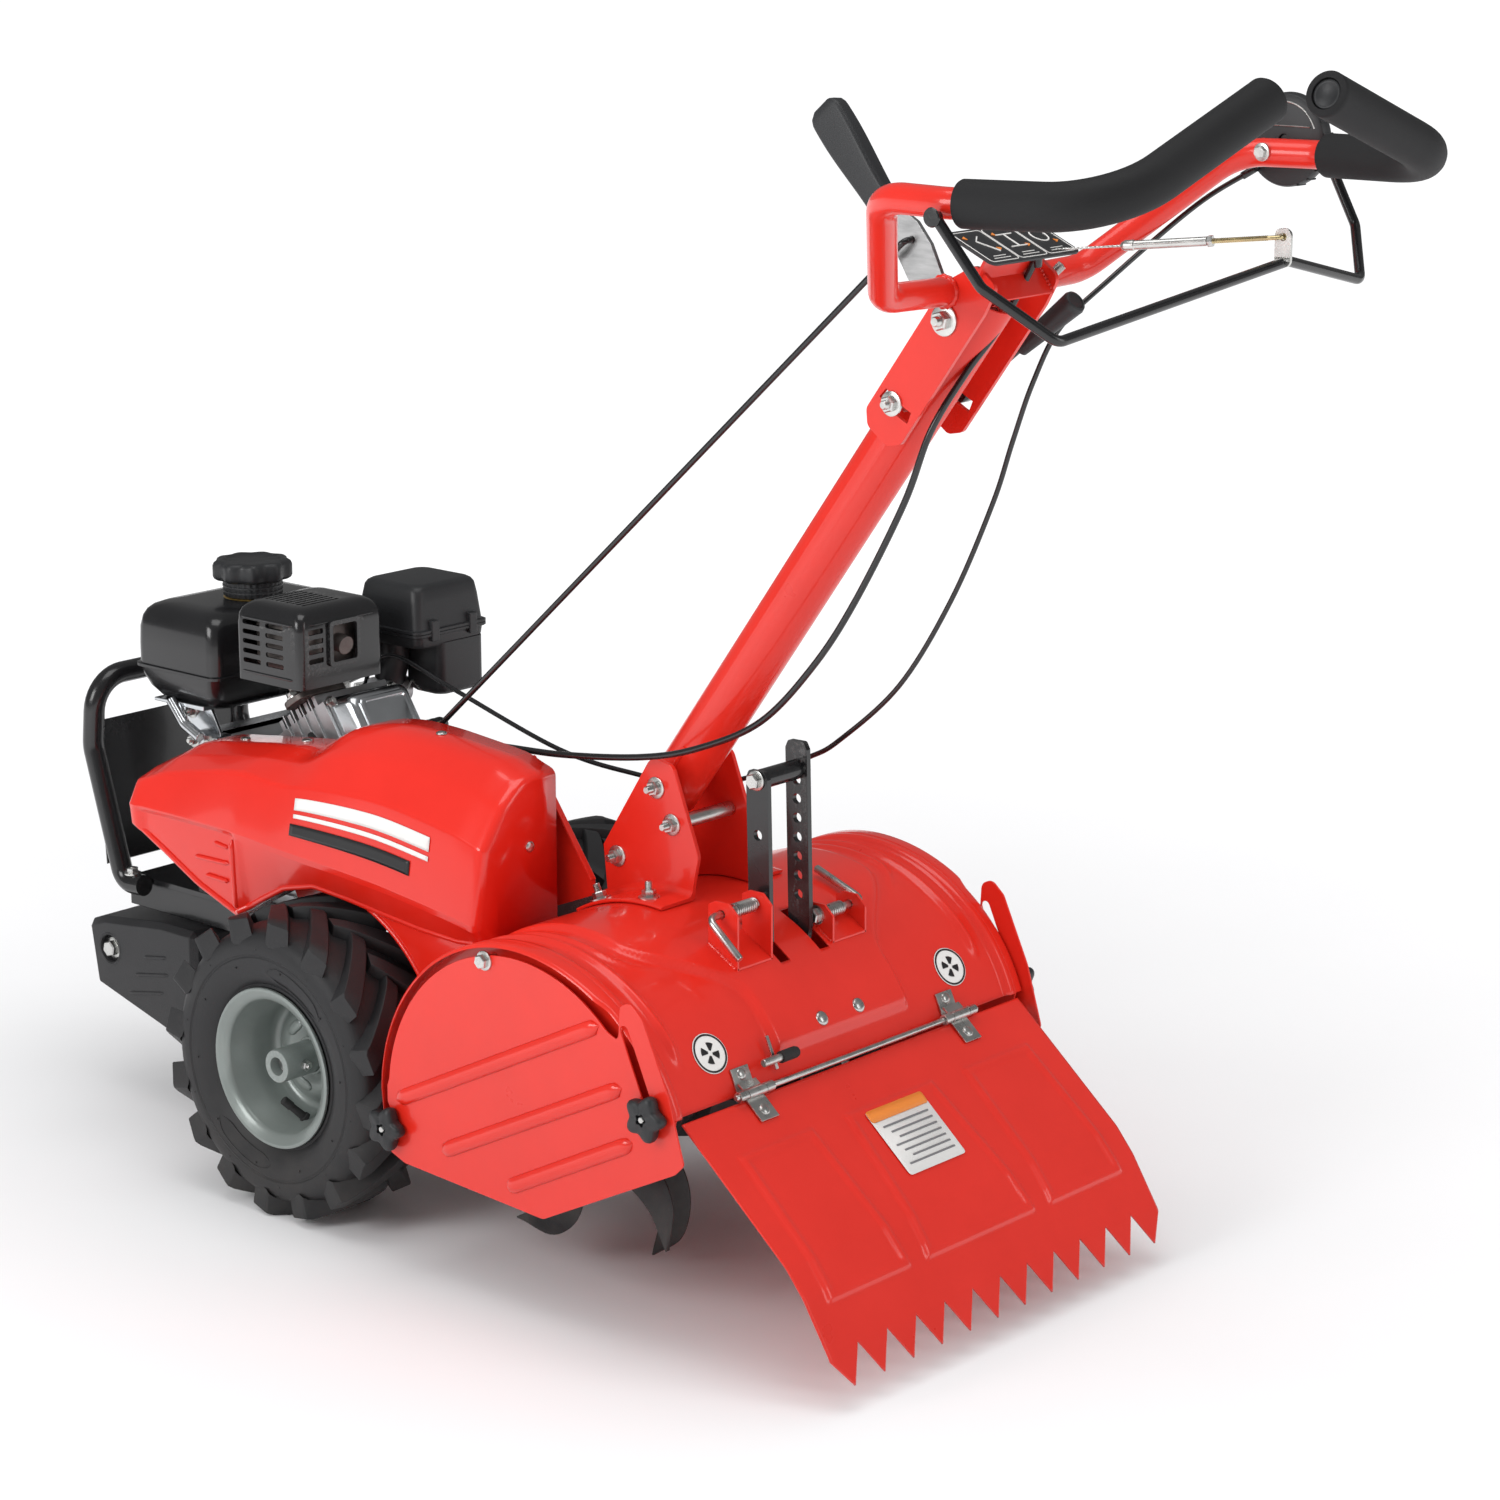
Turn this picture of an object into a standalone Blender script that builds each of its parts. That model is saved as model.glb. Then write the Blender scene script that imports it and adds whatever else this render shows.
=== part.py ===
"""Walk-behind rear-tine tiller, built as an assembly of separate pieces.

Frame: metres, +X forwards (the engine end), +Y to the machine's left, +Z up.
The origin is on the ground, on the mid-plane, straight below the wheel axle.
Each piece is one object. A moving piece has its origin on its joint's axis.
"""

import math

import bmesh
import bpy
from mathutils import Matrix, Vector

# ---------------------------------------------------------------- driving dimensions

GAP = 0.0003                      # air left between pieces that rest on each other
BORE_GAP = 0.0004                 # radial clearance of a shaft in its bore

AXLE_Z = 0.170                    # height of the wheel axle
AXLE_R = 0.0095
AXLE_HALF = 0.252
TYRE_R = 0.170                    # 13 x 5.00-6 field tyre, over the lugs
WHEEL_Y = 0.2130
HUB_OUT = 0.050                   # hub tube beyond the wheel's centre plane

TINE_X, TINE_Z = -0.390, 0.178    # tine shaft axis
TINE_R = 0.166                    # reach of a blade
TINE_SHAFT_R = 0.0125
TINE_SHAFT_HALF = 0.236

HOOD_X, HOOD_Z = -0.390, 0.190    # centre of the hood's arc
HOOD_R = 0.200
HOOD_REAR = 0.215                 # the rear half is stretched to this half-length
HOOD_HALF = 0.273                 # half the tilling width over the hood
HOOD_T = 0.002

CRANK_X, CRANK_Z = 0.245, 0.397   # engine crankshaft axis
CYLINDER_TILT = math.radians(34)
ENGINE_BASE_Z = 0.270
CASE_SHAFT_X, CASE_SHAFT_Z = -0.100, 0.430   # transmission input shaft axis
BELT_Y = 0.130
ENGINE_SHEAVE_R = 0.036
CASE_SHEAVE_R = 0.0715
BELT_DEPTH = 0.008
BELT_WIDTH = 0.009

PIVOT_X, PIVOT_Z = -0.740, 1.026  # handlebar tilt pivot
COLUMN_R = 0.0285
COLUMN_LEAN = math.radians(53.6)  # rise of the column, leaning back
RAIL_Y = 0.0450                   # inner face of the handlebar rails
RAIL_T = 0.005
CLAMP_REACH = 0.107               # clamp bolt below the tilt pivot, along the column

GRIP_R = 0.0215
BAR_R = 0.014

# ---------------------------------------------------------------- scene set-up

for old in list(bpy.data.objects):
    bpy.data.objects.remove(old, do_unlink=True)

PARTS = bpy.data.collections.new("rear_tine_tiller")
CUTTERS = bpy.data.collections.new("cutters")
bpy.context.scene.collection.children.link(PARTS)
bpy.context.scene.collection.children.link(CUTTERS)


def material(name, colour, roughness, metallic=0.0):
    mat = bpy.data.materials.new(name)
    mat.use_nodes = True
    shader = mat.node_tree.nodes["Principled BSDF"]
    shader.inputs["Base Color"].default_value = (*colour, 1.0)
    shader.inputs["Roughness"].default_value = roughness
    shader.inputs["Metallic"].default_value = metallic
    mat.diffuse_color = (*colour, 1.0)
    return mat


RED = material("red_enamel", (0.80, 0.035, 0.015), 0.25)
BLACK = material("black_enamel", (0.012, 0.012, 0.013), 0.30)
BLACK_PLASTIC = material("black_plastic", (0.016, 0.017, 0.018), 0.50)
FOAM = material("foam_rubber", (0.020, 0.020, 0.021), 0.75)
RUBBER = material("tyre_rubber", (0.018, 0.018, 0.020), 0.80)
ZINC = material("zinc_plate", (0.62, 0.63, 0.64), 0.32, 1.0)
ALUMINIUM = material("cast_aluminium", (0.55, 0.56, 0.57), 0.45, 1.0)
RIM_PAINT = material("rim_silver", (0.50, 0.54, 0.53), 0.38, 0.4)
IRON = material("cast_iron", (0.10, 0.10, 0.11), 0.60, 0.6)
TINE_STEEL = material("tine_steel", (0.045, 0.045, 0.050), 0.50, 0.5)
STEEL = material("bright_steel", (0.48, 0.49, 0.50), 0.40, 1.0)

# ---------------------------------------------------------------- modelling helpers


def link(obj, mat=None):
    PARTS.objects.link(obj)
    if mat is not None:
        obj.data.materials.append(mat)
    return obj


def hide_as_cutter(obj):
    for group in list(obj.users_collection):
        group.objects.unlink(obj)
    CUTTERS.objects.link(obj)
    obj.hide_render = True
    obj.display_type = "WIRE"


def from_bmesh(name, bm, mat):
    mesh = bpy.data.meshes.new(name)
    bmesh.ops.recalc_face_normals(bm, faces=bm.faces)
    bm.to_mesh(mesh)
    bm.free()
    return link(bpy.data.objects.new(name, mesh), mat)


def block(name, low, high, mat, bevel=0.0):
    """A box between two corners, with its edges rounded over."""
    low, high = Vector(low), Vector(high)
    bm = bmesh.new()
    bmesh.ops.create_cube(bm, size=1.0)
    size = high - low
    bmesh.ops.scale(bm, vec=size, verts=bm.verts)
    bmesh.ops.translate(bm, vec=(low + high) / 2, verts=bm.verts)
    obj = from_bmesh(name, bm, mat)
    if bevel:
        add_bevel(obj, bevel)
    return obj


def rod(name, start, end, radius, mat, sides=16, end_radius=None):
    """A straight round bar or cone between two points."""
    start, end = Vector(start), Vector(end)
    run = end - start
    bm = bmesh.new()
    bmesh.ops.create_cone(
        bm, cap_ends=True, segments=sides, radius1=radius,
        radius2=radius if end_radius is None else end_radius, depth=run.length,
    )
    turn = run.to_track_quat("Z", "Y").to_matrix().to_4x4()
    bmesh.ops.transform(bm, matrix=Matrix.Translation((start + end) / 2) @ turn, verts=bm.verts)
    obj = from_bmesh(name, bm, mat)
    obj.data.shade_smooth()
    obj.data.set_sharp_from_angle(angle=math.radians(40))
    return obj


def add_bevel(obj, width, segments=1):
    bevel = obj.modifiers.new("rounded_edges", "BEVEL")
    bevel.width = width
    bevel.segments = segments
    bevel.limit_method = "ANGLE"
    bevel.angle_limit = math.radians(40)


def settle(obj):
    """Replaces an object's data by its evaluated mesh, so that it can be cut or joined."""
    bpy.context.view_layer.update()
    graph = bpy.context.evaluated_depsgraph_get()
    mesh = bpy.data.meshes.new_from_object(obj.evaluated_get(graph))
    bm = bmesh.new()
    bm.from_mesh(mesh)
    bmesh.ops.transform(bm, matrix=obj.matrix_world, verts=bm.verts)
    bmesh.ops.remove_doubles(bm, verts=bm.verts, dist=1e-5)
    bmesh.ops.recalc_face_normals(bm, faces=bm.faces)
    bm.to_mesh(mesh)
    bm.free()
    name = obj.name
    mats = [slot.material for slot in obj.material_slots]
    bpy.data.objects.remove(obj)
    solid = bpy.data.objects.new(name, mesh)
    PARTS.objects.link(solid)
    mesh.materials.clear()
    for mat in mats:
        mesh.materials.append(mat)
    return solid


def boolean(obj, tools, operation):
    for tool in tools:
        step = obj.modifiers.new(operation.lower() + "_" + tool.name, "BOOLEAN")
        step.operation = operation
        step.solver = "EXACT"
        step.object = tool
        hide_as_cutter(tool)
    return settle(obj)


def cut(obj, *tools):
    return boolean(obj, tools, "DIFFERENCE")


def join(obj, *tools):
    return boolean(obj, tools, "UNION")


def put_origin(obj, pivot):
    """Moves an object's origin to a joint axis without moving its shape."""
    pivot = Vector(pivot)
    obj.data.transform(Matrix.Translation(-pivot) @ obj.matrix_world)
    obj.matrix_world = Matrix.Translation(pivot)
    return obj


def plate(name, outline, low, high, mat, axis="Y", holes=()):
    """A flat outline, with any holes, drawn in 2D and given its thickness along an axis.

    The outline is (x, z) for a plate across Y, (y, z) for one across X and (x, y) across Z.
    """
    curve = bpy.data.curves.new(name, "CURVE")
    curve.dimensions = "2D"
    curve.fill_mode = "BOTH"
    curve.extrude = (high - low) / 2
    for loop in (outline, *holes):
        spline = curve.splines.new("POLY")
        spline.points.add(len(loop) - 1)
        for point, (a, b) in zip(spline.points, loop):
            point.co = (a, b, 0.0, 1.0)
        spline.use_cyclic_u = True
    obj = link(bpy.data.objects.new(name, curve), mat)
    middle = (low + high) / 2
    if axis == "Y":
        obj.matrix_world = Matrix.Translation((0, middle, 0)) @ Matrix.Rotation(math.pi / 2, 4, "X")
    elif axis == "X":
        stand = Matrix.Rotation(math.pi / 2, 4, "Z") @ Matrix.Rotation(math.pi / 2, 4, "X")
        obj.matrix_world = Matrix.Translation((middle, 0, 0)) @ stand
    else:
        obj.matrix_world = Matrix.Translation((0, 0, middle))
    return settle(obj)


def turned(name, loop, centre, direction, mat, steps=32):
    """A closed (radius, height) loop turned about an axis through the centre."""
    area = sum(a[0] * b[1] - b[0] * a[1] for a, b in zip(loop, loop[1:] + loop[:1]))
    if area > 0:
        loop = loop[::-1]
    closed = all(radius > 0 for radius, _ in loop)
    mesh = bpy.data.meshes.new(name)
    verts = [(radius, 0.0, height) for radius, height in loop]
    edges = [(i, i + 1) for i in range(len(loop) - 1)]
    if closed:
        edges.append((len(loop) - 1, 0))
    mesh.from_pydata(verts, edges, [])
    obj = link(bpy.data.objects.new(name, mesh), mat)
    turn = Vector(direction).to_track_quat("Z", "Y").to_matrix().to_4x4()
    obj.matrix_world = Matrix.Translation(centre) @ turn
    screw = obj.modifiers.new("turn", "SCREW")
    screw.steps = steps
    screw.render_steps = steps
    screw.use_merge_vertices = True
    screw.merge_threshold = 1e-5
    screw.use_smooth_shade = True
    return obj


def arc(cx, cz, radius, start_deg, end_deg, count, stretch=1.0):
    """Points on an arc, angles from +X towards +Z; stretch scales the x radius."""
    points = []
    for i in range(count):
        angle = math.radians(start_deg + (end_deg - start_deg) * i / (count - 1))
        points.append((cx + radius * stretch * math.cos(angle), cz + radius * math.sin(angle)))
    return points


def circle(cx, cz, radius, count=12):
    return arc(cx, cz, radius, 0, 360 * (count - 1) / count, count)


def fillet(points, radii, steps=5):
    """A path through the points with every inner corner rounded, to one radius or one each."""
    points = [Vector(p) for p in points]
    if not isinstance(radii, (list, tuple)):
        radii = [radii] * (len(points) - 2)
    path = [points[0]]
    for before, corner, after, radius in zip(points, points[1:], points[2:], radii):
        to_start = (before - corner).normalized()
        to_end = (after - corner).normalized()
        half = to_start.angle(to_end) / 2
        reach = min(radius / math.tan(half),
                    0.49 * (before - corner).length, 0.49 * (after - corner).length)
        bend = reach * math.tan(half)
        centre = corner + (to_start + to_end).normalized() * (bend / math.sin(half))
        first = corner + to_start * reach - centre
        last = corner + to_end * reach - centre
        for i in range(steps + 1):
            path.append(centre + first.slerp(last, i / steps).normalized() * bend)
    path.append(points[-1])
    return path


def smooth_path(points, steps=4):
    """A Catmull-Rom path through the points, for cables."""
    points = [Vector(p) for p in points]
    ends = [points[0] * 2 - points[1]] + points + [points[-1] * 2 - points[-2]]
    path = []
    for p0, p1, p2, p3 in zip(ends, ends[1:], ends[2:], ends[3:]):
        for i in range(steps):
            t = i / steps
            path.append(0.5 * (2 * p1 + (p2 - p0) * t + (2 * p0 - 5 * p1 + 4 * p2 - p3) * t ** 2
                               + (3 * p1 - p0 - 3 * p2 + p3) * t ** 3))
    path.append(points[-1])
    return path


def tube(name, path, radius, mat, resolution=3):
    """A round bar, tube or wire along a path, as a capped bevelled curve."""
    curve = bpy.data.curves.new(name, "CURVE")
    curve.dimensions = "3D"
    curve.bevel_depth = radius
    curve.bevel_resolution = resolution
    curve.use_fill_caps = True
    spline = curve.splines.new("POLY")
    spline.points.add(len(path) - 1)
    for point, place in zip(spline.points, path):
        point.co = (*place, 1.0)
    return link(bpy.data.objects.new(name, curve), mat)


def ribbon(points, thickness):
    """A closed loop of the given thickness to the left of an open path of points."""
    points = [Vector(p) for p in points]
    offset = []
    for i, point in enumerate(points):
        before = (point - points[i - 1]).normalized() if i else None
        after = (points[i + 1] - point).normalized() if i < len(points) - 1 else None
        a = before or after
        b = after or before
        normal = (Vector((-a.y, a.x)) + Vector((-b.y, b.x))).normalized()
        offset.append(point + normal * thickness / max(0.3, normal.dot(Vector((-a.y, a.x)))))
    return [tuple(p) for p in points] + [tuple(p) for p in reversed(offset)]


def knob(name, centre, direction, mat, lobes=5, radius=0.021, height=0.016):
    """A lobed hand knob whose back is at the centre; its round outline comes from a cosine."""
    count = lobes * 4
    points = []
    for i in range(count):
        angle = 2 * math.pi * i / count
        reach = radius * (1 + 0.16 * math.cos(lobes * angle))
        points.append((reach * math.cos(angle), reach * math.sin(angle)))
    obj = plate(name, points, 0.0, height, mat, axis="Z")
    turn = Vector(direction).to_track_quat("Z", "Y").to_matrix().to_4x4()
    obj.data.transform(turn)
    obj.location = centre
    return obj


# ---------------------------------------------------------------- chassis


def build_frame():
    """Two box rails under the engine, a bed plate and a front cross member."""
    rail_low, rail_high = 0.2290, 0.2640
    frame = block("frame", (-0.120, 0.054, rail_low), (0.445, 0.092, rail_high), BLACK)
    right = block("rail", (-0.120, -0.092, rail_low), (0.445, -0.054, rail_high), BLACK)
    bed = block("bed", (0.120, -0.098, 0.2625), (0.430, 0.098, ENGINE_BASE_Z - GAP), BLACK)
    cross = block("cross", (0.400, -0.090, rail_low + 0.002), (0.440, 0.090, rail_high - 0.002), BLACK)
    return join(frame, right, bed, cross)


def case_outline(inset):
    """The transmission case in the side view, or the same outline moved inwards."""
    return (
        arc(0.0, AXLE_Z, 0.062 - inset, -75, 35, 6)
        + [(0.035 - inset, 0.240 - inset), (-0.020 - inset, 0.300), (-0.030 - inset, 0.440)]
        + arc(CASE_SHAFT_X, CASE_SHAFT_Z, 0.046 - inset, 35, 145, 5)
        + [(-0.170 + inset, 0.420), (-0.176 + inset, 0.300 - inset), (-0.240, 0.252 - inset)]
        + arc(TINE_X, TINE_Z, 0.052 - inset, 75, 270, 8)
        + [(-0.240, 0.110 + inset), (-0.060, 0.105 + inset)]
    )


def build_gearbox_case():
    """The cast transmission case, from the input shaft down to the axle and back to the tines."""
    half, wall = 0.0500, 0.0070
    case = plate("gearbox_case", case_outline(0.0), -half, half, IRON)
    cavity = plate("cavity", case_outline(wall), wall - half, half - wall, IRON)
    for side in (-1, 1):
        boss = rod("axle_boss", (0, side * 0.045, AXLE_Z), (0, side * 0.092, AXLE_Z), 0.030, IRON, 20)
        case = join(case, boss)
    axle_bore = rod("axle_bore", (0, -0.2, AXLE_Z), (0, 0.2, AXLE_Z), AXLE_R + BORE_GAP, IRON, 24)
    tine_bore = rod("tine_bore", (TINE_X, -0.2, TINE_Z), (TINE_X, 0.2, TINE_Z),
                    TINE_SHAFT_R + BORE_GAP, IRON, 24)
    input_bore = rod("input_bore", (CASE_SHAFT_X, -0.03, CASE_SHAFT_Z),
                     (CASE_SHAFT_X, 0.2, CASE_SHAFT_Z), 0.0095 + BORE_GAP, IRON, 20)
    arm_bore = rod("arm_bore", (*SHIFT_ARM_PIVOT[:1], 0.02, SHIFT_ARM_PIVOT[2]),
                   (SHIFT_ARM_PIVOT[0], 0.2, SHIFT_ARM_PIVOT[2]), 0.006 + BORE_GAP, IRON, 16)
    idler_bore = rod("idler_bore", (IDLER_PIVOT[0], 0.02, IDLER_PIVOT[2]),
                     (IDLER_PIVOT[0], 0.2, IDLER_PIVOT[2]), 0.006 + BORE_GAP, IRON, 16)
    return cut(case, cavity, axle_bore, tine_bore, input_bore, arm_bore, idler_bore)


def build_front_bumper():
    """A bent tube hoop with a flat guard plate welded between its legs."""
    leg, radius = 0.112, 0.0125
    path = fillet([
        (0.395, leg, 0.2480 + radius + 0.004), (0.430, leg, 0.250 + radius), (0.478, leg, 0.420),
        (0.472, leg - 0.002, 0.502), (0.472, -leg + 0.002, 0.502), (0.478, -leg, 0.420),
        (0.430, -leg, 0.250 + radius), (0.395, -leg, 0.2480 + radius + 0.004),
    ], 0.045, 4)
    hoop = settle(tube("front_bumper", path, radius, BLACK, 2))
    guard = plate("guard", [(0.4655, 0.278), (0.4685, 0.278), (0.4800, 0.447), (0.4770, 0.447)],
                  -0.112, 0.112, BLACK)
    return join(hoop, guard)


def build_counterweight():
    """A moulded block hung under the front of the frame, hollowed from behind."""
    outline = [(0.300, 0.118), (0.332, 0.092), (0.484, 0.134), (0.496, 0.204),
               (0.470, 0.214), (0.362, 0.2265), (0.300, 0.2265)]
    body = plate("counterweight", outline, -0.121, 0.121, BLACK_PLASTIC)
    add_bevel(body, 0.008)
    body = settle(body)
    pocket = block("pocket", (0.290, -0.075, 0.125), (0.400, 0.075, 0.205), BLACK_PLASTIC)
    recess = rod("bolt_recess", (0.452, 0.112, 0.178), (0.452, 0.130, 0.178), 0.017, BLACK_PLASTIC, 16)
    recess_right = rod("bolt_recess_right", (0.452, -0.112, 0.178), (0.452, -0.130, 0.178),
                       0.017, BLACK_PLASTIC, 16)
    return cut(body, pocket, recess, recess_right)


COVER_Y0, COVER_Y1 = 0.0800, 0.2000
COVER_STATIONS = [
    # x, top of the inner edge, ridge above the side, crease on the side, underside
    (0.310, 0.437, 0.421, 0.397, 0.373),
    (0.262, 0.460, 0.437, 0.397, 0.350),
    (0.200, 0.470, 0.450, 0.397, 0.319),
    (0.137, 0.478, 0.460, 0.396, 0.297),
    (0.105, 0.482, 0.459, 0.394, 0.3165),
    (0.064, 0.489, 0.457, 0.391, 0.3385),
    (0.015, 0.516, 0.462, 0.388, 0.3500),
    (-0.040, 0.528, 0.465, 0.385, 0.3460),
    (-0.094, 0.529, 0.465, 0.381, 0.3400),
    (-0.150, 0.525, 0.459, 0.375, 0.3350),
    (-0.208, 0.519, 0.450, 0.368, 0.3330),
    (-0.246, 0.508, 0.440, 0.362, 0.3380),
]


def build_belt_cover():
    """A moulded shell over the belt: sections lofted along its length, open on the inner side."""
    bm = bmesh.new()
    rows = []
    for x, top, ridge, crease, under in COVER_STATIONS:
        crown = 0.6 * top + 0.4 * ridge
        section = [(COVER_Y0, top), (0.125, top), (0.160, crown), (0.187, ridge), (COVER_Y1, crease),
                   (COVER_Y1 - 0.003, under), (0.150, under), (COVER_Y0, under)]
        rows.append([bm.verts.new((x, y, z)) for y, z in section])
    for front, rear in zip(rows, rows[1:]):
        for i in range(len(front) - 1):
            bm.faces.new((front[i], front[i + 1], rear[i + 1], rear[i]))
    bm.faces.new(rows[0])
    bm.faces.new(rows[-1])
    cover = from_bmesh("belt_cover", bm, RED)
    shell = cover.modifiers.new("wall", "SOLIDIFY")
    shell.thickness = 0.0025
    shell.offset = 1.0 if outward_offset_is_positive(cover) else -1.0
    shell.use_even_offset = True
    return cover


def outward_offset_is_positive(obj):
    """True when the open shell's normals point inwards, so that the wall must grow along them."""
    top = max(obj.data.polygons, key=lambda face: face.center.z)
    return top.normal.z < 0


# ---------------------------------------------------------------- engine


def along_cylinder(distance, across=0.0):
    """A point in the side view, measured from the crankshaft along the cylinder's axis."""
    return (CRANK_X - distance * math.cos(CYLINDER_TILT) + across * math.sin(CYLINDER_TILT),
            CRANK_Z + distance * math.sin(CYLINDER_TILT) + across * math.cos(CYLINDER_TILT))


FINS, FIN_START, FIN_PITCH = 5, 0.072, 0.0165
HEAD_END = FIN_START + FINS * FIN_PITCH


def build_engine_block():
    """Crankcase, finned cylinder and head as one casting."""
    crankcase = block("engine_block", (0.168, -0.064, ENGINE_BASE_Z), (0.330, 0.066, 0.452),
                      ALUMINIUM, 0.012)
    crankcase = settle(crankcase)
    foot = block("foot", (0.150, -0.070, ENGINE_BASE_Z), (0.345, 0.072, 0.284), ALUMINIUM)
    comb = [along_cylinder(0.060, -0.040), along_cylinder(0.060, 0.040)]
    root, tip = 0.040, 0.052
    for i in range(FINS):
        start = FIN_START + i * FIN_PITCH
        comb += [along_cylinder(start, root), along_cylinder(start, tip),
                 along_cylinder(start + 0.006, tip), along_cylinder(start + 0.006, root)]
    comb += [along_cylinder(HEAD_END, root), along_cylinder(HEAD_END, -root)]
    for i in reversed(range(FINS)):
        start = FIN_START + i * FIN_PITCH
        comb += [along_cylinder(start + 0.006, -root), along_cylinder(start + 0.006, -tip),
                 along_cylinder(start, -tip), along_cylinder(start, -root)]
    cylinder = plate("cylinder", comb, -0.055, 0.055, ALUMINIUM)
    block_casting = join(crankcase, foot, cylinder)
    shaft_bore = rod("shaft_bore", (CRANK_X, 0.030, CRANK_Z), (CRANK_X, 0.2, CRANK_Z),
                     0.0095 + BORE_GAP, ALUMINIUM, 20)
    return cut(block_casting, shaft_bore)


def build_valve_cover():
    """A pressed rocker cover bolted to the head."""
    near, far = HEAD_END + GAP, HEAD_END + 0.031
    outline = [along_cylinder(near, -0.037), along_cylinder(near, 0.037),
               along_cylinder(far - 0.006, 0.037), along_cylinder(far, 0.030),
               along_cylinder(far, -0.030), along_cylinder(far - 0.006, -0.037)]
    cover = plate("valve_cover", outline, -0.048, 0.048, ALUMINIUM)
    add_bevel(cover, 0.005)
    return cover


TANK_LOW, TANK_HIGH = Vector((0.283, -0.125, 0.475)), Vector((0.428, 0.090, 0.598))
CAP_X, CAP_Y, CAP_Z = 0.340, -0.022, 0.630


def build_fuel_tank():
    """A pressed tank in two halves with a seam flange, a neck and a filler hole."""
    seam = 0.522
    shell = block("fuel_tank", (TANK_LOW.x + 0.004, TANK_LOW.y + 0.004, TANK_LOW.z),
                  (TANK_HIGH.x - 0.004, TANK_HIGH.y - 0.004, TANK_HIGH.z), BLACK)
    add_bevel(shell, 0.018, 3)
    shell = settle(shell)
    flange = block("seam", (TANK_LOW.x, TANK_LOW.y, seam), (TANK_HIGH.x, TANK_HIGH.y, seam + 0.003),
                   BLACK)
    neck = rod("neck", (CAP_X, CAP_Y, 0.580), (CAP_X, CAP_Y, CAP_Z - 0.018), 0.026, BLACK, 20)
    tank = join(shell, flange, neck)
    filler = rod("filler", (CAP_X, CAP_Y, 0.550), (CAP_X, CAP_Y, CAP_Z), 0.021, BLACK, 20)
    wall = Vector((0.007, 0.007, 0.003))
    inside = block("inside", TANK_LOW + wall, TANK_HIGH - wall, BLACK)
    add_bevel(inside, 0.016)
    return cut(tank, settle(inside), filler)


def build_fuel_cap():
    """A lobed cap with a skirt around the tank's neck."""
    lobes, count, radius = 9, 36, 0.044
    outline = []
    for i in range(count):
        angle = 2 * math.pi * i / count
        reach = radius * (1 + 0.06 * math.cos(lobes * angle))
        outline.append((reach * math.cos(angle), reach * math.sin(angle)))
    grip = plate("fuel_cap", outline, -0.012, 0.012, BLACK_PLASTIC, axis="Z")
    skirt = rod("skirt", (0, 0, -0.030), (0, 0, -0.010), 0.034, BLACK_PLASTIC, 24)
    grip = join(grip, skirt)
    hollow = rod("hollow", (0, 0, -0.040), (0, 0, -0.0175), 0.0265, BLACK_PLASTIC, 20)
    grip = cut(grip, hollow)
    grip.location = (CAP_X, CAP_Y, CAP_Z)
    return grip


SHIELD_LOW, SHIELD_HIGH = Vector((0.124, -0.026, 0.538)), Vector((0.232, 0.101, 0.628))


def build_muffler():
    """The silencer can inside its shield, with its exhaust pipe down to the head."""
    inset = 0.012
    can = block("muffler", SHIELD_LOW + Vector((inset, inset, 0.004)),
                SHIELD_HIGH - Vector((inset, inset, inset)), STEEL)
    add_bevel(can, 0.012, 2)
    can = settle(can)
    head_x, head_z = along_cylinder(0.125, 0.0555)
    pipe = rod("pipe", (head_x + 0.004, 0.036, head_z + 0.005), (0.172, 0.036, 0.556), 0.012, STEEL, 14)
    return join(can, pipe)


def build_muffler_shield():
    """The pressed guard over the silencer, open underneath, slotted on two sides."""
    shield = block("muffler_shield", SHIELD_LOW, SHIELD_HIGH, BLACK)
    add_bevel(shield, 0.010, 2)
    shield = settle(shield)
    wall = 0.0025
    inside = block("inside", SHIELD_LOW + Vector((wall, wall, -0.02)),
                   SHIELD_HIGH - Vector((wall, wall, wall)), BLACK)
    add_bevel(inside, 0.0085, 2)
    tools = [settle(inside)]
    for column in range(2):
        for row in range(5):
            x = SHIELD_LOW.x + 0.028 + column * 0.038
            z = SHIELD_LOW.z + 0.020 + row * 0.011
            tools.append(block(f"slot_{column}_{row}", (x, SHIELD_HIGH.y - 0.01, z),
                               (x + 0.028, SHIELD_HIGH.y + 0.01, z + 0.005), BLACK))
    tools.append(block("outlet", (SHIELD_LOW.x - 0.01, 0.034, 0.563), (SHIELD_LOW.x + 0.01, 0.060, 0.589),
                       BLACK))
    return cut(shield, *tools)


def build_air_filter_box():
    """Air cleaner: a wide upper cover on a narrower base that reaches down to the carburettor."""
    upper = block("air_filter_box", (0.105, -0.168, 0.566), (0.208, -0.060, 0.632), BLACK_PLASTIC)
    add_bevel(upper, 0.010, 2)
    upper = settle(upper)
    rim = block("rim", (0.101, -0.172, 0.574), (0.211, -0.056, 0.581), BLACK_PLASTIC)
    lower = block("lower", (0.106, -0.168, 0.500), (0.166, -0.096, 0.570), BLACK_PLASTIC)
    neck = block("neck", (0.150, -0.110, 0.505), (0.195, -0.0645, 0.569), BLACK_PLASTIC)
    return join(upper, rim, lower, neck)


def build_recoil_starter():
    """The pull-start housing over the flywheel on the engine's right side."""
    loop = [(0.0755, 0.0), (0.078, 0.0), (0.086, 0.010), (0.088, 0.034), (0.084, 0.050),
            (0.070, 0.062), (0.040, 0.070), (0.012, 0.072), (0.012, 0.069), (0.038, 0.067),
            (0.068, 0.059), (0.081, 0.047), (0.085, 0.034), (0.083, 0.011)]
    return turned("recoil_starter", loop, (CRANK_X, -0.0643, CRANK_Z), (0, -1, 0), BLACK, 20)


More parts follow.
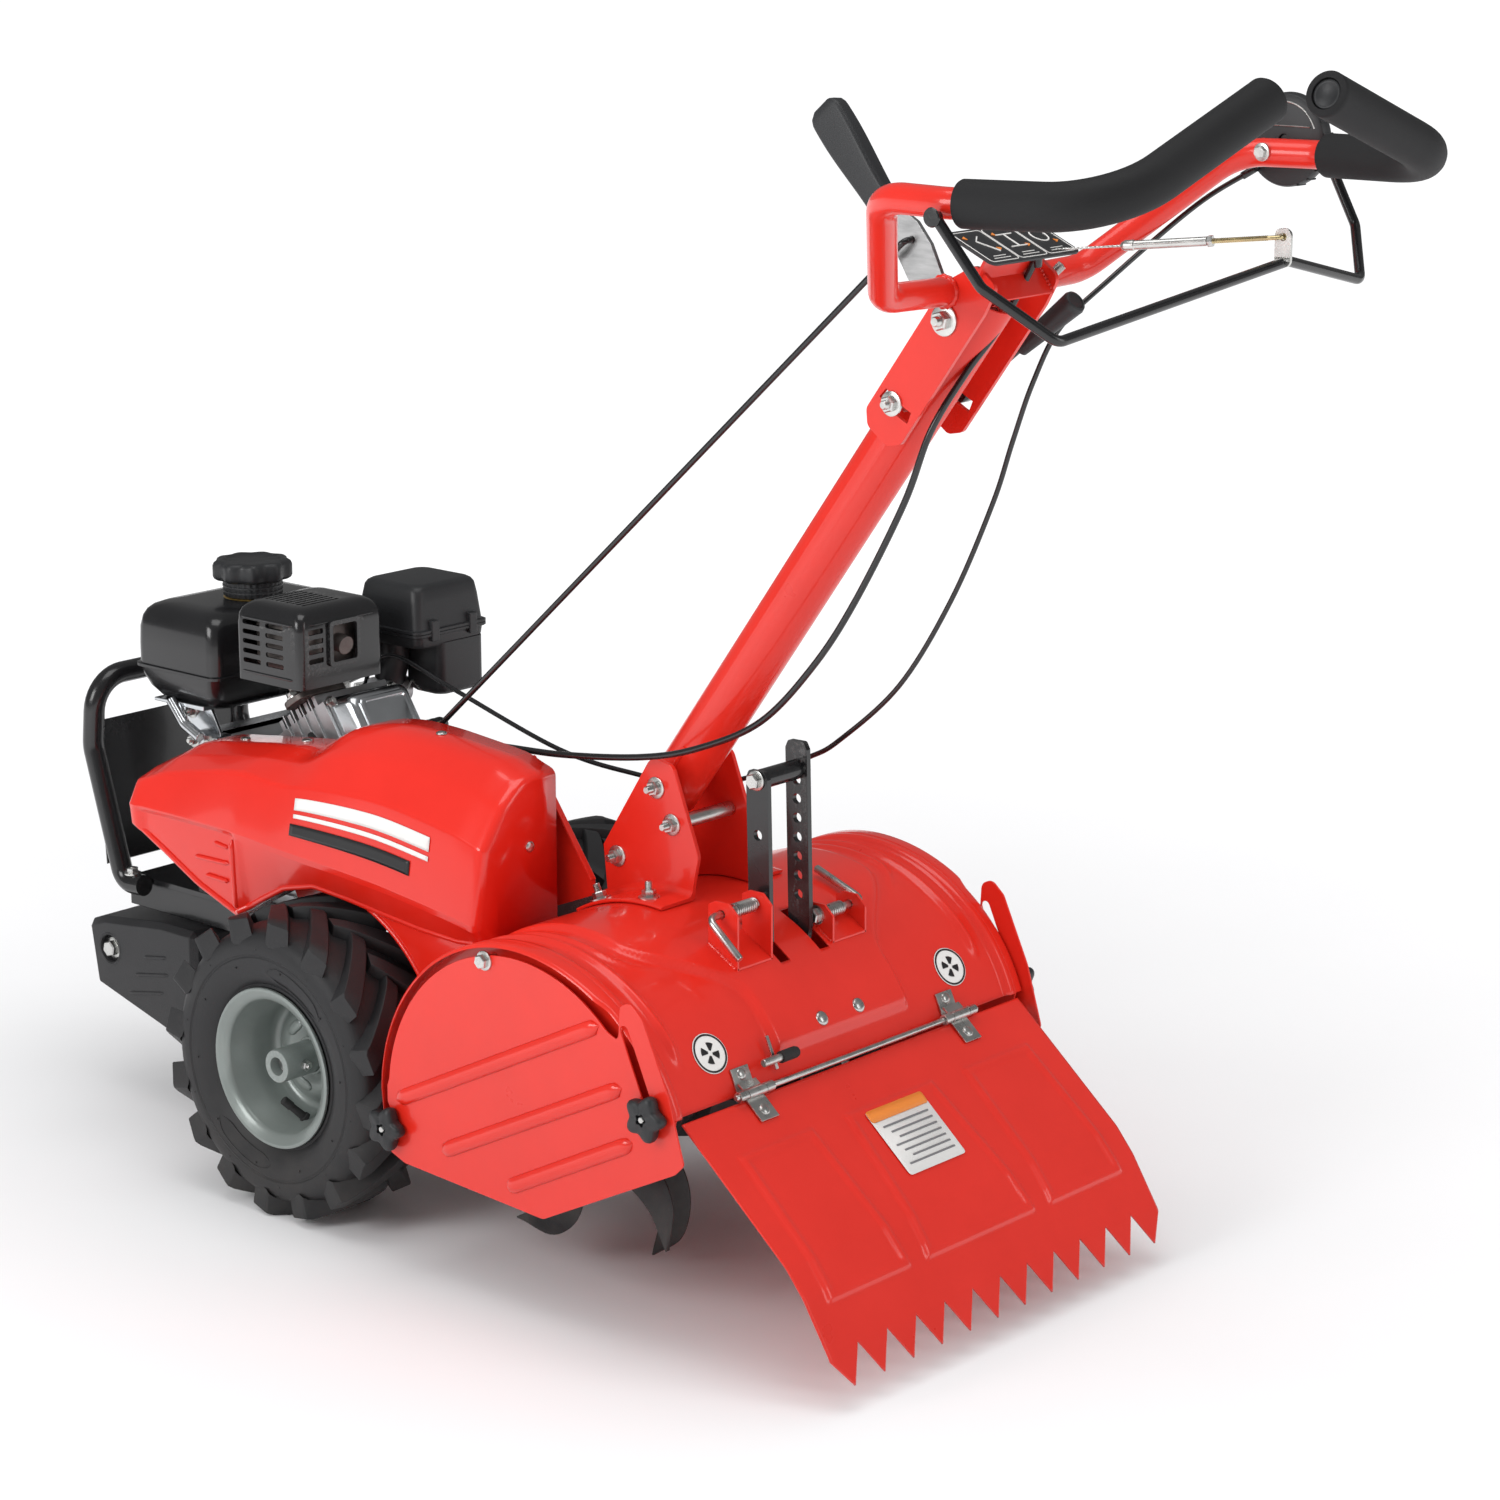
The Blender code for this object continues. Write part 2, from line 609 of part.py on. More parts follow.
HANDLE_AT = Vector((0.142, -0.106, 0.455))
HANDLE_WAY = Vector((-0.92, 0.0, 0.39)).normalized()


def build_starter_handle():
    """The pull handle: a rounded grip on a short rope ferrule."""
    across = Vector((0, 1, 0))
    grip = rod("starter_handle", HANDLE_AT - across * 0.030, HANDLE_AT + across * 0.030,
               0.0095, BLACK_PLASTIC, 14)
    ferrule = rod("ferrule", HANDLE_AT, HANDLE_AT - HANDLE_WAY * 0.022, 0.007, BLACK_PLASTIC, 12)
    return put_origin(join(grip, ferrule), HANDLE_AT)


# ---------------------------------------------------------------- belt drive


def sheave_loop(radius, bore, half_width, groove_half, groove_depth):
    return [(bore, -half_width), (radius, -half_width), (radius, -groove_half),
            (radius - groove_depth, -groove_half * 0.85), (radius - groove_depth, groove_half * 0.85),
            (radius, groove_half), (radius, half_width), (bore, half_width)]


def build_engine_pulley():
    """The engine's sheave with its stub of crankshaft."""
    loop = sheave_loop(ENGINE_SHEAVE_R, 0.006, 0.011, 0.0066, 0.0050)
    sheave = settle(turned("engine_pulley", loop, (CRANK_X, BELT_Y, CRANK_Z), (0, 1, 0), STEEL, 20))
    shaft = rod("crank_end", (CRANK_X, 0.036, CRANK_Z), (CRANK_X, BELT_Y + 0.016, CRANK_Z),
                0.0095, STEEL, 20)
    return put_origin(join(sheave, shaft), (CRANK_X, BELT_Y, CRANK_Z))


def build_gearbox_pulley():
    """The transmission's sheave with its input shaft."""
    loop = sheave_loop(CASE_SHEAVE_R, 0.006, 0.011, 0.0066, 0.0050)
    centre = (CASE_SHAFT_X, BELT_Y, CASE_SHAFT_Z)
    sheave = settle(turned("gearbox_pulley", loop, centre, (0, 1, 0), STEEL, 24))
    shaft = rod("input_shaft", (CASE_SHAFT_X, -0.020, CASE_SHAFT_Z),
                (CASE_SHAFT_X, BELT_Y + 0.016, CASE_SHAFT_Z), 0.0095, STEEL, 20)
    return put_origin(join(sheave, shaft), centre)


def belt_loop(extra):
    """The outline around both sheaves at a distance outside the groove bottoms."""
    big = CASE_SHEAVE_R - 0.0050 + extra
    small = ENGINE_SHEAVE_R - 0.0050 + extra
    dx, dz = CRANK_X - CASE_SHAFT_X, CRANK_Z - CASE_SHAFT_Z
    lean = math.degrees(math.atan2(dz, dx))
    open_angle = math.degrees(math.acos((big - small) / math.hypot(dx, dz)))
    return (arc(CASE_SHAFT_X, CASE_SHAFT_Z, big, lean + open_angle, lean + 360 - open_angle, 18)
            + arc(CRANK_X, CRANK_Z, small, lean - open_angle, lean + open_angle, 10))


def build_drive_belt():
    return plate("drive_belt", belt_loop(0.0008 + BELT_DEPTH), BELT_Y - BELT_WIDTH / 2,
                 BELT_Y + BELT_WIDTH / 2, RUBBER, holes=[belt_loop(0.0008)])


IDLER_PIVOT = Vector((-0.0480, 0.0, 0.3720))
IDLER_AT = Vector((0.0900, BELT_Y, 0.4360))
IDLER_R = 0.018


def build_idler_arm():
    """The tensioner arm, pivoted on a stub in the transmission case, with the idler's pin."""
    y0, y1 = 0.1010, 0.1060
    way = Vector((IDLER_AT.x - IDLER_PIVOT.x, IDLER_AT.z - IDLER_PIVOT.z)).normalized()
    heading = math.degrees(math.atan2(way.y, way.x))
    outline = (arc(IDLER_PIVOT.x, IDLER_PIVOT.z, 0.012, heading + 90, heading + 270, 7)
               + arc(IDLER_AT.x, IDLER_AT.z, 0.010, heading - 90, heading + 90, 7))
    arm = plate("idler_arm", outline, y0, y1, STEEL)
    stub = rod("stub", (IDLER_PIVOT.x, 0.030, IDLER_PIVOT.z), (IDLER_PIVOT.x, y1 - 0.001, IDLER_PIVOT.z),
               0.006, STEEL, 14)
    pin = rod("idler_pin", (IDLER_AT.x, y0 + 0.001, IDLER_AT.z), (IDLER_AT.x, BELT_Y + 0.010, IDLER_AT.z),
              0.005, STEEL, 14)
    return put_origin(join(arm, stub, pin), IDLER_PIVOT)


def build_idler_pulley():
    half = 0.0075
    loop = [(0.0054, -half), (IDLER_R, -half), (IDLER_R, half), (0.0054, half)]
    return turned("idler_pulley", loop, IDLER_AT, (0, 1, 0), STEEL, 24)


# ---------------------------------------------------------------- wheels


def build_wheel_axle():
    axle = rod("wheel_axle", (0, -AXLE_HALF, AXLE_Z), (0, AXLE_HALF, AXLE_Z), AXLE_R, STEEL, 24)
    return put_origin(axle, (0, 0, AXLE_Z))


LUG_COUNT = 11


def build_tyre(name, side):
    """A field tyre: a turned casing with slanted lugs from each shoulder to the centre."""
    outer = [(0.0768, 0.0500), (0.0905, 0.0530), (0.1060, 0.0610), (0.1240, 0.0635),
             (0.1420, 0.0615), (0.1520, 0.0540), (0.1580, 0.0)]
    inner = [(0.0768, 0.0420), (0.1100, 0.0540), (0.1380, 0.0540), (0.1500, 0.0)]
    loop = (outer + [(r, -h) for r, h in outer[-2::-1]]
            + [(r, -h) for r, h in inner] + inner[-2::-1])
    centre = Vector((0, side * WHEEL_Y, AXLE_Z))
    casing = settle(turned(name, loop, centre, (0, 1, 0), RUBBER, 28))
    bm = bmesh.new()
    for i in range(LUG_COUNT * 2):
        half = 1 if i % 2 else -1
        made = bmesh.ops.create_cube(bm, size=1.0)["verts"]
        bmesh.ops.scale(bm, vec=(0.0180, 0.0660, 0.0200), verts=made)
        for vert in made:
            outer_end = vert.co.y * half > 0
            if vert.co.z > 0 and outer_end:
                vert.co.z -= 0.006
        slant = Matrix.Rotation(math.radians(-38 * half), 4, "Z")
        lift = Matrix.Translation((0, half * 0.0320, TYRE_R - 0.0100))
        spin = Matrix.Rotation(math.pi * i / LUG_COUNT, 4, "Y")
        bmesh.ops.transform(bm, matrix=Matrix.Translation(centre) @ spin @ lift @ slant, verts=made)
    return put_origin(join(casing, from_bmesh("lugs", bm, RUBBER)), centre)


def build_rim(name, side):
    """A pressed rim with rolled flanges, a dished disc and a hub tube, turned from one section."""
    loop = [
        (0.0890, 0.0580), (0.0760, 0.0552), (0.0760, 0.0360), (0.0680, 0.0280),
        (0.0680, -0.0280), (0.0760, -0.0360), (0.0760, -0.0552), (0.0890, -0.0580),
        (0.0735, -0.0575), (0.0735, -0.0365), (0.0655, -0.0290), (0.0655, -0.0050),
        (0.0185, 0.0000), (0.0185, -0.0280), (AXLE_R + GAP, -0.0280),
        (AXLE_R + GAP, HUB_OUT), (0.0185, HUB_OUT), (0.0185, 0.0035),
        (0.0655, -0.0015), (0.0655, 0.0290), (0.0735, 0.0365), (0.0735, 0.0575),
    ]
    return turned(name, loop, (0, side * WHEEL_Y, AXLE_Z), (0, side, 0), RIM_PAINT, 24)


# ---------------------------------------------------------------- tines


def build_tine_shaft():
    shaft = rod("tine_shaft", (TINE_X, -TINE_SHAFT_HALF, TINE_Z), (TINE_X, TINE_SHAFT_HALF, TINE_Z),
                TINE_SHAFT_R, TINE_STEEL, 24)
    return put_origin(shaft, (TINE_X, 0, TINE_Z))


def blade_outline(reach):
    """A curved tine in its own plane: a shank that sweeps back to a point at the full reach."""
    front = [(0.010, 0.018), (0.034, 0.060), (0.036, 0.100), (0.020, 0.138)]
    tip = (-0.036, math.sqrt(reach ** 2 - 0.036 ** 2))
    back = [(-0.014, 0.128), (-0.012, 0.090), (-0.014, 0.050), (-0.014, 0.018)]
    return front + [tip] + back


def build_tine_rotor(name, side):
    """A hub tube with two flanges, each carrying four curved blades."""
    inner, outer = 0.0620, 0.2300
    loop = [(TINE_SHAFT_R + GAP, inner), (0.0190, inner), (0.0190, outer), (TINE_SHAFT_R + GAP, outer)]
    hub = settle(turned(name, loop, (TINE_X, 0, TINE_Z), (0, side, 0), TINE_STEEL, 16))
    tools = []
    for flange_y, phase in ((0.094, 20), (0.192, 65)):
        low, high = sorted((side * flange_y, side * (flange_y + 0.005)))
        hub_hole = circle(TINE_X, TINE_Z, 0.016, 16)
        disc = plate("flange", circle(TINE_X, TINE_Z, 0.052, 16), low, high, TINE_STEEL, holes=[hub_hole])
        tools.append(disc)
        for i in range(4):
            low_b, high_b = (low - 0.0045, low + 0.001) if i % 2 else (high - 0.001, high + 0.0045)
            blade = plate("blade", blade_outline(TINE_R), low_b, high_b, TINE_STEEL)
            turn = Matrix.Rotation(math.radians(phase + 90 * i), 4, "Y")
            blade.data.transform(Matrix.Translation((TINE_X, 0, TINE_Z)) @ turn)
            tools.append(blade)
    return put_origin(join(hub, *tools), (TINE_X, 0, TINE_Z))


# ---------------------------------------------------------------- hood, flap and side shields


def hood_profile(shrink=0.0):
    """The hood's arc seen from the side: round in front, stretched behind."""
    front = arc(HOOD_X, HOOD_Z, HOOD_R - shrink, 2, 90, 12)
    stretch = (HOOD_REAR - shrink) / (HOOD_R - shrink)
    rear = arc(HOOD_X, HOOD_Z, HOOD_R - shrink, 98, 162, 9, stretch)
    return front + rear


def hood_top(x):
    """The height of the hood's rear half at a distance along the machine."""
    return HOOD_Z + HOOD_R * math.sqrt(1 - ((x - HOOD_X) / HOOD_REAR) ** 2)


def build_tine_hood():
    """The pressed hood: an arched skin with end walls, slots for the depth bars and pin brackets."""
    outline = hood_profile() + [(-0.5900, 0.2360), (-0.4200, 0.1380), (-0.1960, 0.1380)]
    hood = plate("tine_hood", outline, -HOOD_HALF, HOOD_HALF, RED)
    inner = hood_profile(HOOD_T)
    lower = [(inner[-1][0] - 0.02, 0.100), (inner[0][0] + 0.02, 0.100)]
    hollow = plate("hollow", inner + [(inner[-1][0] - 0.01, inner[-1][1] - 0.004)] + lower
                   + [(inner[0][0] + 0.02, inner[0][1])],
                   -HOOD_HALF + HOOD_T, HOOD_HALF - HOOD_T, RED)
    case_notch = block("case_notch", (-0.240, -0.056, 0.150), (-0.170, 0.056, 0.292), RED)
    tools = [hollow, case_notch]
    for side in (-1, 1):
        y = side * DEPTH_Y
        tools.append(block("depth_slot", (-0.528, y - 0.0075, 0.300), (-0.470, y + 0.0075, 0.400), RED))
    hood = cut(hood, *tools)
    ears = []
    for side, (x, z) in ((-1, RIGHT_PIN), (1, LEFT_PIN)):
        for y in (0.0450, 0.0970):
            low, high = sorted((side * y, side * (y + 0.003)))
            outline = [(x - 0.022, hood_top(x - 0.022) - 0.006), (x + 0.018, hood_top(x + 0.018) - 0.006),
                       (x + 0.018, z + 0.008), (x + 0.008, z + 0.013), (x - 0.010, z + 0.013),
                       (x - 0.022, z + 0.002)]
            ears.append(plate("ear", outline, low, high, RED, holes=[circle(x, z, 0.0052, 10)]))
    return join(hood, *ears)


FLAP_PROFILE = [(-0.5985, 0.2480), (-0.7340, 0.1340), (-0.7560, 0.1080), (-0.7890, 0.0560), (-0.8040, 0.0240)]
FLAP_HALF = 0.268
TEETH = 12
TOOTH_PITCH = 0.0447


def build_rear_flap():
    """The hinged rear flap: bent sheet with a saw-toothed lower edge."""
    flap = plate("rear_flap", ribbon(FLAP_PROFILE, 0.002), -FLAP_HALF, FLAP_HALF, RED)
    first = -TOOTH_PITCH * (TEETH - 1) / 2
    tip, valley = 0.0255, 0.0620
    zigzag = [(-0.300, -0.020), (-0.300, 0.0560), (-FLAP_HALF - 0.002, 0.0560)]
    for i in range(TEETH):
        y = first + TOOTH_PITCH * i
        zigzag.append((y, tip))
        if i < TEETH - 1:
            zigzag.append((y + TOOTH_PITCH / 2, valley))
    zigzag += [(FLAP_HALF + 0.002, 0.0560), (0.300, 0.0560), (0.300, -0.020)]
    saw = plate("saw", zigzag, -0.850, -0.740, RED, axis="X")
    return put_origin(cut(flap, saw), HINGE_AT)


HINGE_AT = Vector((-0.6015, 0.0, 0.2550))
HINGE_R = 0.0030


def build_hinge_rod():
    return rod("hinge_rod", (HINGE_AT.x, -0.192, HINGE_AT.z), (HINGE_AT.x, 0.192, HINGE_AT.z),
               HINGE_R, ZINC, 12)


def build_flap_hinge(name, side):
    """A hinge leaf on the flap with a knuckle around the rod."""
    y0, y1 = sorted((side * 0.150, side * 0.176))
    top, bend = Vector(FLAP_PROFILE[0]), Vector(FLAP_PROFILE[1])
    slope = (bend - top).normalized()
    normal = Vector((slope.y, -slope.x))
    start = top + normal * GAP - slope * 0.003
    end = start + slope * 0.042
    outline = [start, end, end + normal * 0.0022, start + normal * 0.0022]
    leaf = plate(name, [tuple(p) for p in outline], y0, y1, ZINC)
    knuckle = turned("knuckle", [(HINGE_R + 0.0004, 0.0), (HINGE_R + 0.0026, 0.0),
                                 (HINGE_R + 0.0026, y1 - y0), (HINGE_R + 0.0004, y1 - y0)],
                     (HINGE_AT.x, y0, HINGE_AT.z), (0, 1, 0), ZINC, 14)
    leaf = join(leaf, settle(knuckle))
    return put_origin(leaf, HINGE_AT)


SHIELD_Y = 0.2850
REAR_KNOB = (-0.5760, 0.2560)
FRONT_KNOB = (-0.2060, 0.1580)
SLIDE_TRAVEL = 0.085
SLIDE_WAY = Vector((0.414, 0.910)).normalized()      # the slots run up and forwards


def slot(start, length, half=0.0055):
    """A slot along the shield's sliding direction, from just below a stud upwards."""
    heading = math.degrees(math.atan2(SLIDE_WAY.y, SLIDE_WAY.x))
    end = Vector(start) + SLIDE_WAY * length
    return (arc(start[0], start[1], half, heading + 90, heading + 270, 5)
            + arc(end.x, end.y, half, heading - 90, heading + 90, 5))


def build_side_shield(name, side):
    """The sliding side plate: an arch-topped outline with slots that let it drop over its studs."""
    outline = ([(-0.2000, 0.2020), (-0.2000, 0.1300), (-0.2240, 0.1210), (-0.4250, 0.1100),
                (-0.6060, 0.2020), (-0.6180, 0.2140), (-0.5980, 0.2800)]
               + [(-0.5640, 0.3520), (-0.5480, 0.3660), (-0.5340, 0.3600), (-0.5320, 0.3260)]
               + arc(HOOD_X, HOOD_Z, HOOD_R - 0.012, 132, 6, 14))
    low, high = sorted((side * SHIELD_Y, side * (SHIELD_Y + 0.0022)))
    shield = plate(name, outline, low, high, RED, holes=[slot(REAR_KNOB, SLIDE_TRAVEL + 0.002)])
    notch = plate("notch", slot(FRONT_KNOB, 0.060), low - 0.01, high + 0.01, RED)
    return cut(shield, notch)


def build_side_knob(name, place, side):
    """A hand knob outside the shield on a stud fixed in the hood's end wall."""
    x, z = place
    back = SHIELD_Y + 0.0022 + GAP
    head = settle(knob(name, (x, side * back, z), (0, side, 0), BLACK_PLASTIC))
    stud = rod("stud", (x, side * (HOOD_HALF + GAP), z), (x, side * (back + 0.004), z), 0.0045,
               BLACK_PLASTIC, 12)
    return put_origin(join(head, stud), (x, side * back, z))


# ---------------------------------------------------------------- depth stake

DEPTH_Y = 0.0310
DEPTH_LEAN = math.radians(1.5)
DEPTH_TOP = Vector((-0.4890, 0.5600))
DEPTH_WAY = Vector((-math.sin(DEPTH_LEAN), -math.cos(DEPTH_LEAN)))
HOLE_PITCH = 0.0205
LEFT_PIN, RIGHT_PIN = (-0.5000, 0.4040), (-0.5040, 0.3720)


def stake(distance, across=0.0):
    """A point in the side view, measured down the stake from its top."""
    side = Vector((DEPTH_WAY.y, -DEPTH_WAY.x))
    return tuple(DEPTH_TOP + DEPTH_WAY * distance + side * across)


def build_depth_bar_long():
    """The long notched bar: eight holes and a pointed tail."""
    half = 0.0145
    outline = [stake(0.000, -0.009), stake(0.000, 0.009), stake(0.008, half), stake(0.196, half),
               stake(0.250, 0.016 - half), stake(0.250, -0.004 - half + 0.006), stake(0.186, -half),
               stake(0.008, -half)]
    holes = [circle(*stake(0.041 + HOLE_PITCH * i), 0.0050, 10) for i in range(7)]
    return plate("depth_bar_long", outline, -DEPTH_Y - 0.005, -DEPTH_Y + 0.005, BLACK, holes=holes)


def build_depth_bar_short():
    half = 0.0145
    outline = [stake(0.020, -0.009), stake(0.020, 0.009), stake(0.028, half), stake(0.200, half),
               stake(0.212, 0.004), stake(0.212, -0.004), stake(0.200, -half), stake(0.028, -half)]
    holes = [circle(*stake(0.088), 0.0050, 10), circle(*stake(0.168), 0.0050, 10)]
    return plate("depth_bar_short", outline, DEPTH_Y - 0.005, DEPTH_Y + 0.005, BLACK, holes=holes)


def build_depth_bar_spacer():
    x, z = stake(0.030)
    end = DEPTH_Y - 0.005 - GAP
    return rod("depth_bar_spacer", (x, -end, z), (x, end, z), 0.0105, BLACK, 18)


def build_lock_pin(name, side, place, reach):
    """A bent spring pin: its nose points at the stake, its handle lies along the hood."""
    x, z = place
    path = fillet([(x, side * 0.0385, z), (x, side * 0.1190, z),
                   (x + reach[0], side * 0.1210, z + reach[1])], 0.010, 4)
    pin = settle(tube(name, path, 0.0042, ZINC, 1))
    return put_origin(pin, (x, 0, z))


# ---------------------------------------------------------------- column and handlebar

COLUMN_WAY = Vector((-math.cos(COLUMN_LEAN), 0.0, math.sin(COLUMN_LEAN)))
COLUMN_SIDE = Vector((math.sin(COLUMN_LEAN), 0.0, math.cos(COLUMN_LEAN)))
PIVOT = Vector((PIVOT_X, 0.0, PIVOT_Z))
CLAMP_AT = PIVOT - COLUMN_WAY * CLAMP_REACH
SPACER_AT = (-0.3850, 0.4680)


def on_column(distance, across=0.0, y=0.0):
    """A point measured from the tilt pivot down the column, across it and sideways."""
    place = PIVOT - COLUMN_WAY * distance + COLUMN_SIDE * across
    return Vector((place.x, y, place.z))


def build_column_plate(name, side):
    """A bracket plate with a foot flange that follows the hood's curve."""
    inner, outer = 0.0430, 0.0480
    foot_low, foot_high = HOOD_R + 0.0006, HOOD_R + 0.0046
    outline = ([(-0.3560, 0.5360), (-0.3860, 0.5300), (-0.4220, 0.4380)]
               + arc(HOOD_X, HOOD_Z, foot_low, 96, 61, 8)
               + [(-0.2860, 0.4280)])
    web_low, web_high = sorted((side * inner, side * outer))
    web = plate(name, outline, web_low, web_high, RED)
    foot_outline = (arc(HOOD_X, HOOD_Z, foot_low, 96, 61, 8)
                    + arc(HOOD_X, HOOD_Z, foot_high, 61, 96, 8))
    foot_low_y, foot_high_y = sorted((side * (inner + 0.001), side * 0.0960))
    foot = plate("foot", foot_outline, foot_low_y, foot_high_y, RED)
    return join(web, foot)


def build_column_tube():
    """The steering column: a straight tube, drilled for the tilt pivot and the clamp bolt."""
    top, bottom = on_column(-0.026), on_column(0.672)
    outer = rod("column_tube", bottom, top, COLUMN_R, RED, 20)
    bore = rod("bore", bottom + COLUMN_WAY * -0.02, top + COLUMN_WAY * 0.02, COLUMN_R - 0.003, RED, 20)
    tools = [bore]
    for place in (PIVOT, CLAMP_AT):
        tools.append(rod("cross_hole", (place.x, -0.05, place.z), (place.x, 0.05, place.z),
                         0.0060, RED, 12))
    lugs = rod("cross_tube", on_column(0.648, 0, -0.0427), on_column(0.648, 0, 0.0427), 0.0100, RED, 14)
    return join(cut(outer, *tools), lugs)


BAR_PATH = [(-0.7400, 0.0470, 1.0530), (-0.7490, 0.1530, 1.0570), (-0.8460, 0.2740, 1.1680),
            (-0.9300, 0.2860, 1.1690), (-1.0900, 0.2640, 1.1730), (-1.0930, 0.0460, 1.2510)]
BAR_BENDS = (0.045, 0.060, 0.045, 0.080)


def bar_route(side, stop_before=0.0):
    """The handlebar's centre line on one side, optionally stopped short of its rear end."""
    path = fillet([(x, side * y, z) for x, y, z in BAR_PATH], BAR_BENDS, 5)
    if stop_before:
        last = (path[-1] - path[-2]).normalized()
        path[-1] = path[-1] - last * stop_before
    return path


def rail_outline():
    """A handlebar rail in the side view, with rounded lower corners."""
    def spot(distance, across):
        place = on_column(distance, across)
        return (place.x, place.z)
    return [spot(-0.032, -0.032), spot(-0.066, -0.028), spot(-0.066, 0.004), spot(-0.042, 0.016),
            spot(-0.030, 0.0215), spot(0.132, 0.0215), spot(0.143, 0.012), spot(0.145, -0.018),
            spot(0.132, -0.032)]


def rail_slot():
    """The clamp slot: a band around the tilt pivot that lets the rails swing over the bolt."""
    middle = math.degrees(math.atan2(CLAMP_AT.z - PIVOT_Z, CLAMP_AT.x - PIVOT_X))
    low, high = middle - 13.2, middle + 8.0
    return (arc(PIVOT_X, PIVOT_Z, CLAMP_REACH + 0.0060, low, high, 7)
            + arc(PIVOT_X, PIVOT_Z, CLAMP_REACH - 0.0060, high, low, 7))


def build_handlebar():
    """Both bent bars, the two slotted rails they are welded to, and the bridge between the rails."""
    rails = []
    for side in (-1, 1):
        low, high = sorted((side * RAIL_Y, side * (RAIL_Y + RAIL_T)))
        rails.append(plate("handlebar" if side < 0 else "rail", rail_outline(), low, high, RED,
                           holes=[rail_slot(), circle(PIVOT_X, PIVOT_Z, 0.0060, 12)]))
    bars = [settle(tube("bar", bar_route(side, stop_before=0.004), BAR_R, RED, 3)) for side in (-1, 1)]
    bridge_outline = [(-0.7960, 1.0480), (-0.7760, 1.0760), (-0.7740, 1.0745), (-0.7930, 1.0460)]
    bridge = plate("bridge", bridge_outline, -RAIL_Y - 0.002, RAIL_Y + 0.002, RED)
    return put_origin(join(rails[0], bridge, rails[1], *bars), PIVOT)


GRIP_FROM = 0.9440


def build_grip(name, side):
    """A foam sleeve over the bar's end, following its bends."""
    full = bar_route(side)
    inside = [p for p in full if p.x < -GRIP_FROM - 0.001]
    start = full[full.index(inside[0]) - 1]
    first = start.lerp(inside[0], (start.x + GRIP_FROM) / (start.x - inside[0].x))
    path = [first] + inside
    sleeve = settle(tube(name, path, GRIP_R, FOAM, 3))
    end = path[-1] + (path[-1] - path[-2]).normalized() * 0.02
    bore = settle(tube("grip_bore", [start] + inside[:-1] + [end], BAR_R + 0.0006, FOAM, 3))
    return put_origin(cut(sleeve, bore), PIVOT)


BAIL_PIVOT = Vector((-0.9320, 0.0, 1.1590))
BAIL_Y = 0.3060


def build_drive_bail():
    """The operator-presence bail: side arms, a kinked crossbar and the cable's tab."""
    path = fillet([
        (BAIL_PIVOT.x, BAR_PATH[3][1] + BAR_R + 0.002, BAIL_PIVOT.z), (BAIL_PIVOT.x, BAIL_Y, BAIL_PIVOT.z),
        (-0.9720, 0.2920, 1.1000), (-1.0170, 0.2420, 1.0520), (-1.0180, -0.1080, 1.0900),
        (-1.0120, -0.2420, 1.0590), (-0.9720, -0.2920, 1.1040), (BAIL_PIVOT.x, -BAIL_Y, BAIL_PIVOT.z),
        (BAIL_PIVOT.x, -BAR_PATH[3][1] - BAR_R - 0.002, BAIL_PIVOT.z),
    ], 0.016, 3)
    bail = settle(tube("drive_bail", path, 0.0050, BLACK, 1))
    tab = plate("tab", [(-1.0270, 1.0850), (-1.0090, 1.0850), (-1.0090, 1.1150), (-1.0140, 1.1210),
                        (-1.0220, 1.1210), (-1.0270, 1.1150)], -0.1015, -0.0985, BLACK,
                holes=[circle(TAB_HOLE.x, TAB_HOLE.z, 0.0035, 10)])
    return put_origin(join(bail, tab), BAIL_PIVOT)


TAB_HOLE = Vector((-1.0180, -0.1000, 1.1130))
ANCHOR_AT = Vector((-0.7950, -0.0200, 1.0900))


def build_cable_turnbuckle():
    """The cable's adjuster: a hooked eye, a threaded rod, a sleeve and the bare wire's start."""
    start = TAB_HOLE + Vector((0, 0.0060, 0))
    way = (ANCHOR_AT - start).normalized()
    pin = rod("cable_turnbuckle", TAB_HOLE + Vector((0, -0.0040, 0)), start + Vector((0, 0.0015, 0)),
              0.0024, ZINC, 10)
    threaded = rod("threaded", start, start + way * 0.080, 0.0026, ZINC, 10)
    sleeve = rod("sleeve", start + way * 0.070, start + way * 0.150, 0.0045, ZINC, 12)
    wire = rod("wire", start + way * 0.148, start + way * 0.200, 0.0014, ZINC, 8)
    return put_origin(join(pin, threaded, sleeve, wire), TAB_HOLE)


LEVER_Y = 0.0365
LEVER_ROD = Vector((-0.6900, 0.0, 1.0970))


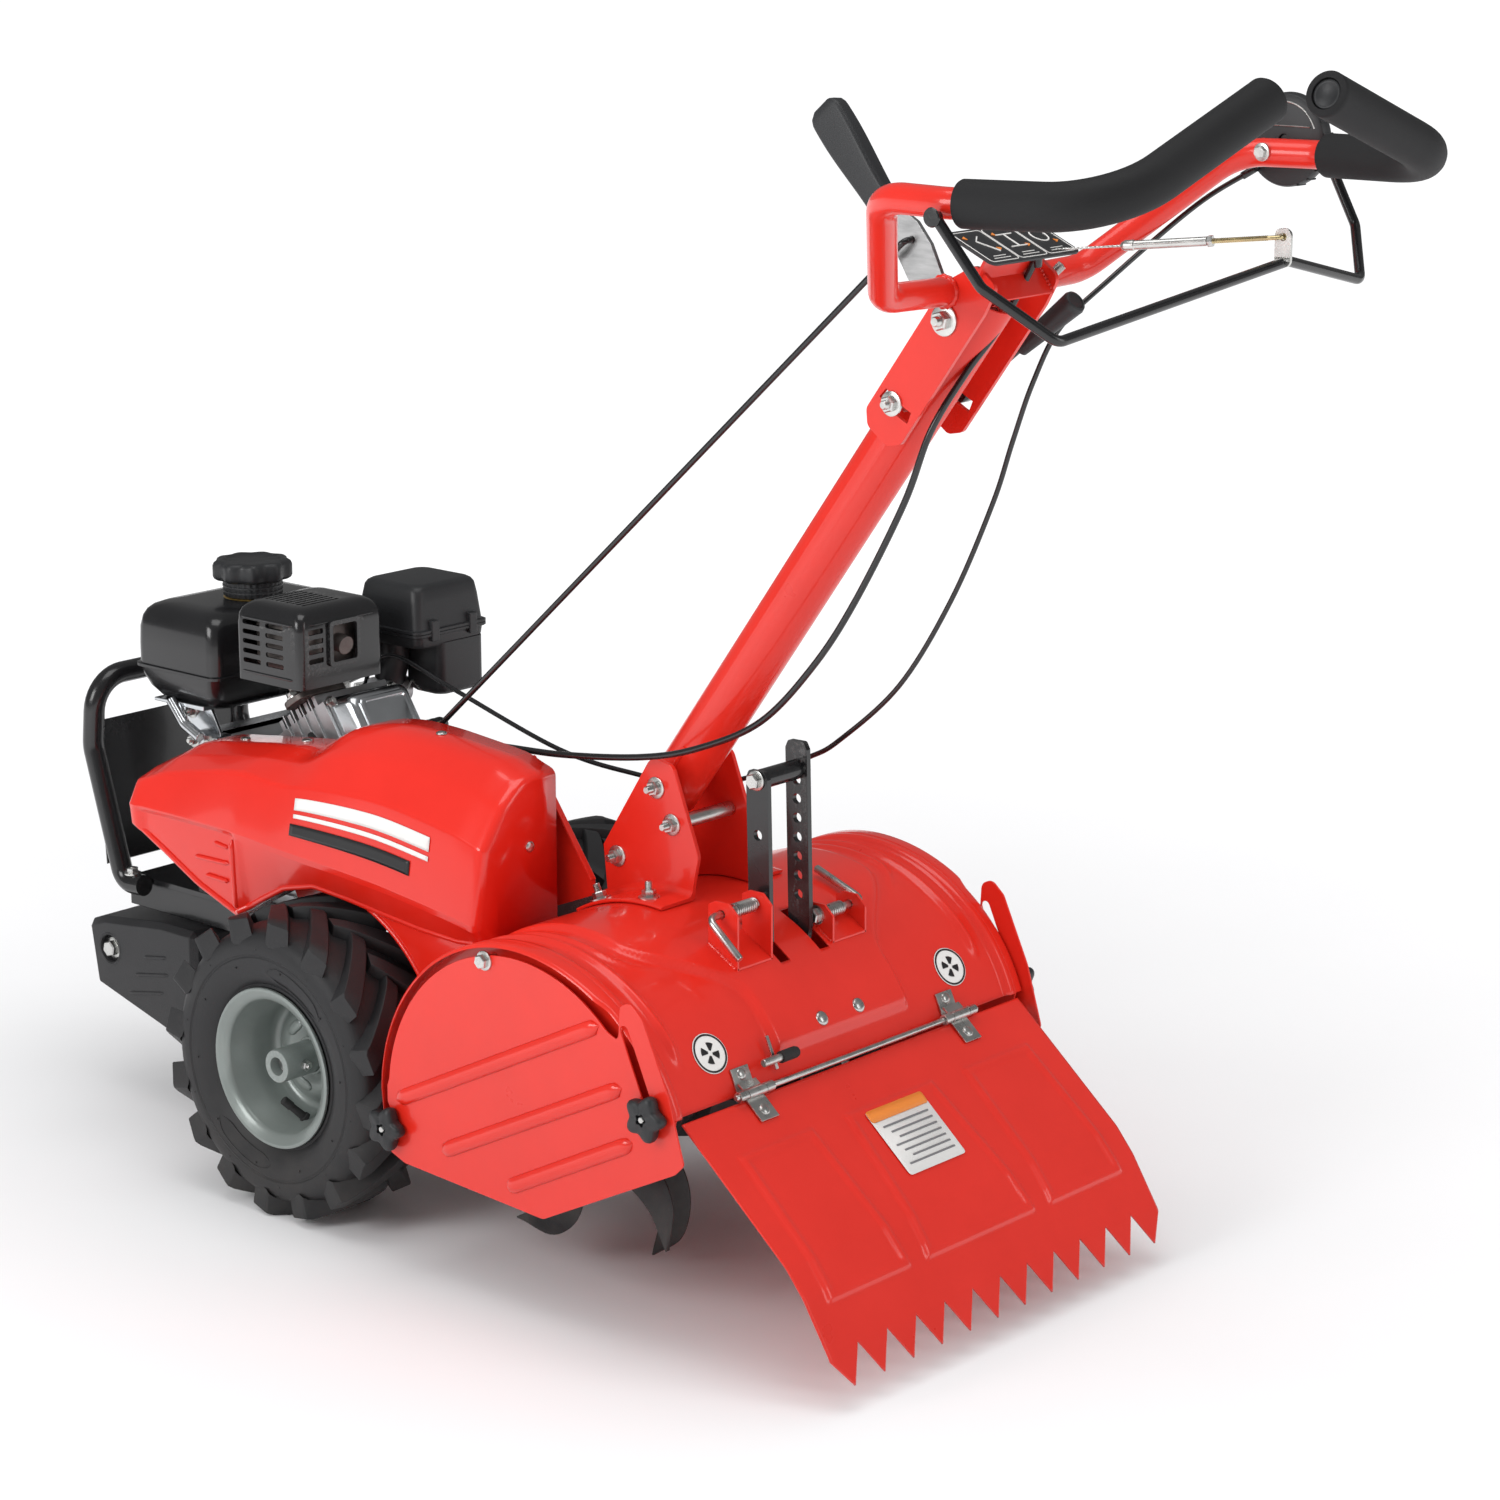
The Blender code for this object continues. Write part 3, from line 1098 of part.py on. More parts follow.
def build_shift_lever():
    """The gear lever: a flat tapering blade under a paddle grip."""
    reach = Vector((-0.5790, 1.2160)) - Vector((PIVOT_X, PIVOT_Z))
    way = reach.normalized()
    side = Vector((way.y, -way.x))
    eye = Vector((PIVOT_X, PIVOT_Z))

    def spot(distance, across):
        return tuple(eye + way * distance + side * across)

    blade = plate("shift_lever", [spot(-0.014, -0.012), spot(-0.014, 0.012), spot(0.060, 0.020),
                                  spot(0.130, 0.010), spot(0.180, 0.009), spot(0.180, -0.009),
                                  spot(0.130, -0.011), spot(0.096, -0.024), spot(0.070, -0.024),
                                  spot(0.030, -0.014)],
                  LEVER_Y - 0.0025, LEVER_Y + 0.0025, STEEL,
                  holes=[circle(PIVOT_X, PIVOT_Z, 0.0056, 12), circle(LEVER_ROD.x, LEVER_ROD.z, 0.0036, 10)])
    paddle = plate("paddle", [spot(0.136, -0.0150), spot(0.136, 0.0150), spot(0.225, 0.0210),
                              spot(0.244, 0.0170), spot(0.250, 0.0060), spot(0.250, -0.0060),
                              spot(0.244, -0.0170), spot(0.225, -0.0210)],
                   LEVER_Y - 0.0100, LEVER_Y + 0.0100, BLACK_PLASTIC)
    add_bevel(paddle, 0.004)
    return put_origin(join(blade, settle(paddle)), PIVOT)


ROD_FOOT = Vector((-0.0300, 0.0, 0.4950))
SHIFT_ARM_PIVOT = PIVOT + (ROD_FOOT - LEVER_ROD)
ROD_Y0, ROD_Y1 = 0.0500, 0.0690


def build_shift_rod():
    """The long push rod from the lever down to the transmission arm, bent into an eye pin at the top."""
    path = fillet([
        (LEVER_ROD.x, LEVER_Y - 0.0020, LEVER_ROD.z), (LEVER_ROD.x, ROD_Y0, LEVER_ROD.z),
        (ROD_FOOT.x, ROD_Y1, ROD_FOOT.z), (ROD_FOOT.x, ROD_Y1 - 0.0090, ROD_FOOT.z),
    ], 0.006, 3)
    return put_origin(settle(tube("shift_rod", path, 0.0032, BLACK, 1)),
                      (LEVER_ROD.x, 0, LEVER_ROD.z))


def build_shift_arm():
    """The transmission's selector arm on its cross shaft."""
    pivot = Vector((SHIFT_ARM_PIVOT.x, SHIFT_ARM_PIVOT.z))
    foot = Vector((ROD_FOOT.x, ROD_FOOT.z))
    heading = math.degrees(math.atan2(foot.y - pivot.y, foot.x - pivot.x))
    outline = (arc(pivot.x, pivot.y, 0.011, heading + 90, heading + 270, 7)
               + arc(foot.x, foot.y, 0.009, heading - 90, heading + 90, 7))
    arm = plate("shift_arm", outline, 0.0540, 0.0580, STEEL, holes=[circle(foot.x, foot.y, 0.0045, 10)])
    shaft = rod("selector_shaft", (pivot.x, 0.026, pivot.y), (pivot.x, 0.0570, pivot.y), 0.006, STEEL, 14)
    return put_origin(join(arm, shaft), SHIFT_ARM_PIVOT)


def build_handle_pivot_bolt():
    """The long bolt that the rails and the gear lever turn on."""
    bolt = rod("handle_pivot_bolt", (PIVOT_X, -0.0600, PIVOT_Z), (PIVOT_X, 0.0620, PIVOT_Z), 0.0050, ZINC, 14)
    nuts = []
    for side in (-1, 1):
        face = RAIL_Y + RAIL_T + GAP
        nuts.append(rod("washer", (PIVOT_X, side * face, PIVOT_Z), (PIVOT_X, side * (face + 0.0025), PIVOT_Z),
                        0.0122, ZINC, 16))
        nuts.append(rod("nut", (PIVOT_X, side * (face + 0.002), PIVOT_Z),
                        (PIVOT_X, side * (face + 0.0090), PIVOT_Z), 0.0092, ZINC, 6))
    return join(bolt, *nuts)


def build_clamp_lever():
    """The clamp bolt through the rail slots, with its hand lever on the right."""
    x, z = CLAMP_AT.x, CLAMP_AT.z
    face = RAIL_Y + RAIL_T + GAP
    bolt = rod("clamp_lever", (x, -0.0700, z), (x, 0.0600, z), 0.0048, ZINC, 14)
    washer = rod("washer", (x, face, z), (x, face + 0.0025, z), 0.0125, ZINC, 16)
    nut = rod("nut", (x, face + 0.002, z), (x, face + 0.0090, z), 0.0092, ZINC, 6)
    boss = rod("boss", (x, -face, z), (x, -face - 0.0160, z), 0.0120, BLACK, 16)
    path = [(x, -0.0660, z), (x - 0.008, -0.0790, z + 0.008), (-0.7330, -0.0850, 0.9900)]
    arm = settle(tube("arm", fillet(path, 0.008, 3), 0.0050, BLACK, 1))
    grip = rod("grip", (-0.7270, -0.0850, 0.9830), (-0.7940, -0.0850, 1.0360), 0.0085, BLACK_PLASTIC, 16,
               0.0125)
    return put_origin(join(bolt, washer, nut, boss, arm, grip), CLAMP_AT)


THROTTLE_AT = Vector((-0.8800, -0.3020, 1.1790))


def build_throttle_housing():
    """The round throttle control on the right bar."""
    loop = [(0.0060, 0.0), (0.0420, 0.0), (0.0460, 0.0040), (0.0460, 0.0140), (0.0400, 0.0200),
            (0.0060, 0.0200)]
    return turned("throttle_housing", loop, THROTTLE_AT, (0, -1, 0), BLACK_PLASTIC, 20)


def build_throttle_lever():
    """The throttle's thumb lever, pivoted through the housing."""
    face = THROTTLE_AT.y - 0.0205
    eye = Vector((THROTTLE_AT.x, THROTTLE_AT.z))
    tip = Vector((-0.8080, 1.2060))
    way = (tip - eye).normalized()
    side = Vector((way.y, -way.x))
    heading = math.degrees(math.atan2(way.y, way.x))
    outline = (arc(eye.x, eye.y, 0.0140, heading + 60, heading + 300, 9)
               + [tuple(tip - way * 0.012 + side * 0.0050), tuple(tip + side * 0.0065),
                  tuple(tip - side * 0.0065), tuple(tip - way * 0.012 - side * 0.0050)])
    lever = plate("throttle_lever", outline, face - 0.0050, face, BLACK_PLASTIC)
    pin = rod("pin", (eye.x, THROTTLE_AT.y - 0.002, eye.y), (eye.x, face - 0.003, eye.y), 0.0054,
              BLACK_PLASTIC, 14)
    return put_origin(join(lever, pin), THROTTLE_AT)


def build_control_panel():
    """The instruction plate above the rails, on a bent tongue."""
    low, high = Vector((-0.8210, 1.0860)), Vector((-0.7640, 1.1110))
    way = (high - low).normalized()
    up = Vector((-way.y, way.x))
    thick = 0.0025
    panel = plate("control_panel", [tuple(low), tuple(high), tuple(high + up * thick),
                                    tuple(low + up * thick)], -0.0540, 0.0820, BLACK_PLASTIC)
    return put_origin(panel, PIVOT)


CABLE_POINTS = [(-0.7060, 0.0440, 0.8960), (-0.6880, 0.0440, 0.8430), (-0.6320, 0.0500, 0.7390),
                (-0.5830, 0.0560, 0.6670), (-0.5200, 0.0620, 0.6020), (-0.4400, 0.0650, 0.5620),
                (-0.3610, 0.0660, 0.5390), (-0.2450, 0.0660, 0.5220), (-0.1250, 0.0660, 0.5130),
                (-0.0900, 0.0650, 0.4960)]


def build_drive_cable():
    """The drive clutch's sheathed cable, from behind the column to the belt tensioner."""
    return tube("drive_cable", smooth_path(CABLE_POINTS, 3), 0.0035, BLACK, 1)


# ---------------------------------------------------------------- assembly

build_frame()
build_gearbox_case()
build_front_bumper()
build_counterweight()
build_belt_cover()

build_engine_block()
build_valve_cover()
build_fuel_tank()
build_fuel_cap()
build_muffler()
build_muffler_shield()
build_air_filter_box()
build_recoil_starter()
build_starter_handle()

build_engine_pulley()
build_gearbox_pulley()
build_drive_belt()
build_idler_arm()
build_idler_pulley()

build_wheel_axle()
build_tyre("left_tyre", 1)
build_tyre("right_tyre", -1)
build_rim("left_rim", 1)
build_rim("right_rim", -1)

build_tine_shaft()
build_tine_rotor("left_tine_rotor", 1)
build_tine_rotor("right_tine_rotor", -1)

build_tine_hood()
build_side_shield("left_side_shield", 1)
build_side_shield("right_side_shield", -1)
build_side_knob("left_front_knob", FRONT_KNOB, 1)
build_side_knob("left_rear_knob", REAR_KNOB, 1)
build_side_knob("right_front_knob", FRONT_KNOB, -1)
build_side_knob("right_rear_knob", REAR_KNOB, -1)
build_rear_flap()
build_hinge_rod()
build_flap_hinge("left_flap_hinge", 1)
build_flap_hinge("right_flap_hinge", -1)

build_depth_bar_long()
build_depth_bar_short()
build_depth_bar_spacer()
build_lock_pin("left_lock_pin", 1, LEFT_PIN, (-0.044, -0.034))
build_lock_pin("right_lock_pin", -1, RIGHT_PIN, (0.066, 0.022))

build_column_plate("left_column_plate", 1)
build_column_plate("right_column_plate", -1)
build_column_tube()
build_handlebar()
build_grip("left_grip", 1)
build_grip("right_grip", -1)
build_drive_bail()
build_cable_turnbuckle()
build_shift_lever()
build_shift_rod()
build_shift_arm()
build_handle_pivot_bolt()
build_clamp_lever()
build_throttle_housing()
build_throttle_lever()
build_control_panel()
build_drive_cable()
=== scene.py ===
"""The finished look of a walk-behind rear-tine tiller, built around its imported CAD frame.

Metres, +X forwards, +Y to the machine's left, +Z up. Every piece is placed where the CAD says.
"""

import math

import bmesh
import bpy
from mathutils import Matrix, Vector


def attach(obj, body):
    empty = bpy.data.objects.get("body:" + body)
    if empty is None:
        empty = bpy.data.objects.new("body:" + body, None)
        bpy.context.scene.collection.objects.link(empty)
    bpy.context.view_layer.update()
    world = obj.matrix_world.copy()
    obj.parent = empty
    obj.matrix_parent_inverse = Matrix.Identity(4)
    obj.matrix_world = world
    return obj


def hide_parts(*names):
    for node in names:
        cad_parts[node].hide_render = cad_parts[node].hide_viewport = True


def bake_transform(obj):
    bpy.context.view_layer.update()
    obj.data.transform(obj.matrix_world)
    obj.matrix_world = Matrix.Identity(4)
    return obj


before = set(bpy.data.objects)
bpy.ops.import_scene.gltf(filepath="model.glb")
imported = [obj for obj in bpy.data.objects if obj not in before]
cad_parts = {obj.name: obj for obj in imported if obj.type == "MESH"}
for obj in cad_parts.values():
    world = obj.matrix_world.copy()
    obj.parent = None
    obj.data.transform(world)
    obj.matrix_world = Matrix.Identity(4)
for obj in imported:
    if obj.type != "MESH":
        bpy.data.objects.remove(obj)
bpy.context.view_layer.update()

# ---------------------------------------------------------------- materials


def surface(name, colour, rough, metal=0.0, vary=0.1, blotch=7.0, grain=300.0, bump=0.02,
            depth=0.0004, rough_vary=0.1, coat=0.0, gloss=0.5, wear=None, cells=False, stretch=None,
            dust=0.0):
    """A procedural finish: blotchy colour, grain in the bump and roughness, worn edges and dust."""
    mat = bpy.data.materials.new(name)
    mat.use_nodes = True
    nodes, links = mat.node_tree.nodes, mat.node_tree.links
    shader = nodes["Principled BSDF"]

    def node(kind, **inputs):
        made = nodes.new(kind)
        for key, value in inputs.items():
            socket = made.inputs[key.replace("_", " ")]
            if hasattr(value, "is_output"):
                links.new(value, socket)
            else:
                socket.default_value = value
        return made

    def blend(fac, a, b):
        made = nodes.new("ShaderNodeMix")
        made.data_type = "RGBA"
        for socket, value in ((made.inputs[0], fac), (made.inputs[6], a), (made.inputs[7], b)):
            if hasattr(value, "is_output"):
                links.new(value, socket)
            else:
                socket.default_value = value
        return made.outputs[2]

    def spread(value, low, high, to_low=0.0, to_high=1.0):
        made = node("ShaderNodeMapRange", Value=value)
        for key, number in (("From Min", low), ("From Max", high), ("To Min", to_low), ("To Max", to_high)):
            made.inputs[key].default_value = number
        return made.outputs["Result"]

    where = nodes.new("ShaderNodeTexCoord").outputs["Object"]
    if stretch:
        where = node("ShaderNodeMapping", Vector=where, Scale=stretch).outputs["Vector"]
    broad = node("ShaderNodeTexNoise", Vector=where, Scale=blotch, Detail=5.0, Roughness=0.6)
    fine = node("ShaderNodeTexNoise", Vector=where, Scale=grain, Detail=3.0, Roughness=0.55)
    height = fine.outputs["Fac"]
    if cells:
        height = node("ShaderNodeTexVoronoi", Vector=where, Scale=grain).outputs["Distance"]
    dark = (*[c * (1 - vary) for c in colour], 1.0)
    light = (*[min(1.0, c * (1 + vary)) for c in colour], 1.0)
    tone = blend(spread(broad.outputs["Fac"], 0.3, 0.7), dark, light)
    if wear:
        edge = nodes.new("ShaderNodeNewGeometry").outputs["Pointiness"]
        mask = node("ShaderNodeMath", Value=spread(edge, 0.56, 0.66))
        mask.operation = "MULTIPLY"
        links.new(spread(fine.outputs["Fac"], 0.45, 0.62), mask.inputs[1])
        tone = blend(mask.outputs[0], tone, (*wear, 1.0))
    if dust:
        up = node("ShaderNodeSeparateXYZ", Vector=nodes.new("ShaderNodeNewGeometry").outputs["Position"])
        low = node("ShaderNodeMath", Value=spread(up.outputs["Z"], 0.02, 0.2, dust, 0.0))
        low.operation = "MULTIPLY"
        links.new(spread(broad.outputs["Fac"], 0.35, 0.65), low.inputs[1])
        tone = blend(low.outputs[0], tone, (0.33, 0.27, 0.21, 1.0))
    links.new(tone, shader.inputs["Base Color"])
    links.new(spread(broad.outputs["Fac"], 0.25, 0.75, rough - rough_vary / 2, rough + rough_vary / 2),
              shader.inputs["Roughness"])
    shader.inputs["Metallic"].default_value = metal
    shader.inputs["Specular IOR Level"].default_value = gloss
    shader.inputs["Coat Weight"].default_value = coat
    shader.inputs["Coat Roughness"].default_value = 0.08
    bumped = node("ShaderNodeBump", Strength=bump, Distance=depth, Height=height)
    links.new(bumped.outputs["Normal"], shader.inputs["Normal"])
    return mat


RED = surface("red_enamel_finish", (0.73, 0.022, 0.011), 0.3, vary=0.05, grain=260, bump=0.03,
              coat=0.48, gloss=0.35, rough_vary=0.08)
COVER_RED = surface("red_cover_finish", (0.74, 0.02, 0.01), 0.24, vary=0.04, grain=200, bump=0.02,
                    coat=0.6, gloss=0.35, rough_vary=0.06)
BLACK = surface("black_enamel_finish", (0.01, 0.01, 0.011), 0.24, vary=0.25, grain=300, bump=0.05,
                coat=0.25, wear=(0.07, 0.07, 0.07))
PLASTIC = surface("black_plastic_finish", (0.019, 0.02, 0.022), 0.46, vary=0.2, grain=900, bump=0.22,
                  cells=True, wear=(0.075, 0.077, 0.08), rough_vary=0.14)
WEIGHT = surface("moulded_weight_finish", (0.022, 0.022, 0.024), 0.52, vary=0.25, grain=560, bump=0.4,
                 cells=True, wear=(0.08, 0.08, 0.085), dust=0.05)
FOAM = surface("foam_finish", (0.014, 0.014, 0.015), 0.68, vary=0.16, grain=1500, bump=0.3, cells=True,
               depth=0.0003, rough_vary=0.16, gloss=0.3)
TYRE = surface("tyre_finish", (0.013, 0.013, 0.0145), 0.55, vary=0.3, blotch=16, grain=420, bump=0.3,
               wear=(0.06, 0.059, 0.058), rough_vary=0.2, dust=0.06)
BELT = surface("belt_finish", (0.018, 0.018, 0.018), 0.75, vary=0.2, grain=900, bump=0.4, cells=True)
ZINC = surface("zinc_finish", (0.62, 0.62, 0.6), 0.3, metal=1.0, vary=0.14, blotch=60, grain=700,
               bump=0.12, rough_vary=0.22, wear=(0.8, 0.8, 0.8))
YELLOW_ZINC = surface("yellow_zinc_finish", (0.66, 0.54, 0.3), 0.3, metal=1.0, vary=0.14, blotch=60,
                      grain=700, bump=0.12, rough_vary=0.2)
STEEL = surface("steel_finish", (0.44, 0.44, 0.44), 0.36, metal=1.0, vary=0.18, blotch=30, grain=500,
                bump=0.2, rough_vary=0.2, stretch=(1, 1, 6))
HOT_STEEL = surface("heated_steel_finish", (0.2, 0.18, 0.17), 0.5, metal=0.8, vary=0.35, blotch=24,
                    grain=400, bump=0.3, rough_vary=0.25)
ALLOY = surface("cast_alloy_finish", (0.5, 0.51, 0.52), 0.44, metal=0.9, vary=0.16, blotch=22,
                grain=650, bump=0.55, rough_vary=0.2, wear=(0.72, 0.73, 0.74))
PRESSED = surface("pressed_alloy_finish", (0.6, 0.62, 0.64), 0.24, metal=1.0, vary=0.08, blotch=14,
                  grain=300, bump=0.1, rough_vary=0.12)
RIM = surface("rim_finish", (0.235, 0.265, 0.252), 0.34, metal=0.35, vary=0.08, blotch=12, grain=420,
              bump=0.1, coat=0.3, wear=(0.62, 0.65, 0.63), dust=0.05)
IRON = surface("cast_iron_finish", (0.05, 0.05, 0.052), 0.58, metal=0.4, vary=0.3, blotch=20,
               grain=520, bump=0.7, rough_vary=0.2, wear=(0.2, 0.2, 0.2))
TINE = surface("tine_finish", (0.03, 0.03, 0.032), 0.42, metal=0.5, vary=0.35, blotch=18, grain=480,
               bump=0.35, rough_vary=0.25, wear=(0.32, 0.32, 0.33), dust=0.12)
BRASS = surface("brass_finish", (0.62, 0.42, 0.14), 0.32, metal=1.0, vary=0.12, blotch=40, grain=600,
                bump=0.1)
WHITE_PRINT = surface("white_print_finish", (0.8, 0.79, 0.77), 0.4, vary=0.03, grain=500, bump=0.05)
GREY_PRINT = surface("grey_print_finish", (0.2, 0.2, 0.21), 0.45, vary=0.08, grain=500, bump=0.05)
BLACK_PRINT = surface("black_print_finish", (0.014, 0.014, 0.015), 0.38, vary=0.15, grain=500, bump=0.05)
ORANGE_PRINT = surface("orange_print_finish", (0.85, 0.25, 0.03), 0.4, vary=0.04, grain=500, bump=0.05)
FLOOR = surface("floor_finish", (0.89, 0.89, 0.9), 0.95, vary=0.01, blotch=1.2, grain=60, bump=0.01,
                gloss=0.0, rough_vary=0.04)

# ---------------------------------------------------------------- modelling helpers


def link(name, mesh):
    obj = bpy.data.objects.new(name, mesh)
    bpy.context.scene.collection.objects.link(obj)
    return obj


def mesh_from(name, bm):
    bmesh.ops.recalc_face_normals(bm, faces=bm.faces)
    mesh = bpy.data.meshes.new(name)
    bm.to_mesh(mesh)
    bm.free()
    return mesh


def evaluated_mesh(obj):
    bpy.context.view_layer.update()
    return bpy.data.meshes.new_from_object(obj.evaluated_get(bpy.context.evaluated_depsgraph_get()))


def piece(name, bm, mat, body, bevel=0.0, steps=2, angle=35, cuts=(), replaces=(), thick=0.0, inwards=False):
    """Finishes a mesh as one piece: cuts, wall thickness, rounded edges, shading, finish and body."""
    obj = link(name, mesh_from(name, bm))
    tools = []
    for i, cutter in enumerate(cuts):
        tools.append(link("cutter", mesh_from("cutter", cutter)))
        step = obj.modifiers.new(f"cut_{i}", "BOOLEAN")
        step.operation, step.solver, step.object = "DIFFERENCE", "EXACT", tools[-1]
    if tools:
        cut_mesh = evaluated_mesh(obj)
        obj.modifiers.clear()
        obj.data = cut_mesh
        for tool in tools:
            bpy.data.objects.remove(tool)
    obj.data.materials.clear()
    obj.data.materials.append(mat)
    obj.data.shade_smooth()
    obj.data.set_sharp_from_angle(angle=math.radians(angle))
    if thick:
        wall = obj.modifiers.new("wall", "SOLIDIFY")
        wall.thickness, wall.offset = thick, 1.0 if inwards else -1.0
    if bevel:
        edges = obj.modifiers.new("rounded_edges", "BEVEL")
        edges.width, edges.segments = bevel, steps
        edges.limit_method, edges.angle_limit = "ANGLE", math.radians(angle)
        edges.harden_normals = True
    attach(obj, body)
    if replaces:
        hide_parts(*replaces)
    return obj


def facing(centre, way):
    return Matrix.Translation(centre) @ Vector(way).to_track_quat("Z", "Y").to_matrix().to_4x4()


def bridge(bm, rings, closed=False):
    """Faces between neighbouring rings of vertices; a ring of one vertex is a tip."""
    pairs = list(zip(rings, rings[1:])) + ([(rings[-1], rings[0])] if closed else [])
    for a, b in pairs:
        count = max(len(a), len(b))
        for i in range(count):
            j = (i + 1) % count
            if len(a) == 1:
                bm.faces.new((a[0], b[i], b[j]))
            elif len(b) == 1:
                bm.faces.new((a[i], a[j], b[0]))
            else:
                bm.faces.new((a[i], a[j], b[j], b[i]))
    if not closed:
        for ring in (rings[0], rings[-1]):
            if len(ring) > 1:
                bm.faces.new(ring)


def lathe(bm, loop, centre, way=(0, 0, 1), sides=32, closed=False, lobes=0, depth=0.0, phase=0.0):
    """A (radius, height) profile turned about an axis, with lobes round it if asked."""
    place = facing(centre, way)
    rings = []
    for radius, height in loop:
        if radius < 1e-6:
            rings.append([bm.verts.new(place @ Vector((0, 0, height)))])
            continue
        ring = []
        for angle in turns(sides):
            angle += phase
            reach = radius * (1 + depth * math.cos(lobes * angle)) if lobes else radius
            spot = Vector((reach * math.cos(angle), reach * math.sin(angle), height))
            ring.append(bm.verts.new(place @ spot))
        rings.append(ring)
    bridge(bm, rings, closed)


def loft(bm, sections, closed=False):
    """A closed skin through sections, each a ring of points."""
    bridge(bm, [[bm.verts.new(spot) for spot in section] for section in sections], closed)


def sheet(bm, rows):
    """An open skin over rows of points."""
    grid = [[bm.verts.new(spot) for spot in row] for row in rows]
    for a, b in zip(grid, grid[1:]):
        for k in range(len(a) - 1):
            bm.faces.new((a[k], a[k + 1], b[k + 1], b[k]))
    return grid


def turns(count, extra=0):
    """Equally spaced angles round a full turn."""
    return [2 * math.pi * i / count for i in range(count + extra)]


def collar(bm, inner, outer, low, high, at, way, sides):
    lathe(bm, [(inner, low), (outer, low), (outer, high), (inner, high)], at, way, sides, closed=True)


def shaft(bm, radius, half, nip, at, way, sides):
    """A solid bar centred on a point; nip is how far its ends are turned down, across and along."""
    small, near = radius - nip[0], half - nip[1]
    lathe(bm, [(0, -half), (small, -half), (radius, -near), (radius, near), (small, half), (0, half)],
          at, way, sides)


def sweep(bm, path, radius, sides=16, wide=1.0):
    """A round or oval bar along a path; the radius may be a list, one for each point."""
    path = [Vector(p) for p in path]
    radii = radius if isinstance(radius, (list, tuple)) else [radius] * len(path)
    normal = None
    rings = []
    for i, point in enumerate(path):
        before = path[max(i - 1, 0)]
        after = path[min(i + 1, len(path) - 1)]
        way = (after - before).normalized()
        if normal is None:
            normal = way.orthogonal().normalized()
        normal = (normal - way * normal.dot(way)).normalized()
        side = way.cross(normal)
        rings.append([bm.verts.new(point + (normal * math.cos(a) * wide + side * math.sin(a)) * radii[i])
                      for a in turns(sides)])
    bridge(bm, rings)


def rod(bm, start, end, radius, sides=20, chamfer=0.0):
    start, end = Vector(start), Vector(end)
    length = (end - start).length
    c = chamfer or min(radius, length) * 0.12
    lathe(bm, [(radius - c, 0), (radius, c), (radius, length - c), (radius - c, length)],
          start, end - start, sides)


def box(bm, low, high):
    low, high = Vector(low), Vector(high)
    corners = bmesh.ops.create_cube(bm, size=1.0)["verts"]
    bmesh.ops.scale(bm, vec=high - low, verts=corners)
    bmesh.ops.translate(bm, vec=(low + high) / 2, verts=corners)
    return corners


STAND = {
    "Y": Matrix.Rotation(math.pi / 2, 4, "X"),
    "X": Matrix.Rotation(math.pi / 2, 4, "Z") @ Matrix.Rotation(math.pi / 2, 4, "X"),
    "Z": Matrix.Identity(4),
}
AXIS = {"X": Vector((1, 0, 0)), "Y": Vector((0, 1, 0)), "Z": Vector((0, 0, 1))}


def plate(bm, outline, low, high, axis="Y", holes=()):
    """A flat outline with holes, given its thickness along an axis."""
    low, high = sorted((low, high))
    curve = bpy.data.curves.new("outline", "CURVE")
    curve.dimensions, curve.fill_mode, curve.extrude = "2D", "BOTH", (high - low) / 2
    for loop in (outline, *holes):
        spline = curve.splines.new("POLY")
        spline.points.add(len(loop) - 1)
        for point, spot in zip(spline.points, loop):
            point.co = (spot[0], spot[1], 0.0, 1.0)
        spline.use_cyclic_u = True
    obj = link("outline", curve)
    mesh = evaluated_mesh(obj)
    bpy.data.objects.remove(obj)
    mesh.transform(Matrix.Translation(AXIS[axis] * (low + high) / 2) @ STAND[axis])
    part = bmesh.new()
    part.from_mesh(mesh)
    bmesh.ops.remove_doubles(part, verts=part.verts, dist=1e-5)
    bmesh.ops.dissolve_limit(part, angle_limit=0.01, verts=part.verts, edges=part.edges)
    part.to_mesh(mesh)
    part.free()
    bm.from_mesh(mesh)


def from_cad(bm, *nodes):
    """The CAD nodes' own shapes, welded, with their flat faces made whole."""
    for name in nodes:
        bm.from_mesh(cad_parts[name].data)
    bmesh.ops.remove_doubles(bm, verts=bm.verts, dist=1e-5)
    bmesh.ops.dissolve_limit(bm, angle_limit=0.01, verts=bm.verts, edges=bm.edges)


def refined(node, mat, body, bevel, name=None, steps=2, angle=35):
    bm = bmesh.new()
    from_cad(bm, node)
    return piece(name or node + "_finished", bm, mat, body, bevel, steps, angle, replaces=[node])


def arc(cx, cz, radius, start, end, count, stretch=1.0):
    return [(cx + radius * stretch * math.cos(a), cz + radius * math.sin(a))
            for a in (math.radians(start + (end - start) * i / (count - 1)) for i in range(count))]


def circle(cx, cz, radius, count=24):
    return arc(cx, cz, radius, 0, 360 * (count - 1) / count, count)


def oblong(x0, x1, z0, z1):
    return [(x0, z0), (x1, z0), (x1, z1), (x0, z1)]


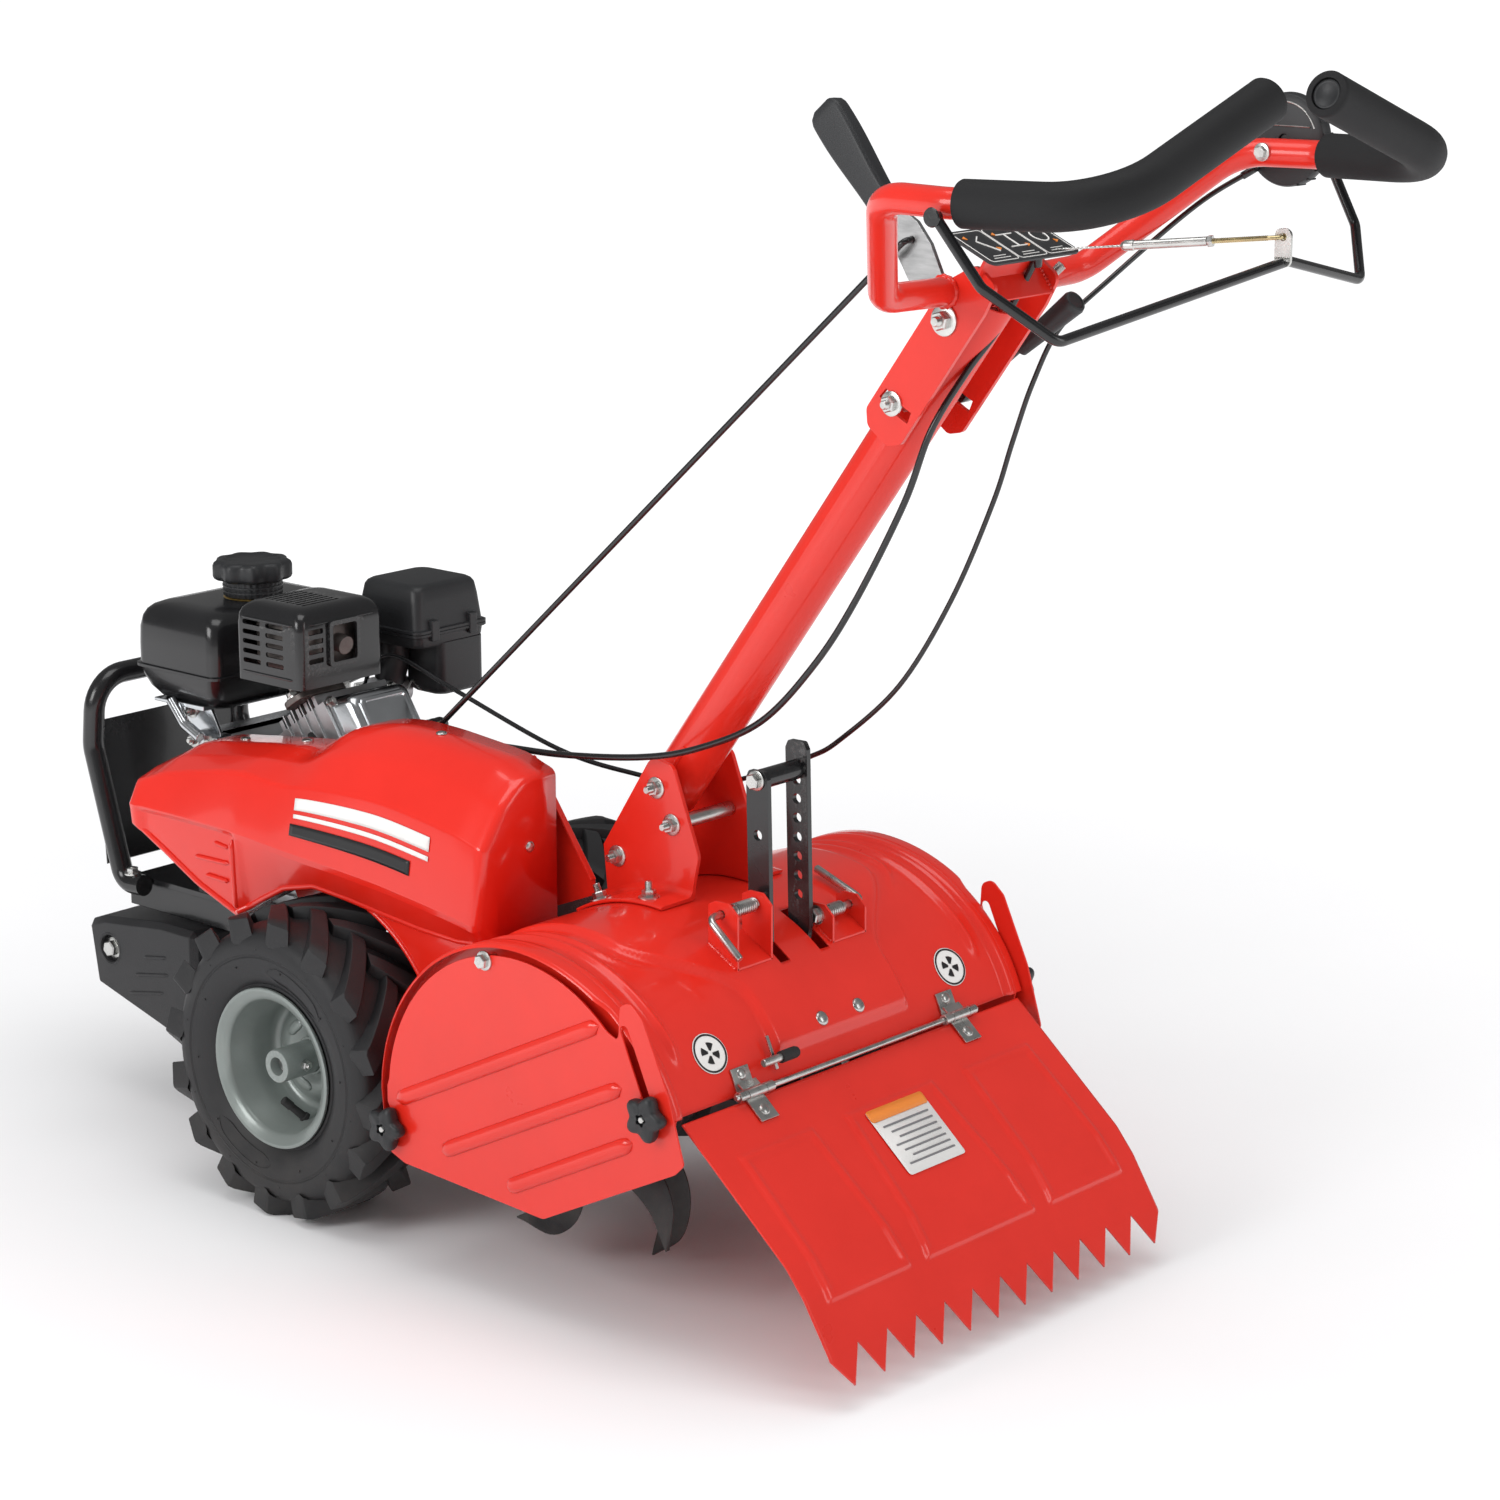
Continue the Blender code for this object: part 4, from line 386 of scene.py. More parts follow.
def fillet(points, radii, steps=8):
    """A path with its inner corners rounded, to one radius or one each."""
    points = [Vector(p) for p in points]
    if not isinstance(radii, (list, tuple)):
        radii = [radii] * (len(points) - 2)
    path = [points[0]]
    for before, corner, after, radius in zip(points, points[1:], points[2:], radii):
        to_start, to_end = (before - corner).normalized(), (after - corner).normalized()
        half = to_start.angle(to_end) / 2
        reach = min(radius / math.tan(half), 0.49 * (before - corner).length, 0.49 * (after - corner).length)
        bend = reach * math.tan(half)
        centre = corner + (to_start + to_end).normalized() * (bend / math.sin(half))
        first, last = corner + to_start * reach - centre, corner + to_end * reach - centre
        for i in range(steps + 1):
            path.append(centre + first.slerp(last, i / steps).normalized() * bend)
    path.append(points[-1])
    return path


def rounded(points, radius, steps=5):
    """A closed 2D outline with every corner rounded."""
    loop = [Vector(spot) for spot in points]
    middle = (loop[-1] + loop[0]) / 2
    return [tuple(spot) for spot in fillet([middle, *loop, middle], radius, steps)[:-1]]


def spline(p0, p1, p2, p3, t):
    """A point between p1 and p2 on a smooth curve through all four."""
    return 0.5 * (2 * p1 + (p2 - p0) * t + (2 * p0 - 5 * p1 + 4 * p2 - p3) * t ** 2
                  + (3 * p1 - p0 - 3 * p2 + p3) * t ** 3)


def smooth_path(points, steps=8):
    points = [Vector(p) for p in points]
    ends = [points[0] * 2 - points[1]] + points + [points[-1] * 2 - points[-2]]
    path = []
    for p0, p1, p2, p3 in zip(ends, ends[1:], ends[2:], ends[3:]):
        path += [spline(p0, p1, p2, p3, i / steps) for i in range(steps)]
    path.append(points[-1])
    return path


def ease(value, start, end):
    """0 before start, 1 after end, smooth between; start may lie above end."""
    t = max(0.0, min(1.0, (value - start) / (end - start)))
    return t * t * (3 - 2 * t)


def bead(bm, path, half_width, height, up, sink=0.0006):
    """A pressed rib: a half-round ridge along a path on a surface, its ends faded out."""
    path = [Vector(p) for p in path]
    up = Vector(up).normalized()
    lengths = [0.0]
    for a, b in zip(path, path[1:]):
        lengths.append(lengths[-1] + (b - a).length)
    total = lengths[-1]
    rings = []
    for i, point in enumerate(path):
        way = (path[min(i + 1, len(path) - 1)] - path[max(i - 1, 0)]).normalized()
        side = way.cross(up).normalized()
        from_end = min(lengths[i], total - lengths[i]) / (half_width * 1.6)
        full = math.sqrt(max(0.0, 1 - max(0.0, 1 - from_end) ** 2)) if from_end < 1 else 1.0
        full = max(full, 0.05)
        ring = [bm.verts.new(point + side * (half_width * full * math.cos(a))
                             + up * (height * full * math.sin(a)))
                for a in (math.pi * k / 10 for k in range(11))]
        ring += [bm.verts.new(point - side * half_width * full - up * sink),
                 bm.verts.new(point + side * half_width * full - up * sink)]
        rings.append(ring)
    bridge(bm, rings)


def line(a, b, count=14):
    a, b = Vector(a), Vector(b)
    return [a.lerp(b, i / (count - 1)) for i in range(count)]


def stack(bm, levels, corner_points=8):
    """Rounded rectangles one above another: (z, x0, x1, y0, y1, corner radius)."""
    rings = []
    for z, x0, x1, y0, y1, radius in levels:
        ring = []
        for cx, cy, start in ((x1 - radius, y1 - radius, 0), (x0 + radius, y1 - radius, 90),
                              (x0 + radius, y0 + radius, 180), (x1 - radius, y0 + radius, 270)):
            for i in range(corner_points):
                a = math.radians(start + 90 * i / (corner_points - 1))
                ring.append(bm.verts.new((cx + radius * math.cos(a), cy + radius * math.sin(a), z)))
        rings.append(ring)
    bridge(bm, rings)


def crowned(low, high, profile, corner=0.012):
    """Levels for stack() between two corners; the profile gives (height share, inset)."""
    return [(low[2] + (high[2] - low[2]) * share, low[0] + inset, high[0] - inset, low[1] + inset,
             high[1] - inset, max(0.003, corner + inset * 0.35)) for share, inset in profile]


def fastener(name, at, way, size, body, mat=None, washer=1.45, stud=0.0, nut=True):
    """A hex head or nut on its washer, with a threaded end standing out of it if asked."""
    bm = bmesh.new()
    base = 0.0
    if washer:
        base = size * 0.22
        lathe(bm, [(0, -0.0004), (size * washer, -0.0004), (size * washer, base * 0.8),
                   (size * washer * 0.93, base), (0, base)], at, way, 28)
    high = size * 0.85
    lathe(bm, [(0, base), (size * 0.94, base), (size, base + high * 0.12), (size, base + high * 0.82),
               (size * 0.86, base + high), (0, base + high)], at, way, 6, phase=0.3)
    if stud:
        core, loop = size * 0.52, [(0, base + high - 0.0002)]
        count = max(3, int(stud / 0.0011))
        for i in range(count):
            z = base + high + stud * i / count
            loop += [(core, z), (core * 0.86, z + stud / count / 2)]
        loop += [(core * 0.8, base + high + stud), (0, base + high + stud)]
        lathe(bm, loop, at, way, 16)
    elif nut:
        lathe(bm, [(0, base + high - 0.0002), (size * 0.5, base + high), (size * 0.45, base + high + 0.0006),
                   (0, base + high + 0.0006)], at, way, 20)
    return piece(name, bm, mat or ZINC, body, angle=28)


def rivet(name, at, way, radius, body, mat=None):
    bm = bmesh.new()
    dome = [(radius * math.cos(math.radians(a)), radius * 0.42 * math.sin(math.radians(a)))
            for a in range(0, 90, 12)]
    lathe(bm, [(radius, -0.0006)] + dome + [(0, radius * 0.42)], at, way, 24)
    return piece(name, bm, mat or ZINC, body, angle=50)


def coil(bm, start, way, length, turns, radius, wire):
    place = facing(start, way)
    count = turns * 14
    path = [place @ Vector((radius * math.cos(2 * math.pi * turns * i / count),
                            radius * math.sin(2 * math.pi * turns * i / count), length * i / count))
            for i in range(count + 1)]
    sweep(bm, path, wire, 8)


def rippled(bm, points, radius, share=0.2, pace=2.1):
    """A weld seam: small overlapping ripples along points."""
    sweep(bm, points, [radius * (1 + share * math.sin(i * pace)) for i in range(len(points))], 8)


def weld(bm, path, radius=0.0025):
    rippled(bm, smooth_path(path, 6) if len(path) > 2 else line(*path, 24), radius, 0.22, 2.3)


def thread(outer, core, first, pitch, rise, count):
    """The profile of a screw thread: a crest and a root for each turn."""
    profile = []
    for i in range(count):
        profile += [(outer, first + pitch * i), (core, first + pitch * i + rise)]
    return profile


# ---------------------------------------------------------------- dimensions shared with the CAD

AXLE_Z, WHEEL_Y, TYRE_R, TYRE_HALF, HUB_OUT = 0.17, 0.213, 0.17, 0.0636, 0.05
TINE_X, TINE_Z = -0.39, 0.178
HOOD_X, HOOD_Z, HOOD_R, HOOD_REAR, HOOD_HALF = -0.39, 0.19, 0.2, 0.215, 0.273
CRANK_X, CRANK_Z, CYLINDER_TILT = 0.245, 0.397, math.radians(34)
PIVOT = Vector((-0.74, 0.0, 1.026))
LEAN = math.radians(53.6)
COLUMN_WAY = Vector((-math.cos(LEAN), 0.0, math.sin(LEAN)))
COLUMN_SIDE = Vector((math.sin(LEAN), 0.0, math.cos(LEAN)))
SHIELD_Y = 0.285
SIDES = ((1, "left"), (-1, "right"))


def on_column(distance, across=0.0, y=0.0):
    spot = PIVOT - COLUMN_WAY * distance + COLUMN_SIDE * across
    return Vector((spot.x, y, spot.z))


CLAMP_AT = on_column(0.107)

# ---------------------------------------------------------------- frame, bumper and counterweight

refined("frame", BLACK, "chassis", 0.0022)
# the gear case: its upper half, round the input shaft, is narrower on the right
NECK_Y, NECK_Z = -0.012, 0.33
bm = bmesh.new()
from_cad(bm, "gearbox_case")
tool = bmesh.new()
box(tool, (-0.3, -0.08, NECK_Z), (0.06, NECK_Y, 0.52))
piece("gearbox_case_finished", bm, IRON, "chassis", 0.0035, 3, 35, cuts=[tool], replaces=["gearbox_case"])
for side, hand in SIDES:
    for i, (x, z) in enumerate(((-0.02, 0.27), (-0.16, 0.27), (-0.3, 0.225), (-0.21, 0.12),
                                (-0.06, 0.118), (-0.06, 0.44), (-0.14, 0.47))):
        face = NECK_Y - 0.0002 if side < 0 and z > NECK_Z else side * 0.05
        fastener(f"{hand}_case_bolt_{i}", (x, face, z), (0, side, 0), 0.0062, "chassis")
    bm = bmesh.new()
    lathe(bm, [(0.0105, 0.0), (0.034, 0.0), (0.036, 0.004), (0.036, 0.009), (0.031, 0.014), (0.0105, 0.014)],
          (TINE_X, side * 0.0475, TINE_Z), (0, side, 0), 40, closed=True)
    piece(f"{hand}_tine_seal_boss", bm, IRON, "chassis", 0.001)

LEG = 0.112
half_hoop = [(0.395, LEG, 0.2645), (0.43, LEG, 0.2625), (0.478, LEG, 0.42), (0.472, LEG - 0.002, 0.502)]
bm = bmesh.new()
sweep(bm, fillet(half_hoop + [(x, -y, z) for x, y, z in reversed(half_hoop)], 0.045, 10), 0.0125, 28)
piece("bumper_hoop", bm, BLACK, "chassis", replaces=["front_bumper"])
bm = bmesh.new()
plate(bm, [(0.465, 0.278), (0.4675, 0.276), (0.4795, 0.447), (0.4765, 0.449)], -0.108, 0.108)
for side in (-1, 1):
    weld(bm, [(0.4665, side * 0.106, 0.3), (0.4755, side * 0.106, 0.43)], 0.0022)
piece("bumper_guard", bm, BLACK, "chassis", 0.0008)
for side, hand in SIDES:
    fastener(f"{hand}_bumper_bolt", (0.415, side * LEG, 0.2755), (0, 0, 1), 0.007, "chassis")

refined("counterweight", WEIGHT, "chassis", 0.0016, angle=30)
WEIGHT_BOLT_X, WEIGHT_BOLT_Z = 0.452, 0.178
for side, hand in SIDES:
    fastener(f"{hand}_weight_bolt", (WEIGHT_BOLT_X, side * 0.1135, WEIGHT_BOLT_Z), (0, side, 0), 0.01,
             "chassis", washer=1.3, nut=False)
    bm = bmesh.new()
    lathe(bm, [(0.0165, -0.003), (0.0195, -0.003), (0.02, 0.0006), (0.0185, 0.0016), (0.0168, 0.0004)],
          (WEIGHT_BOLT_X, side * 0.1205, WEIGHT_BOLT_Z), (0, side, 0), 36, closed=True)
    for x0, x1, z0, z1 in ((0.39, 0.35, 0.18, 0.187), (0.408, 0.346, 0.155, 0.1665),
                           (0.42, 0.356, 0.13, 0.1425)):
        bead(bm, line((x0, side * 0.1209, z0), (x1, side * 0.1209, z1)), 0.0022, 0.0016, (0, side, 0))
    piece(f"{hand}_weight_ribs", bm, WEIGHT, "chassis")

# ---------------------------------------------------------------- belt cover

# stations along the cover: x, then the heights of its top, ridge, crease and underside
STATIONS = [
    (0.31, 0.437, 0.421, 0.397, 0.373), (0.262, 0.46, 0.437, 0.397, 0.35),
    (0.2, 0.47, 0.45, 0.397, 0.319), (0.137, 0.478, 0.46, 0.396, 0.297),
    (0.105, 0.482, 0.459, 0.394, 0.3165), (0.064, 0.489, 0.457, 0.391, 0.3385),
    (0.015, 0.516, 0.462, 0.388, 0.35), (-0.04, 0.528, 0.465, 0.385, 0.346),
    (-0.094, 0.529, 0.465, 0.381, 0.34), (-0.15, 0.525, 0.459, 0.375, 0.335),
    (-0.208, 0.519, 0.45, 0.368, 0.333), (-0.246, 0.508, 0.44, 0.362, 0.338),
]


def cover_at(x):
    """Top, ridge, crease and underside heights at a place along the cover; the underside runs straight."""
    for i, (a, b) in enumerate(zip(STATIONS, STATIONS[1:])):
        if a[0] >= x >= b[0]:
            t = (a[0] - x) / (a[0] - b[0])
            before, after = STATIONS[max(i - 1, 0)], STATIONS[min(i + 2, len(STATIONS) - 1)]
            curved = [spline(before[k], a[k], b[k], after[k], t) for k in (1, 2, 3)]
            return curved + [a[4] + (b[4] - a[4]) * t]
    return list(STATIONS[0][1:] if x > STATIONS[0][0] else STATIONS[-1][1:])


def cover_recess(x):
    """How deep the flank is set back round the ribbed field of the nose."""
    return 0.0055 * ease(x, 0.13, 0.138)


def cover_section(x, inset):
    """The cover's rounded section; inset pulls the whole section inwards near the ends."""
    top, ridge, crease, under = cover_at(x)
    recess = cover_recess(x) * (1 - ease(x, 0.285, 0.3))
    tuck = 0.012 * ease(x, 0.136, 0.118)
    crown = 0.6 * top + 0.4 * ridge
    corners = [(0.08, top + 0.002), (0.126, top + 0.0022), (0.16, crown + 0.002), (0.1885, ridge + 0.0015),
               (0.202, crease), (0.2008 - recess, crease - 0.007), (0.199 - recess - tuck, under + 0.0005),
               (0.17, under - 0.002)]
    loop = fillet([(y, z, 0) for y, z in corners], (0.05, 0.05, 0.01, 0.0035, 0.003, 0.005), 5)
    middle_y, middle_z = 0.08, (top + under) / 2
    shrink = 1 - inset
    return [(middle_y + (p.x - middle_y) * shrink, middle_z + (p.y - middle_z) * shrink) for p in loop]


NOSE_X, TAIL_X = 0.3125, -0.2484
NOSE_ROUND, TAIL_ROUND = 0.0095, 0.0084
rows = []
for x in ([NOSE_X, 0.3115, 0.3095, 0.306] + [0.301 - 0.005 * i for i in range(1, 109)]
          + [-0.2435, -0.2465, -0.248, TAIL_X]):
    e = max(0.0, (x - NOSE_X + NOSE_ROUND) / NOSE_ROUND, (TAIL_X + TAIL_ROUND - x) / TAIL_ROUND)
    inset = 0.09 * (1 - math.sqrt(max(0.0, 1 - e * e)))
    rows.append([(x, y, z) for y, z in cover_section(min(x, STATIONS[0][0] - 0.0001), inset)])
bm = bmesh.new()
rows = sheet(bm, rows)
bm.faces.new(rows[0])
bm.faces.new(rows[-1] + [bm.verts.new((TAIL_X, rows[-1][0].co.y, rows[-1][-1].co.z))])
piece("belt_cover_shell", bm, COVER_RED, "chassis", thick=0.0022, angle=50, replaces=["belt_cover"])

bm = bmesh.new()
lip = [(x, 0.199 - cover_recess(x) - 0.0118 * ease(x, 0.136, 0.118), cover_at(x)[3] + 0.004)
       for x in (0.305 - 0.006 * i for i in range(91))]
bead(bm, lip, 0.0036, 0.003, (0, 1, 0))
for x0, x1, z0, z1 in ((0.17, 0.146, 0.3765, 0.374), (0.204, 0.146, 0.3545, 0.356),
                       (0.186, 0.148, 0.336, 0.335)):
    bead(bm, line((x0, 0.1952, z0), (x1, 0.1952, z1)), 0.0026, 0.0026, (0, 1, 0))
bead(bm, line((0.1375, 0.1972, 0.386), (0.1345, 0.195, 0.304)), 0.0038, 0.0048, (0, 1, 0))
piece("belt_cover_ribs", bm, COVER_RED, "chassis")

# wheel arch under the cover: a wall that follows the tyre, and the flare that rolls in over it
ARCH_R = 0.184
wall = [(x, AXLE_Z + math.sqrt(ARCH_R ** 2 - x * x)) for x in (-0.066 - 0.006 * i for i in range(19))]
bm = bmesh.new()
plate(bm, [(-0.062, 0.354)] + wall + [(-0.19, 0.216), (-0.202, 0.218), (-0.226, 0.3), (-0.23, 0.348)],
      0.1838, 0.186)
bead(bm, [(x, 0.1858, z + 0.004) for x, z in wall], 0.003, 0.003, (0, 1, 0))
piece("belt_cover_arch", bm, COVER_RED, "chassis", 0.0004)
ARCH_SPAN = [math.radians(33 - 98 * i / 40) for i in range(41)]
bm = bmesh.new()
loft(bm, [[(r * math.sin(a), y, AXLE_Z + r * math.cos(a))
           for y, r in ((0.1, 0.1845), (0.16, 0.185), (0.185, 0.187), (0.185, 0.1892),
                        (0.16, 0.1872), (0.1, 0.1867))] for a in ARCH_SPAN])
plate(bm, arc(0, AXLE_Z, 0.1856, 57, 155, 31) + arc(0, AXLE_Z, 0.148, 155, 57, 31), 0.139, 0.141)
piece("belt_cover_inner_arch", bm, COVER_RED, "chassis")


def cover_side(x, share, lift=0.0008):
    """A point on the cover's flank: share 0 on the crease, 1 on the ridge."""
    ridge, crease = cover_at(x)[1:3]
    spot = Vector((x, 0.2024 + (0.189 - 0.2024) * share, crease + (ridge + 0.0015 - crease) * share))
    return spot + Vector((0, 0.97, 0.22)) * lift


for name, x0, x1, low, high, mat in (("cover_stripe_black", 0.041, -0.146, 0.27, 0.45, BLACK_PRINT),
                                     ("cover_stripe_white", 0.037, -0.172, 0.54, 0.6, WHITE_PRINT),
                                     ("cover_stripe_white_low", 0.037, -0.172, 0.66, 0.84, WHITE_PRINT)):
    bm = bmesh.new()
    sheet(bm, [[cover_side(x0 + (x1 - x0) * i / 30, low + (high - low) * k / 4) for k in range(5)]
               for i in range(31)])
    piece(name, bm, mat, "chassis", thick=0.0005)
for i, (spot, way) in enumerate((((-0.108, 0.11, 0.531), (0, 0, 1)), ((0.215, 0.105, 0.47), (0, 0, 1)),
                                 ((0.12, 0.098, 0.4825), (0, 0, 1)), ((-0.2486, 0.12, 0.433), (-1, 0, 0)))):
    rivet(f"cover_screw_{i}", spot, way, 0.006, "chassis")

# side bracket between the gear case and the column's foot, its upper edge flanged
bracket = [(-0.15, 0.497), (-0.197, 0.511), (-0.284, 0.391), (-0.284, 0.374), (-0.216, 0.346), (-0.15, 0.36)]
bm = bmesh.new()
plate(bm, rounded(bracket, 0.003, 3), 0.058, 0.0605)
edge = [Vector((x, 0.058, z)) for x, z in bracket[:3]]
for a, b in zip(edge, edge[1:]):
    up = (b - a).normalized().cross(Vector((0, 1, 0)))
    corners = [a + Vector((0, y, 0)) + up * lift for y, lift in oblong(0.0, 0.0075, -0.0012, 0.0012)]
    loft(bm, [corners, [c + (b - a) for c in corners]])
piece("side_bracket", bm, RED, "chassis", 0.0005)

# ---------------------------------------------------------------- engine

refined("engine_block", ALLOY, "chassis", 0.0016, "engine_casting", angle=30)
for i in (0, 3, 6):
    for side, hand in SIDES:
        fastener(f"{hand}_foot_bolt_{i}", (0.172 + 0.024 * i, side * 0.0665, 0.284), (0, 0, 1), 0.0058,
                 "chassis")
bm = bmesh.new()
plate(bm, rounded(oblong(0.178, 0.322, 0.3, 0.442), 0.022), 0.0655, 0.074)
lathe(bm, [(0.02, 0.0), (0.034, 0.0), (0.03, 0.012), (0.02, 0.013)], (CRANK_X, 0.0735, CRANK_Z), (0, 1, 0),
      40, closed=True)
piece("crankcase_side_cover", bm, ALLOY, "chassis", 0.0018)
for i, (x, z) in enumerate(((0.186, 0.308), (0.25, 0.308), (0.314, 0.308), (0.186, 0.434),
                            (0.314, 0.434), (0.314, 0.371))):
    fastener(f"side_cover_bolt_{i}", (x, 0.074, z), (0, 1, 0), 0.005, "chassis")
bm = bmesh.new()
lathe(bm, [(0, 0), (0.0125, 0), (0.0125, 0.01), (0.0165, 0.012), (0.0165, 0.02), (0.012, 0.024), (0, 0.024)],
      (0.336, 0.03, 0.318), (0.8, 0, 0.6), 30, lobes=6, depth=0.05)
piece("oil_filler_plug", bm, PLASTIC, "chassis", 0.0006)


def on_head(distance, across, y):
    """A point by its distance from the crank along the cylinder, and across it."""
    return Vector((CRANK_X - distance * math.cos(CYLINDER_TILT) + across * math.sin(CYLINDER_TILT), y,
                   CRANK_Z + distance * math.sin(CYLINDER_TILT) + across * math.cos(CYLINDER_TILT)))


# the rocker cover: a pressed dome with a raised frame and a bolted rim
HEAD_END = 0.1545
HEAD_WAY = on_head(1, 0, 0) - on_head(0, 0, 0)
DOME = [(0.0004, 0.04, 0.051, 0.008), (0.003, 0.0405, 0.0515, 0.008), (0.0042, 0.0372, 0.0485, 0.01),
        (0.02, 0.0345, 0.0462, 0.011), (0.0275, 0.0318, 0.044, 0.012), (0.0305, 0.028, 0.0405, 0.012),
        (0.0312, 0.0235, 0.036, 0.01)]
RAISED_FRAME = [(0.028, 0.0245, 0.0365, 0.007), (0.034, 0.0238, 0.0358, 0.007),
                (0.0352, 0.0222, 0.0342, 0.007), (0.0352, 0.019, 0.031, 0.005),
                (0.0338, 0.0178, 0.0298, 0.005)]
bm = bmesh.new()
for levels in (DOME, RAISED_FRAME):
    loft(bm, [[on_head(HEAD_END + d, a, y)
               for a, y in rounded(oblong(-across, across, -wide, wide), radius, 7)]
              for d, across, wide, radius in levels])
piece("rocker_cover", bm, PRESSED, "chassis", angle=42, replaces=["valve_cover"])
for i, (a, y) in enumerate(((-0.0355, -0.047), (-0.0355, 0.047), (0.0365, -0.047), (0.0365, 0.047))):
    fastener(f"rocker_bolt_{i}", on_head(HEAD_END + 0.003, a, y), HEAD_WAY, 0.0048, "chassis")

# thin outer cooling fins between the cast ones, and the spark plug with its cap
bm = bmesh.new()
for i in range(4):
    d = 0.0835 + 0.0165 * i
    plate(bm, [on_head(*spot, 0).xz for spot in oblong(d, d + 0.0022, -0.0545, 0.0545)], -0.0575, 0.0575)
piece("cooling_fins", bm, ALLOY, "chassis", 0.0006)
bm = bmesh.new()
plug = on_head(HEAD_END - 0.012, -0.02, 0.052)
way = Vector((-0.55, 0.8, -0.05)).normalized()
lathe(bm, [(0, -0.004), (0.0085, -0.004), (0.0085, 0.004), (0, 0.004)], plug, way, 6)
lathe(bm, [(0.004, 0.004), (0.0055, 0.006), (0.0045, 0.016), (0, 0.017)], plug, way, 20)
piece("spark_plug", bm, ZINC, "chassis")
bm = bmesh.new()
sweep(bm, smooth_path([plug + way * 0.012, plug + way * 0.03, plug + way * 0.036 + Vector((0.012, 0, 0.008)),
                       plug + way * 0.03 + Vector((0.05, -0.01, 0.02))], 6),
      [0.0085] * 7 + [0.007] * 3 + [0.0036] * 9, 16)
piece("spark_plug_cap", bm, BELT, "chassis")

# fuel tank: two pressed halves, seam, neck, brass ring and lobed cap
TANK_LOW, TANK_HIGH = (0.283, -0.125, 0.475), (0.428, 0.09, 0.598)
SEAM = (0.5215 - TANK_LOW[2]) / (TANK_HIGH[2] - TANK_LOW[2])
bm = bmesh.new()
levels = crowned(TANK_LOW, TANK_HIGH, [
    (0.0, 0.046), (0.01, 0.038), (0.035, 0.028), (0.1, 0.0175), (0.19, 0.01), (0.3, 0.005),
    (SEAM - 0.004, 0.0028), (SEAM - 0.003, 0.0006), (SEAM, 0.0), (SEAM + 0.024, 0.0), (SEAM + 0.027, 0.0006),
    (SEAM + 0.03, 0.003), (0.6, 0.003), (0.76, 0.0036), (0.86, 0.0058), (0.92, 0.0092), (0.96, 0.014),
    (0.988, 0.022), (1.0, 0.036)], 0.014)
stack(bm, levels, 12)
piece("tank_shell", bm, BLACK, "chassis", angle=40, replaces=["fuel_tank"])
NECK = Vector((0.34, -0.022, 0.5935))
CAP = NECK + Vector((0, 0, 0.0365))
bm = bmesh.new()
lathe(bm, [(0.0212, 0.0), (0.0285, 0.0), (0.027, 0.006), (0.0262, 0.02), (0.0212, 0.02)],
      NECK, (0, 0, 1), 40, closed=True)
piece("tank_neck", bm, BLACK, "chassis")
bm = bmesh.new()
lathe(bm, [(0.0268, 0.0), (0.0335, 0.0), (0.0345, 0.0012), (0.0345, 0.003), (0.033, 0.0042),
           (0.0268, 0.0042)],
      NECK + Vector((0, 0, 0.0015)), (0, 0, 1), 44, closed=True)
piece("tank_neck_ring", bm, BRASS, "chassis")
bm = bmesh.new()
lathe(bm, [(0, -0.0115), (0.0395, -0.0115), (0.0425, -0.0095), (0.044, -0.0065), (0.044, 0.006),
           (0.0425, 0.0095), (0.0395, 0.0115), (0.033, 0.012), (0.03, 0.0105), (0.012, 0.01), (0, 0.0108)],
      CAP, (0, 0, 1), 144, lobes=9, depth=0.06)
lathe(bm, [(0.0272, -0.03), (0.0332, -0.03), (0.034, -0.0285), (0.034, -0.0105), (0.0272, -0.0105)],
      CAP, (0, 0, 1), 120, closed=True, lobes=30, depth=0.018)
for z in (-0.0255, -0.0195):
    lathe(bm, [(0.033, z), (0.0352, z + 0.0004), (0.0352, z + 0.0022), (0.033, z + 0.0026)],
          CAP, (0, 0, 1), 48, closed=True)
piece("fuel_cap_moulding", bm, PLASTIC, "fuel_cap", angle=42, replaces=["fuel_cap"])
bm = bmesh.new()
for y in (0.062, -0.09):
    plate(bm, rounded([(0.3, 0.448), (0.352, 0.448), (0.372, 0.482), (0.322, 0.486)], 0.005), y, y + 0.004)
    plate(bm, [(0.318, 0.48), (0.405, 0.48), (0.405, 0.484), (0.318, 0.486)], y - 0.012, y + 0.016)
plate(bm, rounded(oblong(0.296, 0.345, 0.436, 0.452), 0.004), -0.088, 0.078)
sweep(bm, fillet([(0.318, 0.0835, 0.45), (0.345, 0.0835, 0.462), (0.372, 0.08, 0.486)], 0.012, 6), 0.0065,
      18)
piece("tank_bracket", bm, PRESSED, "chassis", 0.001)
for i, (x, y, z) in enumerate(((0.308, 0.078, 0.444), (0.336, 0.078, 0.444), (0.352, 0.066, 0.474))):
    fastener(f"tank_bracket_bolt_{i}", (x, y, z), (0, 1, 0), 0.0062, "chassis", stud=0.003)

# silencer and its slotted guard
def slot_cutter(x, z, wide, high, radius, low, far, axis="Y"):
    tool = bmesh.new()
    plate(tool, rounded(oblong(x, x + wide, z, z + high), radius, 3), low, far, axis)
    return tool


